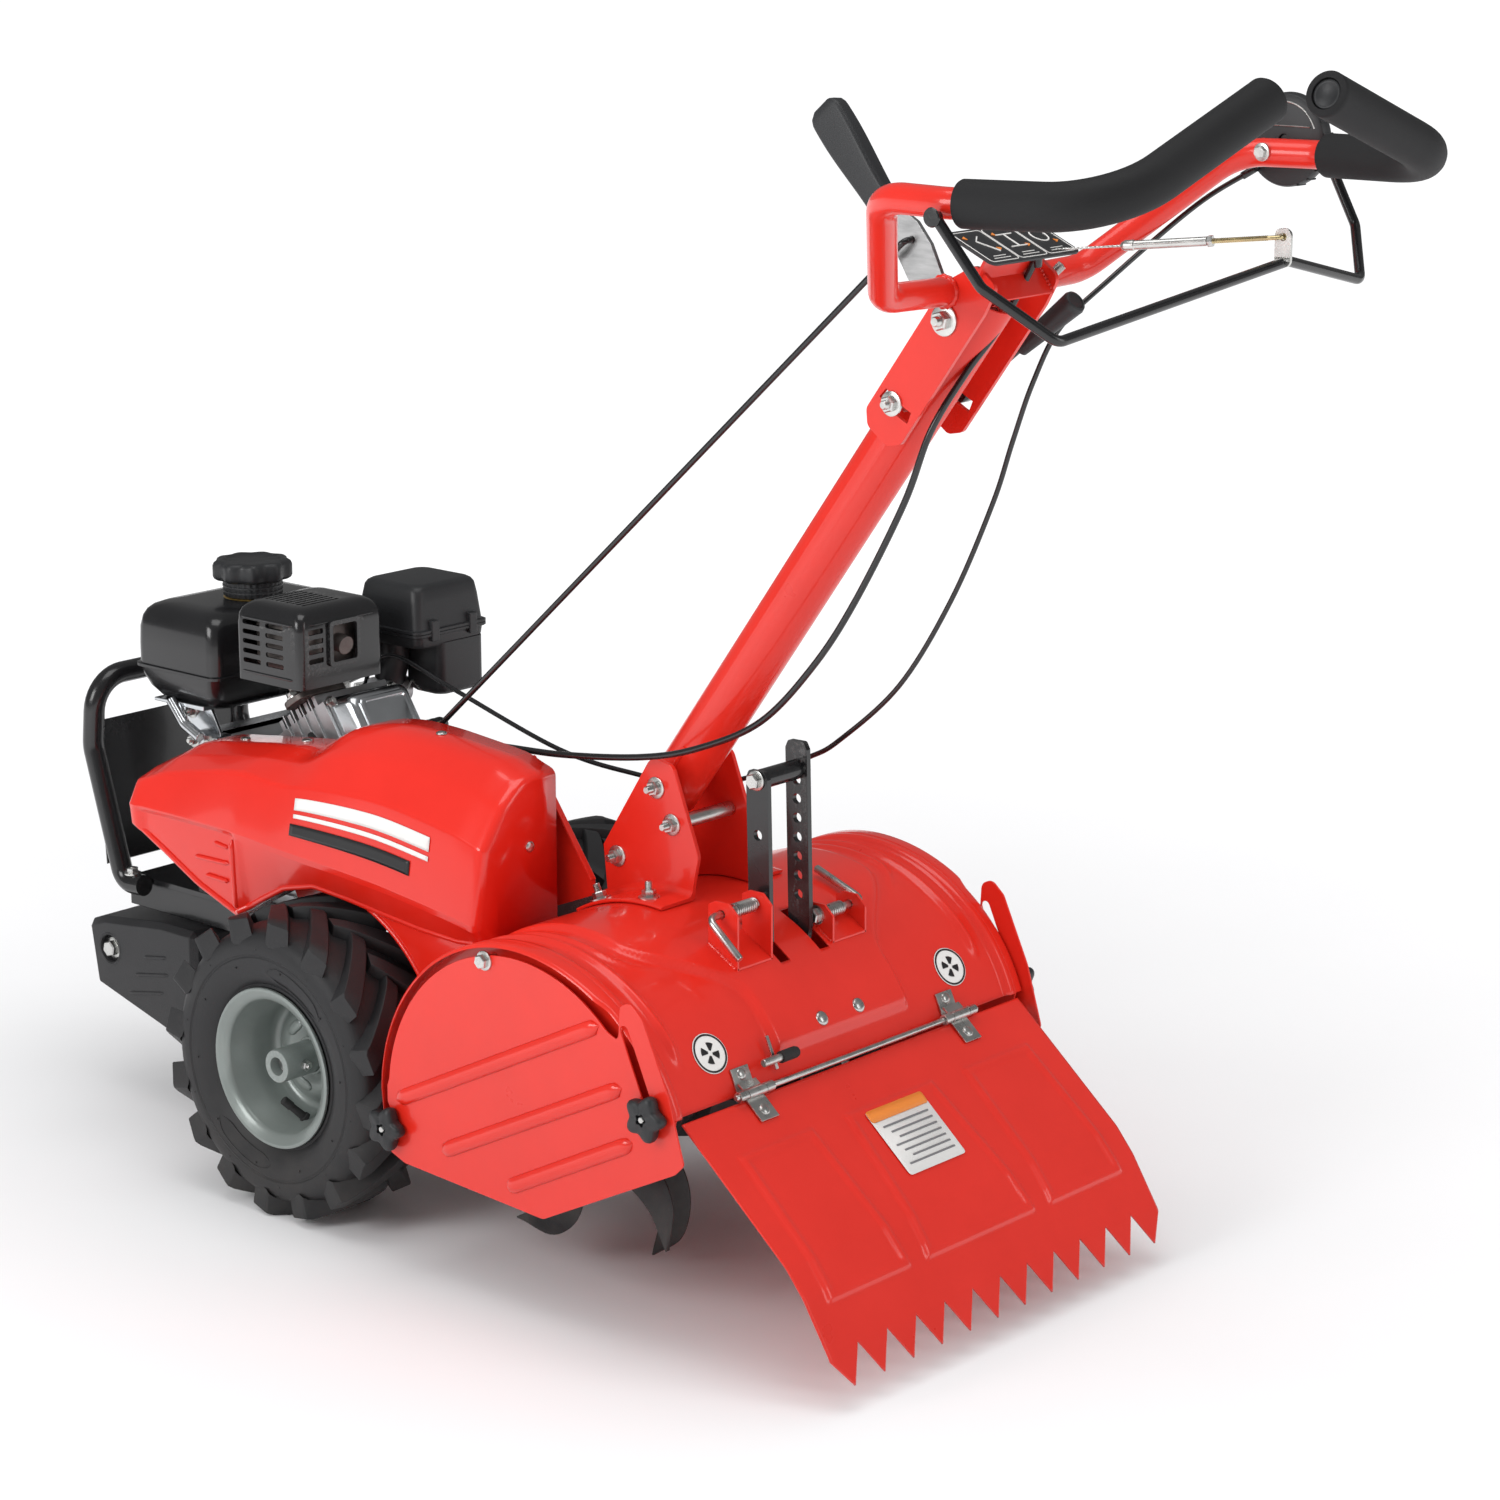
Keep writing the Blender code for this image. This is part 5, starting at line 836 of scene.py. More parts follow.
bm = bmesh.new()
stack(bm, crowned((0.124, -0.026, 0.538), (0.232, 0.101, 0.628),
                  [(0.0, 0.0), (0.72, 0.0), (0.83, 0.001), (0.9, 0.0034), (0.95, 0.007), (0.985, 0.012),
                   (1.0, 0.019)], 0.009), 8)
inner = bmesh.new()
stack(inner, crowned((0.1265, -0.0235, 0.52), (0.2295, 0.0985, 0.6245),
                     [(0.0, 0.0), (0.72, 0.0), (0.9, 0.006), (1.0, 0.026)], 0.011), 8)
cuts = [inner]
cuts += [slot_cutter(0.152 + column * 0.038, 0.5585 + row * 0.011, 0.029, 0.0055, 0.0026, 0.085, 0.115)
         for column in range(2) for row in range(5)]
cuts += [slot_cutter(0.066, 0.566 + row * 0.011, 0.022, 0.006, 0.0026, 0.11, 0.14, "X") for row in range(4)]
cuts.append(slot_cutter(0.016, 0.562, 0.04, 0.046, 0.003, 0.11, 0.14, "X"))
for k in range(9):
    x = 0.146 + 0.0085 * k
    cuts.append(bmesh.new())
    box(cuts[-1], (x, 0.02, 0.6), (x + 0.004, 0.075, 0.66))
piece("silencer_guard", bm, BLACK, "chassis", 0.0006, angle=30, cuts=cuts, replaces=["muffler_shield"])
bm = bmesh.new()
for z in (0.6105, 0.5485):
    bead(bm, line((0.136, 0.1008, z), (0.2215, 0.1008, z), 20), 0.0016, 0.0013, (0, 1, 0))
bead(bm, line((0.1242, -0.012, 0.6105), (0.1242, 0.088, 0.6105), 21), 0.0014, 0.0012, (-1, 0, 0))
plate(bm, rounded(oblong(0.013, 0.059, 0.559, 0.611), 0.005, 4), 0.1205, 0.125, "X",
      holes=[rounded(oblong(0.018, 0.054, 0.564, 0.606), 0.003, 3)])
piece("silencer_guard_beads", bm, BLACK, "chassis")
bm = bmesh.new()
stack(bm, crowned((0.136, -0.014, 0.542), (0.22, 0.089, 0.616),
                  [(0.0, 0.02), (0.06, 0.008), (0.2, 0.0), (0.8, 0.0), (0.94, 0.008), (1.0, 0.02)], 0.018),
      8)
head = on_head(0.125, 0.0555, 0.036)
sweep(bm, smooth_path([head + Vector((0.003, 0, 0.004)), head + Vector((0.006, 0, 0.026)),
                       (0.17, 0.036, 0.552)], 8), 0.012, 24)
sweep(bm, fillet([(0.15, 0.034, 0.582), (0.132, 0.034, 0.582), (0.1215, 0.034, 0.58)], 0.006), 0.0105, 24)
piece("silencer", bm, HOT_STEEL, "chassis", angle=50, replaces=["muffler"])
UP_WAY = on_head(0, 1, 0) - on_head(0, 0, 0)
bm = bmesh.new()
flange = rounded(oblong(0.104, 0.146, -0.002, 0.074), 0.016, 6)
loft(bm, [[on_head(d, a, y) for d, y in flange] for a in (0.0525, 0.0605)])
piece("exhaust_flange", bm, HOT_STEEL, "chassis", 0.0015)
for i, y in enumerate((0.008, 0.064)):
    fastener(f"exhaust_nut_{i}", on_head(0.125, 0.0605, y), UP_WAY, 0.0072, "chassis", stud=0.008)

# air cleaner, carburettor and throttle linkage on the right
bm = bmesh.new()
stack(bm, crowned((0.105, -0.168, 0.5815), (0.208, -0.06, 0.632),
                  [(0.0, 0.0), (0.6, 0.003), (0.86, 0.005), (0.94, 0.0072), (0.985, 0.0105), (1.0, 0.0145)],
                  0.01), 10)
stack(bm, crowned((0.1015, -0.1715, 0.5735), (0.2105, -0.0565, 0.5815),
                  [(0.0, 0.001), (0.12, 0.0), (0.45, 0.0), (0.5, 0.0016), (0.56, 0.0), (0.92, 0.0),
                   (1.0, 0.0012)], 0.01), 10)
stack(bm, crowned((0.1045, -0.1685, 0.56), (0.2075, -0.06, 0.5738), [(0.0, 0.004), (0.3, 0.001), (1.0, 0.0)],
                  0.01), 8)
stack(bm, crowned((0.106, -0.168, 0.5), (0.166, -0.096, 0.562),
                  [(0.0, 0.006), (0.06, 0.002), (0.15, 0.0), (1.0, 0.0)], 0.01), 8)
sweep(bm, smooth_path([(0.172, -0.086, 0.568), (0.172, -0.087, 0.54), (0.176, -0.082, 0.512)], 8), 0.022, 28,
      0.8)
piece("air_cleaner", bm, PLASTIC, "chassis", angle=34, replaces=["air_filter_box"])
bm = bmesh.new()
for x, y in ((0.1035, -0.085), (0.1035, -0.145), (0.209, -0.085)):
    box(bm, (x - 0.0035, y - 0.006, 0.568), (x + 0.0035, y + 0.006, 0.592))
piece("air_cleaner_clips", bm, PLASTIC, "chassis", 0.0014)
bm = bmesh.new()
lathe(bm, [(0, 0.0), (0.013, 0.0), (0.016, 0.003), (0.016, 0.018), (0.019, 0.02), (0.019, 0.026),
           (0.012, 0.03), (0.012, 0.036), (0, 0.037)], (0.172, -0.086, 0.462), (0, 0, 1), 36)
sweep(bm, [(0.172, -0.058, 0.5), (0.172, -0.07, 0.5), (0.172, -0.1, 0.5)], [0.016, 0.0165, 0.0165], 26)
rod(bm, (0.15, -0.08, 0.496), (0.196, -0.08, 0.496), 0.006)
rod(bm, (0.172, -0.086, 0.508), (0.172, -0.086, 0.528), 0.005)
plate(bm, rounded(oblong(0.15, 0.194, 0.484, 0.516), 0.008), -0.068, -0.063)
piece("carburettor", bm, ALLOY, "chassis", 0.0008)
bm = bmesh.new()
sweep(bm, fillet([(0.196, -0.08, 0.5), (0.214, -0.08, 0.512), (0.238, -0.076, 0.5), (0.25, -0.074, 0.47)],
                 0.006, 5), 0.0012, 8)
sweep(bm, fillet([(0.15, -0.08, 0.5), (0.132, -0.076, 0.52), (0.112, -0.07, 0.512)], 0.006, 5), 0.0012, 8)
coil(bm, (0.2, -0.0755, 0.505), (0.9, 0.0, -0.25), 0.03, 9, 0.0032, 0.0006)
plate(bm, rounded([(0.236, 0.462), (0.262, 0.462), (0.262, 0.5), (0.236, 0.506)], 0.005, 4), -0.0765,
      -0.0745)
piece("governor_linkage", bm, ZINC, "chassis")

# recoil starter: ribbed dome with vent slots, and its pull handle
bm = bmesh.new()
STARTER = (CRANK_X, -0.0643, CRANK_Z)
lathe(bm, [(0.0755, 0.0), (0.079, 0.0), (0.08, 0.004), (0.0852, 0.008), (0.088, 0.02), (0.088, 0.036),
           (0.0855, 0.046), (0.08, 0.053), (0.07, 0.06), (0.069, 0.0625), (0.052, 0.0665), (0.05, 0.0645),
           (0.03, 0.0675), (0.028, 0.071), (0.012, 0.072), (0.012, 0.069), (0.026, 0.068),
           (0.049, 0.0615), (0.067, 0.0575), (0.078, 0.05), (0.084, 0.034), (0.083, 0.011)],
      STARTER, (0, -1, 0), 72, closed=True)
cuts = []
for i in range(12):
    tool = bmesh.new()
    box(tool, (0.044, -0.0045, -0.01), (0.064, 0.0045, 0.012))
    turn = (Matrix.Translation(Vector(STARTER) + Vector((0, -0.06, 0)))
            @ Matrix.Rotation(math.pi / 6 * i, 4, "Y") @ Matrix.Rotation(math.pi / 2, 4, "X"))
    bmesh.ops.transform(tool, matrix=turn, verts=tool.verts)
    cuts.append(tool)
piece("starter_cowl", bm, BLACK, "chassis", 0.0006, angle=40, cuts=cuts, replaces=["recoil_starter"])
for i in range(3):
    a = math.radians(90 + 120 * i)
    fastener(f"starter_bolt_{i}", (CRANK_X + 0.0835 * math.cos(a), -0.0725, CRANK_Z + 0.0835 * math.sin(a)),
             (math.cos(a) * 0.4, -0.9, math.sin(a) * 0.4), 0.0045, "chassis")
GRIP_AT, GRIP_WAY = Vector((0.142, -0.106, 0.455)), Vector((-0.92, 0, 0.39)).normalized()
GRIP_HALF, GRIP_STEPS = 0.03, 26


def grip_radius(i):
    """The handle's radius at a step along it: thinner at both ends, with a groove at every fourth step."""
    from_middle = abs(i / GRIP_STEPS - 0.5) * 2
    return 0.0096 * (1 - 0.33 * max(0.0, from_middle - 0.82) / 0.18) * (1 - 0.045 * (i % 4 == 2))


bm = bmesh.new()
sweep(bm, line(GRIP_AT - Vector((0, GRIP_HALF, 0)), GRIP_AT + Vector((0, GRIP_HALF, 0)), GRIP_STEPS + 1),
      [grip_radius(i) for i in range(GRIP_STEPS + 1)], 24)
sweep(bm, [GRIP_AT, GRIP_AT - GRIP_WAY * 0.012, GRIP_AT - GRIP_WAY * 0.022], [0.0078, 0.0072, 0.0058], 20)
piece("starter_grip_moulding", bm, PLASTIC, "starter_grip", angle=60, replaces=["starter_handle"])

for node, mat, body, width in (("engine_pulley", STEEL, "crank", 0.0008),
                               ("gearbox_pulley", STEEL, "input_shaft", 0.0008),
                               ("idler_arm", STEEL, "idler_lever", 0.001),
                               ("idler_pulley", STEEL, "idler_wheel", 0.001),
                               ("drive_belt", BELT, "chassis", 0.0008)):
    refined(node, mat, body, width, angle=30)

# ---------------------------------------------------------------- wheels

CASING = [(0.0768, 0.044), (0.079, 0.05), (0.086, 0.0528), (0.0905, 0.0545), (0.0925, 0.053),
          (0.0945, 0.0545), (0.101, 0.0585), (0.108, 0.0615), (0.116, 0.0628), (0.1235, 0.0634),
          (0.125, 0.0624), (0.1262, 0.0624), (0.1277, 0.0636), (0.134, 0.0634), (0.142, 0.0612),
          (0.148, 0.0575), (0.1515, 0.052), (0.1538, 0.044), (0.1552, 0.033), (0.156, 0.018), (0.1562, 0.0)]


CROWN = CASING[14:]


def casing_radius(offset):
    """The tread base's radius at a distance from the tyre's centre plane."""
    offset = abs(offset)
    for (r0, h0), (r1, h1) in zip(CROWN, CROWN[1:]):
        if h0 >= offset >= h1:
            return r0 + (r1 - r0) * (h0 - offset) / (h0 - h1)
    return CROWN[0][0]


def tyre_lug(bm, start, half, side_y):
    """One slanted tread bar, from just past the centre line out over the shoulder and onto the sidewall."""
    rings = []
    for i in range(15):
        t = i / 14
        across = half * (-0.005 + 0.0684 * t)
        around = start - math.radians(27.0) * (t ** 0.9)
        base = casing_radius(across) - 0.003
        top = TYRE_R - 0.0002 - 0.0034 * ease(t, 0.86, 1.0) - 0.0016 * ease(t, 0.1, 0.0)
        wide = 0.0096 + 0.0042 * t
        ring = []
        for spread, radius in ((-1.3, base), (-1.02, top - 0.0012), (-0.92, top), (0.92, top),
                               (1.02, top - 0.0012), (1.3, base)):
            off = wide * spread
            y = max(-TYRE_HALF, min(TYRE_HALF, across + half * off * 0.34))
            angle = around + off * 0.86 / TYRE_R
            ring.append((radius * math.sin(angle), side_y + y, AXLE_Z + radius * math.cos(angle)))
        rings.append(ring)
    loft(bm, rings)


LUGS = 16
CARCASS = CASING + [(r, -h) for r, h in CASING[-2::-1]] + [
    (0.0768, -0.04), (0.11, -0.0545), (0.138, -0.054), (0.149, 0.0), (0.138, 0.054), (0.11, 0.0545),
    (0.0768, 0.04)]
RIM_OUTLINE = [
    (0.0742, 0.0505), (0.0768, 0.0548), (0.0812, 0.0566), (0.0852, 0.0592), (0.0874, 0.06), (0.0893, 0.059),
    (0.0897, 0.0565), (0.088, 0.0545), (0.08, 0.054), (0.0766, 0.052), (0.0762, 0.0365), (0.0685, 0.0285),
    (0.0682, -0.0285), (0.0762, -0.0365), (0.0766, -0.052), (0.08, -0.054), (0.088, -0.0545),
    (0.0897, -0.056), (0.0895, -0.0586), (0.087, -0.059), (0.08, -0.0566), (0.0735, -0.056),
    (0.0732, -0.037), (0.0656, -0.029), (0.0652, -0.006), (0.06, -0.011), (0.054, -0.0112),
    (0.049, -0.006), (0.042, -0.002), (0.03, -0.0022), (0.0265, -0.0055), (0.02, -0.006),
    (0.0186, -0.004), (0.0186, -0.003), (0.0205, -0.0022), (0.0258, -0.002), (0.0295, 0.0008),
    (0.042, 0.001), (0.05, -0.0025), (0.0548, -0.0078), (0.0594, -0.0078), (0.064, -0.0035),
    (0.0655, 0.002), (0.0657, 0.029), (0.0732, 0.037)]
HUB_OUTLINE = [(0.01, -0.028), (0.018, -0.028), (0.0185, -0.0272), (0.0185, 0.049), (0.0178, HUB_OUT),
               (0.0104, HUB_OUT), (0.01, 0.0492)]


def ring_about(x, y, z, radius, angles):
    """Points round an axis that runs across the machine."""
    return [(x + radius * math.cos(a), y, z + radius * math.sin(a)) for a in angles]


for side, hand in SIDES:
    centre = Vector((0, side * WHEEL_Y, AXLE_Z))
    bm = bmesh.new()
    lathe(bm, CARCASS, centre, (0, 1, 0), 96, closed=True)
    for i in range(2 * LUGS):
        tyre_lug(bm, math.pi * i / LUGS + 0.13, 1 if i % 2 else -1, centre.y)
    piece(f"{hand}_tyre_casing", bm, TYRE, "drive_wheels", 0.0006, angle=35, replaces=[f"{hand}_tyre"])
    bm = bmesh.new()
    for face in (1, -1):
        for i, a in enumerate(turns(20)):
            r = 0.115 if i % 2 else 0.133
            lathe(bm, [(0.0013, -0.001), (0.0011, 0.0004), (0.0004, 0.0009), (0, 0.0009)],
                  centre + Vector((r * math.sin(a + 0.1), face * 0.0633, r * math.cos(a + 0.1))),
                  (0, face, 0), 8)
        for middle in (155, 335):
            loop = []
            for a in turns(48, 1):
                around = math.radians(middle + 24 * math.cos(a) * (1.0 - 0.12 * abs(math.sin(a))))
                r = 0.11 + 0.0085 * max(-1.0, min(1.0, 1.35 * math.sin(a)))
                y = face * (0.0598 + 0.0034 * ease(r, 0.1015, 0.1185))
                loop.append(centre + Vector((r * math.sin(around), y, r * math.cos(around))))
            sweep(bm, loop, 0.0006, 8)
    piece(f"{hand}_tyre_moulding", bm, TYRE, "drive_wheels")

    bm = bmesh.new()
    lathe(bm, RIM_OUTLINE, centre, (0, side, 0), 80, closed=True)
    lathe(bm, HUB_OUTLINE, centre, (0, side, 0), 40, closed=True)
    for inwards in (0.0005, -0.007):
        rippled(bm, ring_about(0, centre.y + side * inwards, AXLE_Z, 0.0195, turns(60, 1)), 0.0019)
    for start in turns(3):
        span = [start + 0.5 + 0.75 * i / 16 for i in range(17)]
        bead(bm, ring_about(0, centre.y + side * 0.001, AXLE_Z, 0.0365, span), 0.0062, 0.003, (0, side, 0))
    piece(f"{hand}_rim_pressing", bm, RIM, "drive_wheels", angle=50, replaces=[f"{hand}_rim"])
    for name, way, stud in (("bolt", 1, 0.0), ("nut", -1, 0.003)):
        fastener(f"{hand}_hub_{name}", centre + Vector((way * 0.019, side * 0.026, 0)), (way, 0, 0), 0.0062,
                 "drive_wheels", washer=0, stud=stud)
    bm = bmesh.new()
    foot = centre + Vector((-0.015, side * 0.023, -0.063))
    way = Vector((0.013, side * 0.021, 0.024)).normalized()
    sweep(bm, [foot + way * along for along in (0, 0.004, 0.0045, 0.022, 0.0225, 0.0335, 0.0345)],
          [0.0062, 0.006, 0.0046, 0.0042, 0.005, 0.005, 0.004], 18)
    piece(f"{hand}_valve_stem", bm, BELT, "drive_wheels")
bm = bmesh.new()
shaft(bm, 0.0095, 0.2525, (0.0015, 0.002), (0, 0, AXLE_Z), (0, 1, 0), 40)
for side in (-1, 1):
    collar(bm, 0.0096, 0.019, side * 0.095, side * 0.104, (0, 0, AXLE_Z), (0, 1, 0), 36)
piece("axle_bar", bm, STEEL, "drive_wheels", 0.0004, replaces=["wheel_axle"])

# ---------------------------------------------------------------- tines


def blade(bm, side_y, phase, curl):
    """A curved tine: a shank that sweeps back, ground to an edge and curled sideways at its tip."""
    front = smooth_path([(0.01, 0.018), (0.027, 0.052), (0.036, 0.086), (0.031, 0.118), (0.008, 0.148),
                         (-0.037, 0.1612)], 6)
    back = smooth_path([(-0.014, 0.018), (-0.015, 0.05), (-0.012, 0.082), (-0.013, 0.108), (-0.02, 0.132),
                        (-0.0385, 0.16)], 6)
    turn = Matrix.Translation((TINE_X, 0, TINE_Z)) @ Matrix.Rotation(phase, 4, "Y")
    rings = []
    for f, b in zip(front, back):
        ring = []
        for share, face in ((0, 1), (0.75, 1), (1, 0.25), (1, -0.25), (0.75, -1), (0, -1)):
            spot = b.lerp(f, share)
            bend = curl * 0.0042 * ease(spot.y, 0.085, 0.165)
            ring.append(turn @ Vector((spot.x, side_y + face * 0.0027 + bend, spot.y)))
        rings.append(ring)
    loft(bm, rings)


FLANGES, FLANGE_THICK = ((0.094, 20), (0.192, 65)), 0.005


def tine_places(side):
    """Each blade's flange face, the way it faces and its angle: two flanges, blades on alternate faces."""
    for flange_y, phase in FLANGES:
        low, high = sorted((side * flange_y, side * (flange_y + FLANGE_THICK)))
        for i in range(4):
            angle = math.radians(phase + 90 * i)
            yield (low, -1, angle) if i % 2 else (high, 1, angle)


bm = bmesh.new()
shaft(bm, 0.0125, 0.2362, (0.002, 0.0022), (TINE_X, 0, TINE_Z), (0, 1, 0), 40)
piece("tine_shaft_bar", bm, STEEL, "tine_rotor", replaces=["tine_shaft"])
for side, hand in SIDES:
    bm = bmesh.new()
    lathe(bm, [(0.0129, side * 0.062), (0.0185, side * 0.062), (0.0192, side * 0.064),
               (0.0192, side * 0.228), (0.0185, side * 0.23), (0.0129, side * 0.23)], (TINE_X, 0, TINE_Z),
          (0, 1, 0), 40, closed=True)
    for flange_y, _ in FLANGES:
        plate(bm, circle(TINE_X, TINE_Z, 0.052, 64), side * flange_y, side * (flange_y + FLANGE_THICK),
              holes=[circle(TINE_X, TINE_Z, 0.0187, 40)])
        rippled(bm, ring_about(TINE_X, side * (flange_y - 0.0006), TINE_Z, 0.02, turns(60, 1)), 0.002,
                pace=2.2)
    for face_y, way, phase in tine_places(side):
        blade(bm, face_y + way * 0.0029, phase, way)
    piece(f"{hand}_tine_set", bm, TINE, "tine_rotor", 0.0005, angle=30, replaces=[f"{hand}_tine_rotor"])
    bm = bmesh.new()
    for face_y, way, phase in tine_places(side):
        for reach in (0.027, 0.042):
            lathe(bm, [(0, 0), (0.0062, 0), (0.0066, 0.001), (0.0066, 0.0044), (0.0056, 0.0054),
                       (0, 0.0054)],
                  (TINE_X + reach * math.sin(phase), face_y + way * 0.0056,
                   TINE_Z + reach * math.cos(phase)),
                  (0, way, 0), 6)
    piece(f"{hand}_tine_bolts", bm, ZINC, "tine_rotor")

# ---------------------------------------------------------------- hood


def hood_spot(deg, y, lift=0.0):
    """A point on the hood's skin; below 2 degrees the skin runs straight down in front."""
    if deg < 2:
        t = (2 - deg) / 18
        return Vector((HOOD_X + HOOD_R - 0.0001 - 0.006 * t + lift, y, 0.197 - 0.059 * t))
    if deg > 162:
        t = (deg - 162) / 4
        return Vector((-0.5945 + 0.0035 * t - lift, y, 0.2518 - 0.015 * t))
    a = math.radians(deg)
    stretch = HOOD_REAR / HOOD_R if deg > 90 else 1.0
    out = Vector((math.cos(a) / stretch, 0, math.sin(a))).normalized()
    return Vector((HOOD_X + HOOD_R * stretch * math.cos(a), y, HOOD_Z + HOOD_R * math.sin(a))) + out * lift


def hood_relief(deg, y):
    """The pressed shape of the hood: a raised middle, a groove and rib near each end, a shoulder."""
    wide = abs(y)
    edge = 0.196 - 0.092 * ease(deg, 104, 137)
    middle = ease(wide, edge + 0.0048, edge - 0.0048) * ease(deg, 10, 20) * ease(deg, 156, 151)
    shoulder = ease(wide, 0.2565, 0.2635)
    rib = math.exp(-((wide - 0.2365) / 0.005) ** 2) * ease(deg, 14, 24) * ease(deg, 150, 141)
    second = math.exp(-((wide - (edge + 0.024)) / 0.0042) ** 2) * ease(deg, 22, 34) * ease(deg, 120, 104)
    return -0.0066 * (1 - max(middle, shoulder)) + 0.0056 * rib + 0.0044 * second


def on_hood(deg, y, lift=0.0):
    """A point on the hood's pressed surface."""
    return hood_spot(deg, y, hood_relief(deg, y) + lift)


def hood_out(deg):
    return (hood_spot(deg, 0, 1) - hood_spot(deg, 0)).normalized()


# the skin, open over the stake's two slots and where the gear case comes through
SLOT_LOW, SLOT_HIGH = 0.0235, 0.0385
degs = sorted({-16 + 1.5 * i for i in range(13)} | {2 + 1.25 * i for i in range(129)} | {162.4})
ys = sorted({round(0.0026 * i, 5) for i in range(-105, 106)}
            | {side * y for side in (-1, 1) for y in (SLOT_LOW, SLOT_HIGH, 0.2715, HOOD_HALF)})
bm = bmesh.new()
grid = [[bm.verts.new(on_hood(d, y, -0.0016 * ease(abs(y), 0.269, HOOD_HALF))) for y in ys] for d in degs]
for i in range(len(degs) - 1):
    for j in range(len(ys) - 1):
        corners = (grid[i][j], grid[i + 1][j], grid[i + 1][j + 1], grid[i][j + 1])
        middle = sum((v.co for v in corners), Vector()) / 4
        over_slot = -0.528 < middle.x < -0.47 and SLOT_LOW < abs(middle.y) < SLOT_HIGH and middle.z > 0.3
        over_case = degs[i] < 31 and abs(middle.y) < 0.0575
        if not over_slot and not over_case:
            bm.faces.new(corners)
bmesh.ops.delete(bm, geom=[v for v in bm.verts if not v.link_faces], context="VERTS")
piece("hood_skin", bm, RED, "chassis", thick=0.002, angle=70, replaces=["tine_hood"])

WALL_OUTLINE = ([hood_spot(2 + 4 * i, 0).xz for i in range(41)]
                + [(-0.59, 0.236), (-0.42, 0.138), (-0.196, 0.138)])
PIN_AT = {1: (-0.5, 0.404), -1: (-0.504, 0.372)}


def top_at(x):
    return HOOD_Z + HOOD_R * math.sqrt(1 - ((x - HOOD_X) / HOOD_REAR) ** 2)


def rim_section(deg, side):
    """The rolled rim beyond the hood's end wall, drawn in behind the shield's ear."""
    far = 0.2885 - 0.0052 * ease(deg, 121, 126)
    return [hood_spot(deg, side * y, lift) for y, lift in (
        (0.2716, 0.0002), (far - 0.004, 0.0002), (far - 0.0012, -0.001), (far, -0.0036),
        (far - 0.0022, -0.004), (far - 0.0042, -0.0026), (0.2716, -0.0024))]


for side, hand in SIDES:
    bm = bmesh.new()
    plate(bm, WALL_OUTLINE, side * 0.27, side * 0.2722)
    piece(f"{hand}_hood_wall", bm, RED, "chassis", 0.0006)
    bm = bmesh.new()
    loft(bm, [rim_section(-12 + 2 * i, side) for i in range(88)])
    piece(f"{hand}_hood_rim", bm, RED, "chassis", angle=60)
    # pin bracket: a channel with two ears, its base welded to the skin, and the pin's spring and collar
    x, z = PIN_AT[side]
    rear_x, front_x = x - 0.022, x + 0.018
    ear = rounded([(rear_x, top_at(rear_x) - 0.005), (front_x, top_at(front_x) - 0.005),
                   (front_x, z + 0.008), (x + 0.008, z + 0.013), (x - 0.01, z + 0.013), (rear_x, z + 0.002)],
                  0.003, 3)
    bm = bmesh.new()
    for y in (0.045, 0.097):
        plate(bm, ear, side * y, side * (y + 0.003), holes=[circle(x, z, 0.005, 20)])
    plate(bm, [(rear_x, top_at(rear_x) + 0.0004), (front_x, top_at(front_x) + 0.0004),
               (front_x, top_at(front_x) + 0.003), (rear_x, top_at(rear_x) + 0.003)], side * 0.0455,
          side * 0.0995)
    for y in (0.0445, 0.1005):
        weld(bm, [(end, side * y, top_at(end) + 0.0008) for end in (x - 0.02, x + 0.016)], 0.0018)
    piece(f"{hand}_pin_bracket", bm, RED, "chassis", 0.0005)
    bm = bmesh.new()
    coil(bm, (x, side * 0.05, z), (0, side, 0), 0.034, 11, 0.0066, 0.0011)
    piece(f"{hand}_pin_spring", bm, ZINC, "chassis")
    fastener(f"{hand}_pin_collar", (x, side * 0.0448, z), (0, -side, 0), 0.0085, "chassis", washer=1.25,
             nut=False)
    rivet(f"{hand}_hood_rivet", on_hood(149.2, side * 0.029), hood_out(149.2), 0.008, "chassis")


def hood_disc(name, y, radius, lift, mat, keep=None):
    """A thin printed disc on the hood's skin, or the faces of it that keep() picks by ring and number."""
    rings, sides = 10, 48
    stretch = math.degrees(1 / (HOOD_R * 1.03))
    bm = bmesh.new()
    centre = bm.verts.new(on_hood(LABEL_DEG, y, lift))
    rows = []
    for k in range(rings):
        r = radius * (k + 1) / rings
        rows.append([bm.verts.new(on_hood(LABEL_DEG + r * math.cos(a) * stretch, y + r * math.sin(a), lift))
                     for a in turns(sides)])
    for i in range(sides):
        bm.faces.new((centre, rows[0][i], rows[0][(i + 1) % sides]))
    for a, b in zip(rows, rows[1:]):
        for i in range(sides):
            j = (i + 1) % sides
            bm.faces.new((a[i], a[j], b[j], b[i]))
    if keep:
        drop = [f for k, f in enumerate(bm.faces) if not keep(k // sides, k)]
        bmesh.ops.delete(bm, geom=drop, context="FACES")
    piece(name, bm, mat, "chassis", thick=0.0002)


LABEL_DEG = 147.5
for side, hand in SIDES:
    hood_disc(f"{hand}_round_label", side * 0.191, 0.0225, 0.0008, WHITE_PRINT)
    hood_disc(f"{hand}_round_label_ring", side * 0.191, 0.0215, 0.0012, BLACK_PRINT,
              lambda ring, k: ring >= 9)
    hood_disc(f"{hand}_round_label_mark", side * 0.191, 0.015, 0.0012, BLACK_PRINT,
              lambda ring, k: (k // 6) % 2 == 0 and 2 <= ring < 8)

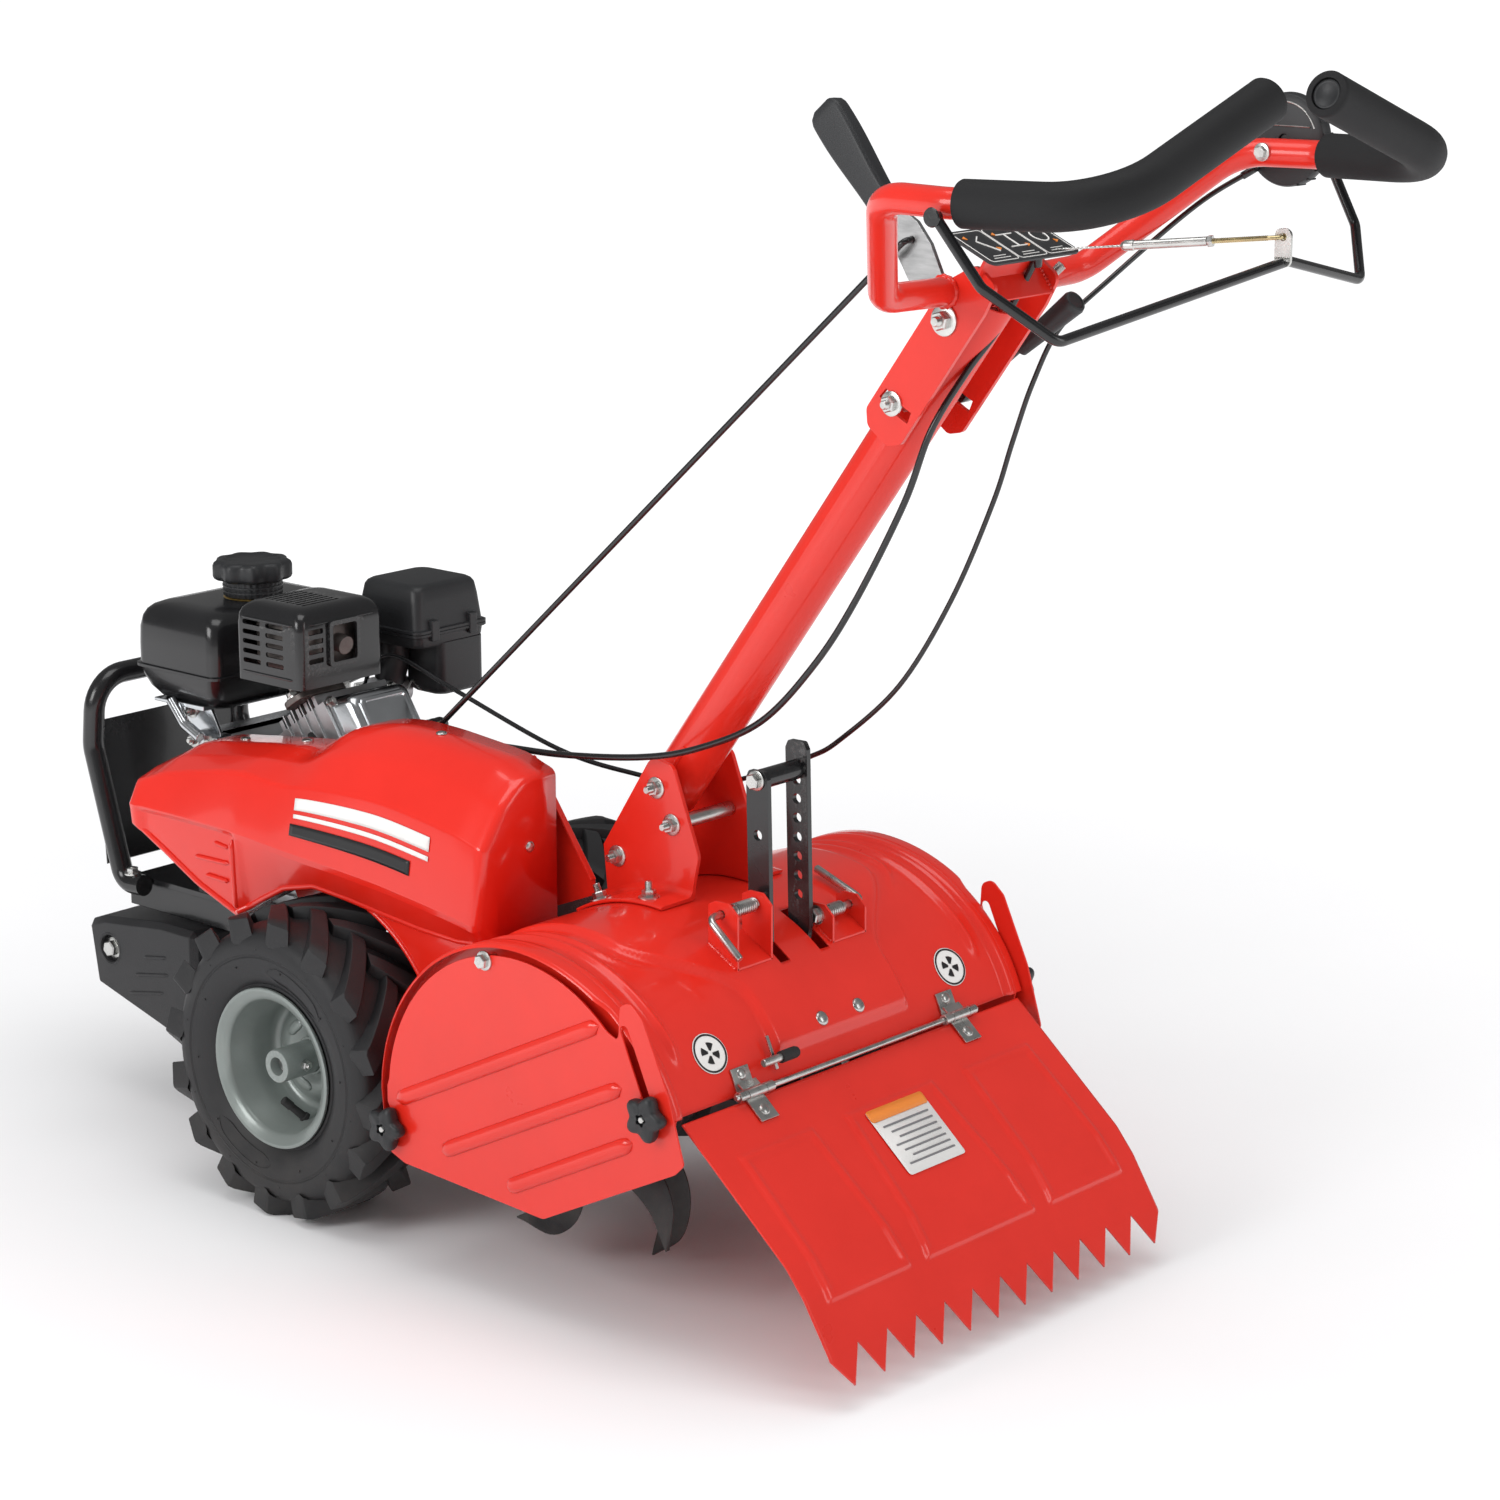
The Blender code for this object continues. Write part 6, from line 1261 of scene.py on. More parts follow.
# the column feet's flange bolts
for side, hand in SIDES:
    for i, x in enumerate((-0.38, -0.312)):
        up = Vector((x - HOOD_X, 0, math.sqrt(HOOD_R ** 2 - (x - HOOD_X) ** 2))).normalized()
        spot = Vector((HOOD_X, side * 0.078, HOOD_Z)) + up * (HOOD_R + 0.0046)
        fastener(f"{hand}_foot_flange_bolt_{i}", spot, up, 0.0078, "chassis", stud=0.009)

# hinge: long rod, upper leaves on the hood, lower leaves on the flap, latch pin with a rubber tip
HINGE = Vector((-0.6015, 0.0, 0.255))
LEAF_Y, LEAF_IN, LEAF_OUT = 0.163, 0.15, 0.176
bm = bmesh.new()
shaft(bm, 0.003, 0.1925, (0.0006, 0.001), HINGE, (0, 1, 0), 24)
piece("hinge_bar", bm, ZINC, "chassis", replaces=["hinge_rod"])
for side, hand in SIDES:
    rows = []
    for i in range(9):
        d = 160.8 - 0.85 * i
        low, high = (hood_spot(d, side * LEAF_Y + wide, hood_relief(d, side * LEAF_Y) + 0.0005)
                     for wide in (-0.013, 0.013))
        rows.append([low, low.lerp(high, 0.5), high])
    bm = bmesh.new()
    sheet(bm, rows)
    piece(f"{hand}_upper_hinge_leaf", bm, ZINC, "chassis", thick=0.002, inwards=True, bevel=0.0004)
    bm = bmesh.new()
    for y0, y1 in ((0.1375, 0.1492), (0.1768, 0.1885)):
        collar(bm, 0.0033, 0.0055, y0, y1, HINGE, (0, side, 0), 28)
    plate(bm, [(-0.599, 0.258), (-0.5905, 0.264), (-0.589, 0.262), (-0.5985, 0.2555)],
          side * LEAF_IN, side * LEAF_OUT)
    piece(f"{hand}_hinge_knuckles", bm, ZINC, "chassis", 0.0003)
    rivet(f"{hand}_upper_leaf_rivet", on_hood(156.2, side * LEAF_Y, 0.0024), hood_out(155.0), 0.0062,
          "chassis")
up = hood_out(155.0)
latch = hood_spot(155.5, 0.127)
bm = bmesh.new()
plate(bm, rounded([(-0.5905, 0.264), (-0.576, 0.296), (-0.574, 0.2955), (-0.588, 0.2625)], 0.0009, 2),
      0.114, 0.118)
rod(bm, latch + Vector((0, 0.016, 0)) + up * 0.01, latch + Vector((0, -0.01, 0)) + up * 0.012, 0.0042)
piece("latch_pin", bm, ZINC, "chassis", 0.0004)
bm = bmesh.new()
sweep(bm, [latch + Vector((0, y, 0)) + up * 0.012 for y in (-0.008, -0.0082, -0.03, -0.033, -0.034)],
      [0.0046, 0.0062, 0.0062, 0.0052, 0.003], 22)
piece("latch_pin_tip", bm, BELT, "chassis")

# ---------------------------------------------------------------- side shields

SLIDE = Vector((0.414, 0.91)).normalized()
REAR_KNOB, FRONT_KNOB, TOP_BOLT = (-0.576, 0.256), (-0.206, 0.158), (-0.348, 0.368)


def slot(start, length, half=0.0055):
    heading = math.degrees(math.atan2(SLIDE.y, SLIDE.x))
    end = Vector(start) + SLIDE * length
    return (arc(*start, half, heading + 90, heading + 270, 9)
            + arc(*end, half, heading - 90, heading + 90, 9))


SHIELD_EDGE = fillet(
    [(-0.2035, 0.208), (-0.2, 0.202), (-0.2, 0.13), (-0.224, 0.121), (-0.425, 0.11), (-0.606, 0.202),
     (-0.618, 0.214), (-0.598, 0.28), (-0.564, 0.352), (-0.548, 0.366), (-0.534, 0.36), (-0.532, 0.326),
     (-0.523, 0.323)],
    (0.004, 0.01, 0.01, 0.014, 0.01, 0.006, 0.03, 0.012, 0.01, 0.01, 0.008), 5)
SHIELD_OUTLINE = SHIELD_EDGE[1:-1] + arc(HOOD_X, HOOD_Z, HOOD_R - 0.012, 132, 6, 60)
SHIELD_FACE, KNOB_Y = SHIELD_Y + 0.0022, SHIELD_Y + 0.0026
SHIELD_RIBS = (((-0.214, 0.1886), (-0.506, 0.334)), ((-0.28, 0.1478), (-0.536, 0.2758)),
               ((-0.375, 0.1316), (-0.55, 0.2217)))
KNOB_OUTLINE = [(0, 0.001), (0.0168, 0.001), (0.02, 0.003), (0.021, 0.006), (0.021, 0.011), (0.0198, 0.014),
                (0.016, 0.0155), (0.0092, 0.0156), (0.0082, 0.0162), (0.006, 0.0162), (0.0058, 0.012),
                (0, 0.012)]
for side, hand in SIDES:
    body, out = f"{hand}_shield", (0, side, 0)
    low, high = sorted((side * SHIELD_Y, side * SHIELD_FACE))
    cuts = [bmesh.new(), bmesh.new()]
    plate(cuts[0], slot(FRONT_KNOB, 0.07), low - 0.004, high + 0.004)
    plate(cuts[1], slot(TOP_BOLT, 0.03, 0.0062), low - 0.004, high + 0.004)
    bm = bmesh.new()
    plate(bm, SHIELD_OUTLINE, low, high, holes=[slot(REAR_KNOB, 0.087)])
    piece(f"{hand}_shield_plate", bm, RED, body, 0.0007, cuts=cuts, replaces=[f"{hand}_side_shield"])
    bm = bmesh.new()
    for (x0, z0), (x1, z1) in SHIELD_RIBS:
        bead(bm, line((x0, side * SHIELD_FACE, z0), (x1, side * SHIELD_FACE, z1), 40), 0.0086, 0.0056, out)
    piece(f"{hand}_shield_ribs", bm, RED, body)
    for name, (x, z) in (("front", FRONT_KNOB), ("rear", REAR_KNOB)):
        knob, spot = f"{hand}_{name}_knob", (x, side * KNOB_Y, z)
        bm = bmesh.new()
        lathe(bm, KNOB_OUTLINE, spot, out, 100, lobes=5, depth=0.165)
        collar(bm, 0.0046, 0.0095, 0.0, 0.0016, spot, out, 32)
        lathe(bm, [(0, -0.012), (0.0045, -0.012), (0.0045, 0.002), (0, 0.002)], spot, out, 24)
        piece(f"{knob}_moulding", bm, PLASTIC, knob, angle=50, replaces=[knob])
        bm = bmesh.new()
        lathe(bm, [(0, 0.0118), (0.003, 0.0118), (0.0034, 0.0128), (0.0034, 0.015), (0.0028, 0.0158),
                   (0, 0.0158)],
              spot, out, 20)
        piece(f"{knob}_stud", bm, ZINC, knob)
    x, z = TOP_BOLT
    bm = bmesh.new()
    rod(bm, (x, side * 0.272, z), (x, side * SHIELD_FACE, z), 0.0044)
    piece(f"{hand}_shield_bolt_shank", bm, ZINC, "chassis")
    fastener(f"{hand}_shield_bolt", (x, side * KNOB_Y, z), out, 0.0078, "chassis", washer=1.3, nut=False)

# ---------------------------------------------------------------- rear flap

# the sheet's side view, and the distance run down it to each point
PROFILE = fillet([(-0.599, 0.2476), (-0.734, 0.134), (-0.756, 0.108), (-0.789, 0.056), (-0.804, 0.024)],
                 (0.03, 0.02, 0.04), 8)
RUN = [0.0]
for a, b in zip(PROFILE, PROFILE[1:]):
    RUN.append(RUN[-1] + (b - a).length)
FLAP_HALF, PITCH = 0.268, 0.0447


def flap_spot(run, y, lift=0.0):
    """A point on the flap, by how far down it lies and how far across."""
    for i in range(len(RUN) - 1):
        if run <= RUN[i + 1] or i == len(RUN) - 2:
            t = (run - RUN[i]) / (RUN[i + 1] - RUN[i])
            spot = PROFILE[i].lerp(PROFILE[i + 1], t)
            way = (PROFILE[i + 1] - PROFILE[i]).normalized()
            return Vector((spot.x, y, spot.y)) + Vector((way.y, 0, -way.x)) * lift


def teeth_run(y):
    """How far down the sheet reaches at a place across it: a row of twelve teeth."""
    tips = RUN[-1] - 0.0016
    outermost = PITCH * 5.5
    if abs(y) > outermost:
        return tips - 0.03 * min(1.0, (abs(y) - outermost) / (PITCH / 2))
    return tips - 0.0385 * abs(((y + outermost) / PITCH + 0.5) % 1 - 0.5) * 2


def flap_relief(run, y):
    """Three pressed panels, each a raised band round a flat middle, and a stiffened edge."""
    total = 0.0
    for middle, half in ((0.0, 0.083), (0.176, 0.062), (-0.176, 0.062)):
        taper = 0.02 * (0.5 - (run - 0.055) / 0.19)
        dx, dy = abs(y - middle) - (half - taper * (1 if middle == 0 else 0.4)), abs(run - 0.138) - 0.088
        if dx > 0 and dy > 0:
            away = math.hypot(dx + 0.014, dy + 0.014) - 0.014
        else:
            away = max(dx, dy)
        total = max(total, 0.0024 * ease(away, -0.001, -0.0055) - 0.0016 * ease(away, -0.0095, -0.0135))
    return total


PLAIN_SHARE, PLAIN_RUN = 0.88, RUN[-1] - 0.045


def flap_column(y, steps=110):
    """Points down the sheet: the plain part at an even pitch, then on to the toothed edge."""
    spots = []
    for k in range(steps + 1):
        t = k / steps
        run = PLAIN_RUN * t / PLAIN_SHARE
        if t >= PLAIN_SHARE:
            run = PLAIN_RUN + (teeth_run(y) - PLAIN_RUN) * (t - PLAIN_SHARE) / (1 - PLAIN_SHARE)
        spots.append(flap_spot(run, y, flap_relief(run, y)))
    return spots


bm = bmesh.new()
sheet(bm, [flap_column(y) for y in [-FLAP_HALF] + [PITCH / 16 * i for i in range(-95, 96)] + [FLAP_HALF]])
piece("flap_sheet", bm, RED, "flap", thick=0.002, angle=60, replaces=["rear_flap"])


def flap_print(name, y0, y1, run0, run1, lift, mat):
    corner = min(0.004, (run1 - run0) * 0.3, (y1 - y0) * 0.3)
    bm = bmesh.new()
    edge = rounded(oblong(y0, y1, run0, run1), corner, 4)
    bm.faces.new([bm.verts.new(flap_spot(run, y, lift)) for y, run in edge])
    bmesh.ops.triangulate(bm, faces=bm.faces)
    piece(name, bm, mat, "flap", thick=0.0002)


flap_print("blank_label", -0.044, 0.046, 0.059, 0.1395, 0.0022, WHITE_PRINT)
flap_print("blank_label_band", -0.044, 0.046, 0.059, 0.0735, 0.0026, ORANGE_PRINT)
for i in range(7):
    flap_print(f"blank_label_rule_{i}", -0.036, 0.036 - 0.006 * (i % 3), 0.08 + 0.0078 * i,
               0.0822 + 0.0078 * i, 0.0026, GREY_PRINT)

for side, hand in SIDES:
    bm = bmesh.new()
    sheet(bm, [[flap_spot(-0.004 + 0.004 * k, side * y, 0.003) for y in (LEAF_IN, LEAF_Y, LEAF_OUT)]
               for k in range(9)])
    piece(f"{hand}_flap_leaf", bm, ZINC, "flap", thick=0.002, bevel=0.0004, replaces=[f"{hand}_flap_hinge"])
    bm = bmesh.new()
    collar(bm, 0.0034, 0.0056, LEAF_IN, LEAF_OUT, HINGE, (0, side, 0), 28)
    piece(f"{hand}_flap_knuckle", bm, ZINC, "flap", 0.0003)
    out = (flap_spot(0.03, 0, 1) - flap_spot(0.03, 0, 0)).normalized()
    rivet(f"{hand}_flap_leaf_rivet", flap_spot(0.0165, side * LEAF_Y, 0.003), out, 0.0064, "flap")

# ---------------------------------------------------------------- depth stake and lock pins

DEPTH_Y, DEPTH_LEAN = 0.031, math.radians(1.5)
DEPTH_TOP = Vector((-0.489, 0.56))
DEPTH_WAY = Vector((-math.sin(DEPTH_LEAN), -math.cos(DEPTH_LEAN)))


def stake(distance, across=0.0):
    spot = DEPTH_TOP + DEPTH_WAY * distance + Vector((DEPTH_WAY.y, -DEPTH_WAY.x)) * across
    return (spot.x, spot.y)


HALF, BAR_THICK, HOLE_R = 0.0145, 0.003, 0.0056


def depth_bar(name, node, y, top, foot, holes):
    """One bar of the stake: a chamfered top, its own foot, and a row of holes."""
    bm = bmesh.new()
    outline = [(top, -0.0105), (top, 0.0105), (top + 0.008, HALF), *foot, (top + 0.008, -HALF)]
    plate(bm, rounded([stake(*spot) for spot in outline], 0.004, 4), y - BAR_THICK, y + BAR_THICK,
          holes=[circle(*stake(along), HOLE_R, 28) for along in holes])
    piece(name, bm, BLACK, "depth_stake", 0.0007, replaces=[node])


depth_bar("long_depth_bar", "depth_bar_long", -DEPTH_Y, 0.0,
          [(0.196, HALF), (0.25, 0.0015), (0.25, -0.0125), (0.186, -HALF)],
          [0.041 + 0.0205 * i for i in range(7)])
depth_bar("short_depth_bar", "depth_bar_short", DEPTH_Y, 0.02,
          [(0.2, HALF), (0.212, 0.006), (0.212, -0.006), (0.2, -HALF)], (0.088, 0.168))
x, z = stake(0.03)
bm = bmesh.new()
shaft(bm, 0.0105, 0.0278, (0.001, 0.0012), (x, 0, z), (0, 1, 0), 32)
piece("depth_spacer", bm, BLACK, "depth_stake", replaces=["depth_bar_spacer"])
for name, way, stud in (("bolt", 1, 0.0), ("nut", -1, 0.004)):
    fastener(f"depth_spacer_{name}", (x, way * (DEPTH_Y + BAR_THICK), z), (0, way, 0), 0.0085, "depth_stake",
             washer=1.25, stud=stud, nut=False)
PULL_END = {1: (-0.044, -0.034), -1: (0.066, 0.022)}
for side, hand in SIDES:
    (x, z), (reach_x, reach_z) = PIN_AT[side], PULL_END[side]
    path = fillet([(x, side * 0.0385, z), (x, side * 0.119, z), (x + reach_x, side * 0.121, z + reach_z)],
                  0.01, 10)
    nip_in, nip_out = (path[1] - path[0]).normalized() * 0.0012, (path[-1] - path[-2]).normalized() * 0.0012
    path = [path[0], path[0] + nip_in] + path[1:-1] + [path[-1] - nip_out, path[-1]]
    bm = bmesh.new()
    sweep(bm, path, [0.0032] + [0.0042] * (len(path) - 2) + [0.0034], 20)
    collar(bm, 0.004, 0.0072, 0.0, 0.0018, (x, side * 0.081, z), (0, side, 0), 28)
    piece(f"{hand}_pull_pin", bm, ZINC, f"{hand}_pin", angle=50, replaces=[f"{hand}_lock_pin"])

# ---------------------------------------------------------------- column and its brackets

foot = arc(HOOD_X, HOOD_Z, HOOD_R + 0.0008, 96, 61, 28)
WEB_OUTLINE = fillet([(-0.286, 0.428), (-0.356, 0.536), (-0.386, 0.53), (-0.422, 0.438), foot[0]],
                     (0.016, 0.012, 0.02), 8)[:-1] + foot
FLANGE_SECTION = ((0.0432, 0.014), (0.0478, 0.014), (0.0482, 0.01), (0.05, 0.0066), (0.054, 0.0048),
                  (0.09, 0.0046), (0.0948, 0.004), (0.096, 0.0026), (0.0948, 0.0008), (0.05, 0.0008),
                  (0.044, 0.002))
SPACER = (-0.385, 0.467)
for side, hand in SIDES:
    bm = bmesh.new()
    plate(bm, WEB_OUTLINE, side * 0.043, side * 0.048)
    piece(f"{hand}_column_web", bm, RED, "chassis", 0.0009, replaces=[f"{hand}_column_plate"])
    bm = bmesh.new()
    loft(bm, [[hood_spot(61 + 1.25 * i, side * y, lift) for y, lift in FLANGE_SECTION] for i in range(29)])
    piece(f"{hand}_column_foot", bm, RED, "chassis", angle=50)
    for i, (x, z) in enumerate(((-0.363, 0.503), (-0.307, 0.419), SPACER)):
        fastener(f"{hand}_column_bolt_{i}", (x, side * 0.048, z), (0, side, 0), 0.008, "chassis",
                 stud=0.0075)
bm = bmesh.new()
rod(bm, (SPACER[0], -0.0426, SPACER[1]), (SPACER[0], 0.0426, SPACER[1]), 0.0078, 32)
piece("column_spacer_pin", bm, ZINC, "chassis")
rings = []
for distance, r in ((0.672, 0.0255), (0.672, 0.0285), (-0.025, 0.0285), (-0.026, 0.0278), (-0.026, 0.0258),
                    (0.64, 0.0255)):
    place = facing(on_column(distance), COLUMN_WAY)
    rings.append([place @ Vector((r * math.cos(a), r * math.sin(a), 0)) for a in turns(64)])
bm = bmesh.new()
loft(bm, rings, closed=True)
cuts = []
for spot in (PIVOT, CLAMP_AT):
    cuts.append(bmesh.new())
    rod(cuts[-1], (spot.x, -0.05, spot.z), (spot.x, 0.05, spot.z), 0.006, 28, 0.0001)
piece("column_outer", bm, RED, "chassis", angle=50, cuts=cuts, replaces=["column_tube"])
FOOT_TUBE = 0.648
bm = bmesh.new()
rod(bm, on_column(FOOT_TUBE, 0, -0.0427), on_column(FOOT_TUBE, 0, 0.0427), 0.01, 32)
for side in (-1, 1):
    weld(bm, [on_column(FOOT_TUBE, 0.01 * math.cos(a), side * 0.0275) + COLUMN_WAY * (0.0105 * math.sin(a))
              for a in turns(24, 1)], 0.002)
    rippled(bm, [on_column(0.596 + 0.003 * i, 0.0, side * 0.0285) for i in range(18)], 0.0024, pace=2.2)
piece("column_foot_tube", bm, RED, "chassis", angle=50)
fastener("column_low_bolt", (-0.68, 0.0283, 0.937), (0, 1, 0), 0.0075, "chassis", nut=False, washer=0)

# ---------------------------------------------------------------- handlebar

BAR_PATH = [(-0.74, 0.047, 1.053), (-0.749, 0.153, 1.057), (-0.846, 0.274, 1.168),
            (-0.93, 0.286, 1.169), (-1.09, 0.264, 1.173), (-1.093, 0.046, 1.251)]
BAR_BENDS = (0.045, 0.06, 0.045, 0.08)


def bar_route(side, steps=14):
    return fillet([(x, side * y, z) for x, y, z in BAR_PATH], BAR_BENDS, steps)


LOW_DEG = math.degrees(math.atan2(CLAMP_AT.z - PIVOT.z, CLAMP_AT.x - PIVOT.x))
RAIL_SLOT = (arc(PIVOT.x, PIVOT.z, 0.113, LOW_DEG - 13.2, LOW_DEG + 8.0, 24)
             + arc(PIVOT.x, PIVOT.z, 0.101, LOW_DEG + 8.0, LOW_DEG - 13.2, 24))
RAIL_OUTLINE = rounded([on_column(*spot).xz for spot in (
    (-0.034, -0.032), (-0.066, -0.028), (-0.066, 0.004), (-0.03, 0.0215), (0.132, 0.0215), (0.145, 0.01),
    (0.145, -0.02), (0.132, -0.032))], 0.01, 6)
GRIP_FRONT = -0.944


def grip_route(route):
    """The part of a bar's route that the foam covers, from its front end on, cut into short steps."""
    inside = [spot for spot in route if spot.x < GRIP_FRONT - 0.001]
    before = route[route.index(inside[0]) - 1]
    path = [before.lerp(inside[0], (before.x - GRIP_FRONT) / (before.x - inside[0].x))] + inside
    steps = []
    for a, b in zip(path, path[1:]):
        count = max(1, int((b - a).length / 0.006))
        steps += [a.lerp(b, k / count) for k in range(count)]
    return steps + [path[-1]]


for side, hand in SIDES:
    bm = bmesh.new()
    plate(bm, RAIL_OUTLINE, side * 0.045, side * 0.05,
          holes=[RAIL_SLOT, circle(PIVOT.x, PIVOT.z, 0.006, 28)])
    piece(f"{hand}_rail", bm, RED, "handlebar", 0.0008, replaces=["handlebar"] if side > 0 else ())
    route = bar_route(side)
    grip = grip_route(route)
    first_way, last_way = (grip[1] - grip[0]).normalized(), (route[-1] - route[-2]).normalized()
    bm = bmesh.new()
    sweep(bm, route[:-1] + [route[-1] - last_way * 0.004], 0.014, 32)
    piece(f"{hand}_bar", bm, RED, "handlebar", angle=50)
    bm = bmesh.new()
    rippled(bm, ring_about(BAR_PATH[0][0], side * 0.0512, BAR_PATH[0][2], 0.0142, turns(40, 1)), 0.0028,
            0.22)
    piece(f"{hand}_bar_weld", bm, RED, "handlebar", angle=60)

    end = grip[-1]
    points = ([grip[0] - first_way * 0.0002, grip[0], grip[0] + first_way * 0.0015] + grip[1:-1]
              + [end - last_way * 0.002, end - last_way * 0.0004, end])
    bm = bmesh.new()
    sweep(bm, points, [0.0152, 0.0206] + [0.0214] * (len(points) - 5) + [0.0215, 0.0206, 0.018], 48)
    tool = bmesh.new()
    sweep(tool, [end - last_way * 0.004, end + last_way * 0.005], 0.0148, 40)
    piece(f"{hand}_foam_grip", bm, FOAM, "handlebar", angle=50, cuts=[tool], replaces=[f"{hand}_grip"])
    bm = bmesh.new()
    lathe(bm, [(0, 0.0), (0.0142, 0.0), (0.0142, 0.002), (0.0132, 0.003), (0.0108, 0.003), (0.01, 0.0022),
               (0, 0.0022)], end - last_way * 0.0045, last_way, 40)
    piece(f"{hand}_bar_end_plug", bm, PLASTIC, "handlebar", angle=50)
bm = bmesh.new()
plate(bm, [(-0.796, 1.048), (-0.776, 1.0765), (-0.7735, 1.075), (-0.7925, 1.046)], -0.047, 0.047)
plate(bm, [(-0.78, 1.065), (-0.795, 1.09), (-0.8, 1.096), (-0.7975, 1.097), (-0.7925, 1.092),
           (-0.7775, 1.067)], -0.03, 0.056)
piece("rail_bridge", bm, RED, "handlebar", 0.0006)
bm = bmesh.new()
for side in (-1, 1):
    weld(bm, [(-0.795, side * 0.0448, 1.048), (-0.777, side * 0.0448, 1.074)], 0.0022)
piece("bridge_welds", bm, RED, "handlebar")

# pivot bolt, clamp and the bolt that stands out of the right rail
bm = bmesh.new()
rod(bm, (PIVOT.x, -0.06, PIVOT.z), (PIVOT.x, 0.062, PIVOT.z), 0.005, 28)
piece("pivot_bolt_shank", bm, ZINC, "chassis", replaces=["handle_pivot_bolt"])
fastener("pivot_nut_left", (PIVOT.x, 0.0503, PIVOT.z), (0, 1, 0), 0.0098, "chassis", stud=0.0055,
         washer=1.55)
fastener("pivot_nut_right", (PIVOT.x, -0.0503, PIVOT.z), (0, -1, 0), 0.0098, "chassis", washer=1.35)
x, z = CLAMP_AT.x, CLAMP_AT.z
bm = bmesh.new()
rod(bm, (x, -0.064, z), (x, 0.06, z), 0.0047, 28)
piece("clamp_bolt_shank", bm, ZINC, "clamp")
fastener("clamp_nut", (x, 0.0503, z), (0, 1, 0), 0.0085, "clamp", stud=0.0045, washer=1.45)
bm = bmesh.new()
lathe(bm, [(0, 0.0), (0.0112, 0.0), (0.012, 0.001), (0.012, 0.014), (0.0108, 0.016), (0, 0.016)],
      (x, -0.0503, z), (0, -1, 0), 36)
arm = fillet([(x, -0.066, z), (x - 0.008, -0.079, z + 0.008), (-0.733, -0.085, 0.99)], 0.008, 8)
sweep(bm, arm, 0.005, 20)
piece("clamp_arm", bm, BLACK, "clamp", angle=50, replaces=["clamp_lever"])
bm = bmesh.new()
start, end = Vector((-0.727, -0.085, 0.983)), Vector((-0.794, -0.085, 1.036))
way = (end - start).normalized()
lathe(bm, [(0, 0.0), (0.007, 0.0), (0.0084, 0.0012), (0.0104, 0.04), (0.0122, 0.078), (0.0124, 0.081),
           (0.0112, 0.0842), (0.009, 0.0852), (0.0085, 0.084), (0, 0.084)], start, way, 40)
piece("clamp_handle", bm, PLASTIC, "clamp", angle=40)
bm = bmesh.new()
ridge = [(0.0046, 0.0)] + thread(0.005, 0.0044, 0.0004, 0.0014, 0.0007, 18)
lathe(bm, [(0, 0.0)] + ridge + [(0, 0.0258)], (-0.78, -0.05, 1.055), (-0.55, -0.45, 0.7), 18)
piece("rail_stud", bm, ZINC, "handlebar", angle=25)

# gear lever, rod and arm
LEVER_WAY = (Vector((-0.579, 1.216)) - PIVOT.xz).normalized()
LEVER_SIDE = Vector((LEVER_WAY.y, -LEVER_WAY.x))
LEVER_Y = 0.0365
ROD_TOP, ROD_FOOT = (-0.69, 1.097), (-0.03, 0.495)


def on_lever(distance, across):
    return PIVOT.xz + LEVER_WAY * distance + LEVER_SIDE * across


bm = bmesh.new()
plate(bm, rounded([on_lever(-0.014, -0.012), on_lever(-0.014, 0.012), on_lever(0.06, 0.02),
                   on_lever(0.13, 0.01), on_lever(0.18, 0.009), on_lever(0.18, -0.009),
                   on_lever(0.13, -0.011), on_lever(0.096, -0.024), on_lever(0.07, -0.024),
                   on_lever(0.03, -0.014)], 0.006, 5),
      LEVER_Y - 0.0025, LEVER_Y + 0.0025,
      holes=[circle(PIVOT.x, PIVOT.z, 0.0056, 28), circle(*ROD_TOP, 0.0036, 20)])
piece("gear_lever_blade", bm, STEEL, "gear_lever", 0.0006, replaces=["shift_lever"])
rings = []
for k in range(25):
    t = k / 24
    d = 0.1352 + 0.115 * t
    wide = 0.0152 + 0.0056 * ease(t, 0.0, 0.8) - 0.002 * ease(t, 0.88, 1.0)
    thick = 0.0086 + 0.0012 * math.sin(math.pi * min(1.0, t * 1.1))
    end = max(0.0, (t - 0.93) / 0.07)
    start = max(0.0, (0.03 - t) / 0.03)
    shrink = 1 - 0.34 * end * end - 0.1 * start
    loop = rounded(oblong(-wide * shrink, wide * shrink, -thick * shrink, thick * shrink), 0.005 * shrink, 5)
    spots = [(on_lever(d, across), y) for across, y in loop]
    rings.append([(spot.x, LEVER_Y + y, spot.y) for spot, y in spots])
bm = bmesh.new()
loft(bm, rings)
piece("gear_lever_paddle", bm, PLASTIC, "gear_lever", angle=50)
bm = bmesh.new()
path = fillet([(ROD_TOP[0], LEVER_Y - 0.002, ROD_TOP[1]), (ROD_TOP[0], 0.05, ROD_TOP[1]),
               (ROD_FOOT[0], 0.069, ROD_FOOT[1]), (ROD_FOOT[0], 0.06, ROD_FOOT[1])], 0.006, 8)
sweep(bm, path, 0.0032, 18)
piece("gear_rod_bar", bm, BLACK, "gear_rod", angle=50, replaces=["shift_rod"])
bm = bmesh.new()
foot, top = Vector((ROD_FOOT[0], 0.0687, ROD_FOOT[1])), Vector((ROD_TOP[0], 0.0503, ROD_TOP[1]))
way = (top - foot).normalized()
ridge = thread(0.0038, 0.0033, 0.012, 0.0014, 0.0007, 26)
lathe(bm, [(0, 0.012)] + ridge + [(0, 0.049)], foot, way, 16)
lathe(bm, [(0.0033, 0.036), (0.0068, 0.036), (0.007, 0.0366), (0.007, 0.0405), (0.0066, 0.041),
           (0.0033, 0.041)], foot, way, 6, closed=True)
piece("gear_rod_thread", bm, YELLOW_ZINC, "gear_rod", angle=25)
refined("shift_arm", STEEL, "gear_arm", 0.0008)

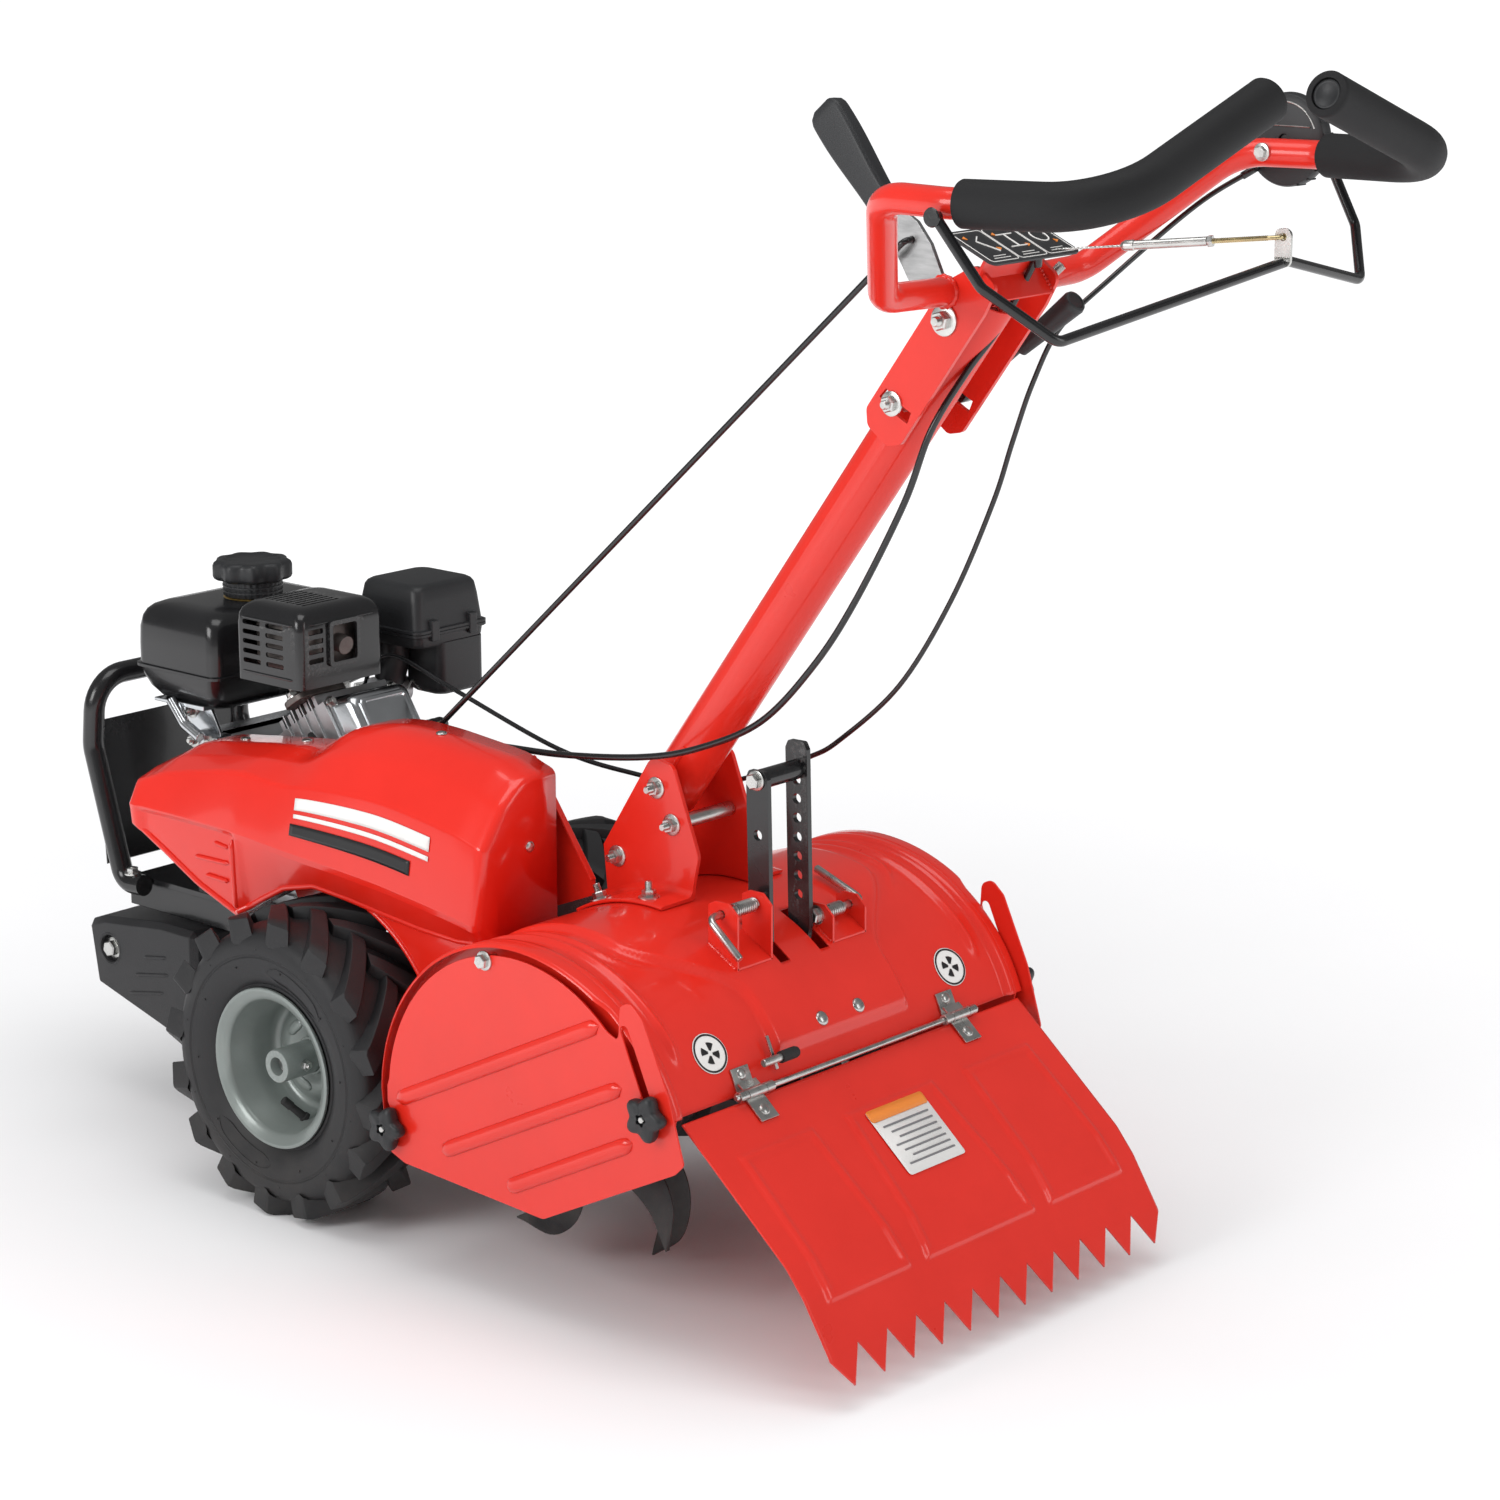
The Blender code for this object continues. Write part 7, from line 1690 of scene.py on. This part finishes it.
# bail, its tab, and the cable's adjuster
TAB_HOLE, ANCHOR = Vector((-1.018, -0.1, 1.113)), Vector((-0.795, -0.02, 1.09))
BAIL_X, BAIL_Z, BAIL_HALF = -0.932, 1.159, 0.306
bm = bmesh.new()
loop = fillet([(BAIL_X, 0.302, BAIL_Z), (BAIL_X, BAIL_HALF, BAIL_Z), (-0.972, 0.292, 1.1),
               (-1.017, 0.242, 1.052), (-1.018, -0.108, 1.09), (-1.012, -0.242, 1.059),
               (-0.972, -0.292, 1.104), (BAIL_X, -BAIL_HALF, BAIL_Z), (BAIL_X, -0.302, BAIL_Z)], 0.016, 8)
sweep(bm, loop, 0.005, 22)
piece("bail_rod", bm, BLACK, "bail", angle=50, replaces=["drive_bail"])
for side, hand in SIDES:
    bm = bmesh.new()
    lathe(bm, [(0, -0.004), (0.0052, -0.004), (0.0052, 0.004), (0.0085, 0.0042), (0.0088, 0.0052),
               (0.008, 0.0066), (0, 0.0072)], (BAIL_X, side * BAIL_HALF, BAIL_Z), (0, side, 0), 28)
    piece(f"{hand}_bail_pivot", bm, BLACK, "bail")
bm = bmesh.new()
plate(bm, rounded(oblong(-1.027, -1.009, 1.085, 1.121), 0.007, 6), -0.1015, -0.0985,
      holes=[circle(TAB_HOLE.x, TAB_HOLE.z, 0.0035, 24)])
weld(bm, [(-1.0255, -0.0978, 1.0925), (-1.0105, -0.0978, 1.0925)], 0.0018)
piece("bail_tab", bm, ZINC, "bail", 0.0005)
start = TAB_HOLE + Vector((0, 0.006, 0))
way = (ANCHOR - start).normalized()
bm = bmesh.new()
hook = fillet([TAB_HOLE + Vector((0, -0.004, 0)), TAB_HOLE + Vector((0, 0.0062, 0)), start + way * 0.012],
              0.004, 8)
sweep(bm, hook, 0.0022, 14)
rod(bm, TAB_HOLE + Vector((0, -0.0046, 0)), TAB_HOLE + Vector((0, -0.0032, 0)), 0.0042)
ridge = thread(0.0027, 0.0022, 0.012, 0.002, 0.001, 30)
lathe(bm, [(0, 0.012)] + ridge + [(0, 0.072)], start, way, 14)
piece("adjuster_rod", bm, YELLOW_ZINC, "turnbuckle", angle=25, replaces=["cable_turnbuckle"])
bm = bmesh.new()
lathe(bm, [(0, 0.069), (0.0036, 0.069), (0.0045, 0.07), (0.0045, 0.14), (0.0052, 0.1408), (0.0052, 0.149),
           (0.0036, 0.152), (0.002, 0.1535), (0, 0.1535)], start, way, 24)
lathe(bm, [(0.0028, 0.064), (0.0058, 0.064), (0.006, 0.0646), (0.006, 0.068), (0.0058, 0.0686),
           (0.0028, 0.0686)], start, way, 6, closed=True)
piece("adjuster_sleeve", bm, ZINC, "turnbuckle", angle=30)
bm = bmesh.new()
place = facing(start + way * 0.15, way)
for strand in range(3):
    spin = [i * 0.5 + strand * 2.094 for i in range(91)]
    helix = [place @ Vector((0.0006 * math.cos(a), 0.0006 * math.sin(a),
                             0.001 * i)) for i, a in enumerate(spin)]
    sweep(bm, helix, 0.0006, 6)
piece("bare_cable", bm, ZINC, "turnbuckle", angle=60)

# throttle: half-round housing with a bright line, lever, its screw and a clamp bolt
THROTTLE = Vector((-0.88, -0.302, 1.179))
bm = bmesh.new()
lathe(bm, [(0.006, 0.0), (0.04, 0.0), (0.0445, 0.002), (0.046, 0.005), (0.046, 0.013), (0.0445, 0.017),
           (0.04, 0.0195), (0.034, 0.02), (0.033, 0.0188), (0.02, 0.0188), (0.019, 0.02), (0.006, 0.02)],
      THROTTLE, (0, -1, 0), 72, closed=True)
for k in range(9):
    tooth = box(bm, (-0.001, -0.0175, 0.0452), (0.001, -0.0025, 0.0468))
    turn = Matrix.Translation(THROTTLE) @ Matrix.Rotation(math.radians(200 + 16 * k), 4, "Y")
    bmesh.ops.transform(bm, matrix=turn, verts=tooth)
piece("throttle_case", bm, PLASTIC, "handlebar", 0.0005, replaces=["throttle_housing"])
bm = bmesh.new()
FACE_Y = THROTTLE.y + 0.0004
sweep(bm, [(x, FACE_Y, z) for x, z in arc(THROTTLE.x, THROTTLE.z, 0.0375, 160, 20, 29)], 0.0008, 8)
sweep(bm, [(THROTTLE.x - 0.03 + 0.006 * i, FACE_Y, THROTTLE.z + 0.014) for i in range(11)], 0.0007, 8)
piece("throttle_line", bm, ZINC, "handlebar")
bm = bmesh.new()
eye, tip = THROTTLE.xz, Vector((-0.808, 1.206))
way = (tip - eye).normalized()
across = Vector((way.y, -way.x))
heading = math.degrees(math.atan2(way.y, way.x))
end = [(0.014, 0.0048), (0.004, 0.0068), (0.0, 0.005), (0.0, -0.005), (0.004, -0.0068), (0.014, -0.0048)]
end = [tip - way * back + across * out for back, out in end]
plate(bm, arc(*eye, 0.014, heading + 60, heading + 300, 24) + end, THROTTLE.y - 0.0255, THROTTLE.y - 0.0205)
rod(bm, (eye.x, THROTTLE.y - 0.002, eye.y), (eye.x, THROTTLE.y - 0.0235, eye.y), 0.0054)
piece("throttle_blade", bm, PLASTIC, "throttle", 0.0012, replaces=["throttle_lever"])
fastener("throttle_screw", (eye.x, THROTTLE.y - 0.0255, eye.y), (0, -1, 0), 0.0048, "throttle", nut=False)
fastener("throttle_clamp_bolt", (-0.88, -0.265, 1.17), (0, 1, 0), 0.0062, "handlebar", nut=False)

# control panel with three plain pictogram cells
PANEL_LOW = Vector((-0.821, 1.086))
PANEL_WAY = (Vector((-0.764, 1.111)) - PANEL_LOW).normalized()
PANEL_UP = Vector((-PANEL_WAY.y, PANEL_WAY.x))


def panel_spot(along, y, lift=0.0026):
    spot = PANEL_LOW + PANEL_WAY * along + PANEL_UP * lift
    return Vector((spot.x, y, spot.y))


def panel_shape(bm, outline, low, high):
    loft(bm, [[panel_spot(along, y, lift) for along, y in outline] for lift in (low, high)])


def panel_mark(bm, middle, radius, *spots):
    """A raised line on the panel; the spots are given from a cell's middle."""
    sweep(bm, [panel_spot(along, middle + y) for along, y in spots], radius, 6)


PANEL_LONG, CELL, CELL_PITCH = 0.0622, 0.0415, 0.0435
CELL_MARKS = (
    [[(0.036 + 0.01 * math.cos(a), 0.01 * math.sin(a)) for a in turns(30)[:25]]],
    [[(0.024, -0.012), (0.024, 0.012)], [(0.046, -0.012), (0.046, 0.012)], [(0.024, 0.0), (0.046, 0.0)]],
    [[(0.02, -0.01), (0.04, 0.004), (0.048, -0.006)]])
bm = bmesh.new()
panel_shape(bm, rounded(oblong(0.0, PANEL_LONG, -0.054, 0.082), 0.008, 6), 0.0, 0.0025)
piece("panel_plate", bm, PLASTIC, "handlebar", 0.0005, replaces=["control_panel"])
marks, arrows = bmesh.new(), bmesh.new()
for k, strokes in enumerate(CELL_MARKS):
    start = -0.05 + CELL_PITCH * k
    middle = start + 0.0207
    edge = rounded(oblong(0.004, PANEL_LONG - 0.004, start, start + CELL), 0.004, 4)
    panel_mark(marks, 0.0, 0.0005, *edge, edge[0])
    for stroke in strokes:
        panel_mark(marks, middle, 0.0009, *stroke)
    for along, half in ((0.009, 0.012), (0.013, 0.009)):
        panel_mark(marks, middle, 0.0005, (along, -half), (along, half))
    for way in (-1, 1):
        tip, y = 0.036 + way * 0.012, middle + way * 0.014
        panel_shape(arrows, [(tip, y + way * 0.002), (tip - 0.003, y - way * 0.003),
                             (tip + 0.003, y - way * 0.003)],
                    0.0025, 0.0031)
piece("panel_marks", marks, WHITE_PRINT, "handlebar")
piece("panel_arrows", arrows, ORANGE_PRINT, "handlebar")

# ---------------------------------------------------------------- cables


def flexible(name, bm, mat, replaces=()):
    """A smooth piece whose shape stays fixed in world space; it is attached to no body."""
    mesh = mesh_from(name, bm)
    mesh.materials.append(mat)
    mesh.shade_smooth()
    obj = link(name, mesh)
    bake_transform(obj)
    if replaces:
        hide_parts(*replaces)


def cable(name, points, radius, replaces=()):
    """A sheathed cable between chassis and handlebar, with a crimped ferrule at each end."""
    path = smooth_path(points, 10)
    bm = bmesh.new()
    sweep(bm, path, radius, 14)
    for end, inner in ((path[0], path[2]), (path[-1], path[-3])):
        way = (inner - end).normalized()
        rod(bm, end - way * 0.002, end + way * 0.016, radius * 1.45, 18)
    flexible(name, bm, BLACK, replaces)


cable("drive_cable_sheath",
      [(-0.795, -0.02, 1.09), (-0.792, -0.02, 1.079), (-0.763, -0.006, 1.017), (-0.738, 0.012, 0.973),
       (-0.712, 0.034, 0.915), (-0.688, 0.044, 0.843), (-0.632, 0.05, 0.739), (-0.583, 0.056, 0.667),
       (-0.52, 0.062, 0.602), (-0.44, 0.065, 0.562), (-0.361, 0.066, 0.539), (-0.245, 0.066, 0.522),
       (-0.125, 0.066, 0.513), (-0.09, 0.065, 0.496)], 0.0035, replaces=["drive_cable"])
cable("throttle_cable_sheath",
      [(-0.85, -0.3, 1.15), (-0.815, -0.25, 1.115), (-0.786, -0.15, 1.05), (-0.761, -0.104, 1.005),
       (-0.731, -0.101, 0.948), (-0.708, -0.1, 0.887), (-0.69, -0.093, 0.824), (-0.648, -0.082, 0.722),
       (-0.588, -0.075, 0.626), (-0.513, -0.07, 0.557), (-0.47, -0.07, 0.531), (-0.4, -0.064, 0.5),
       (-0.32, -0.06, 0.476), (-0.239, -0.06, 0.474), (-0.119, -0.06, 0.482), (0.046, -0.06, 0.524),
       (0.137, -0.056, 0.55), (0.178, -0.056, 0.53), (0.21, -0.072, 0.5), (0.244, -0.076, 0.486)], 0.0027)

# starter rope, from inside the cowl into the grip's ferrule
inner, outer = GRIP_AT - GRIP_WAY * 0.052, GRIP_AT - GRIP_WAY * 0.012
bm = bmesh.new()
sweep(bm, [inner.lerp(outer, i / 24) for i in range(25)], 0.002, 10)
flexible("starter_rope", bm, BELT)

# ---------------------------------------------------------------- floor, light and camera

FLOOR_HALF = 90.0
bm = bmesh.new()
bmesh.ops.create_grid(bm, x_segments=8, y_segments=8, size=FLOOR_HALF)
floor = link("floor", mesh_from("floor", bm))
floor.data.materials.append(FLOOR)
floor.location = (0, 0, -0.0005)

# the sweep fades to white away from the machine
nodes, links = FLOOR.node_tree.nodes, FLOOR.node_tree.links
distance = nodes.new("ShaderNodeVectorMath")
distance.operation = "LENGTH"
links.new(nodes.new("ShaderNodeTexCoord").outputs["Object"], distance.inputs[0])
fade = nodes.new("ShaderNodeMapRange")
for key, number in (("From Min", 0.6), ("From Max", 3.2), ("To Min", 0.0), ("To Max", 0.42)):
    fade.inputs[key].default_value = number
links.new(distance.outputs["Value"], fade.inputs["Value"])
links.new(fade.outputs["Result"], nodes["Principled BSDF"].inputs["Emission Strength"])
nodes["Principled BSDF"].inputs["Emission Color"].default_value = (1.0, 1.0, 1.0, 1.0)

# an even white room that mirrors darker than it lights, so the paint keeps its colour
world = bpy.data.worlds.new("studio")
bpy.context.scene.world = world
world.use_nodes = True
nodes, links = world.node_tree.nodes, world.node_tree.links
room = nodes["Background"]
room.inputs["Color"].default_value = (1.0, 1.0, 1.0, 1.0)
strength = nodes.new("ShaderNodeMapRange")
strength.inputs["To Min"].default_value = 0.74
strength.inputs["To Max"].default_value = 0.2
links.new(nodes.new("ShaderNodeLightPath").outputs["Is Glossy Ray"], strength.inputs["Value"])
links.new(strength.outputs["Result"], room.inputs["Strength"])


def softbox(name, place, target, size, power):
    light = bpy.data.lights.new(name, "AREA")
    light.shape, light.size, light.size_y, light.energy = "RECTANGLE", size[0], size[1], power
    obj = bpy.data.objects.new(name, light)
    bpy.context.scene.collection.objects.link(obj)
    obj.location = place
    obj.rotation_euler = (Vector(target) - Vector(place)).to_track_quat("-Z", "Y").to_euler()


softbox("key", (0.4, 3.2, 1.9), (-0.2, 0.1, 0.35), (1.6, 1.4), 46)
softbox("top", (-0.5, 0.3, 3.4), (-0.3, 0.0, 0.3), (2.2, 1.6), 26)
softbox("rear", (-3.4, -0.9, 1.7), (-0.5, 0.0, 0.5), (0.9, 1.6), 12)

camera = bpy.data.objects.new("camera", bpy.data.cameras.new("camera"))
bpy.context.scene.collection.objects.link(camera)
heading, drop = math.radians(48.597), math.radians(14.277)
look = Vector((math.cos(heading) * math.cos(drop), -math.sin(heading) * math.cos(drop), -math.sin(drop)))
camera.location = (-3.0017, 2.8931, 1.5306)
camera.rotation_mode = "QUATERNION"
camera.rotation_quaternion = look.to_track_quat("-Z", "Y")
camera.data.lens, camera.data.sensor_width = 92.54, 36.0
camera.data.clip_end = 60.0
bpy.context.scene.camera = camera
bpy.context.scene.view_settings.view_transform = "Standard"
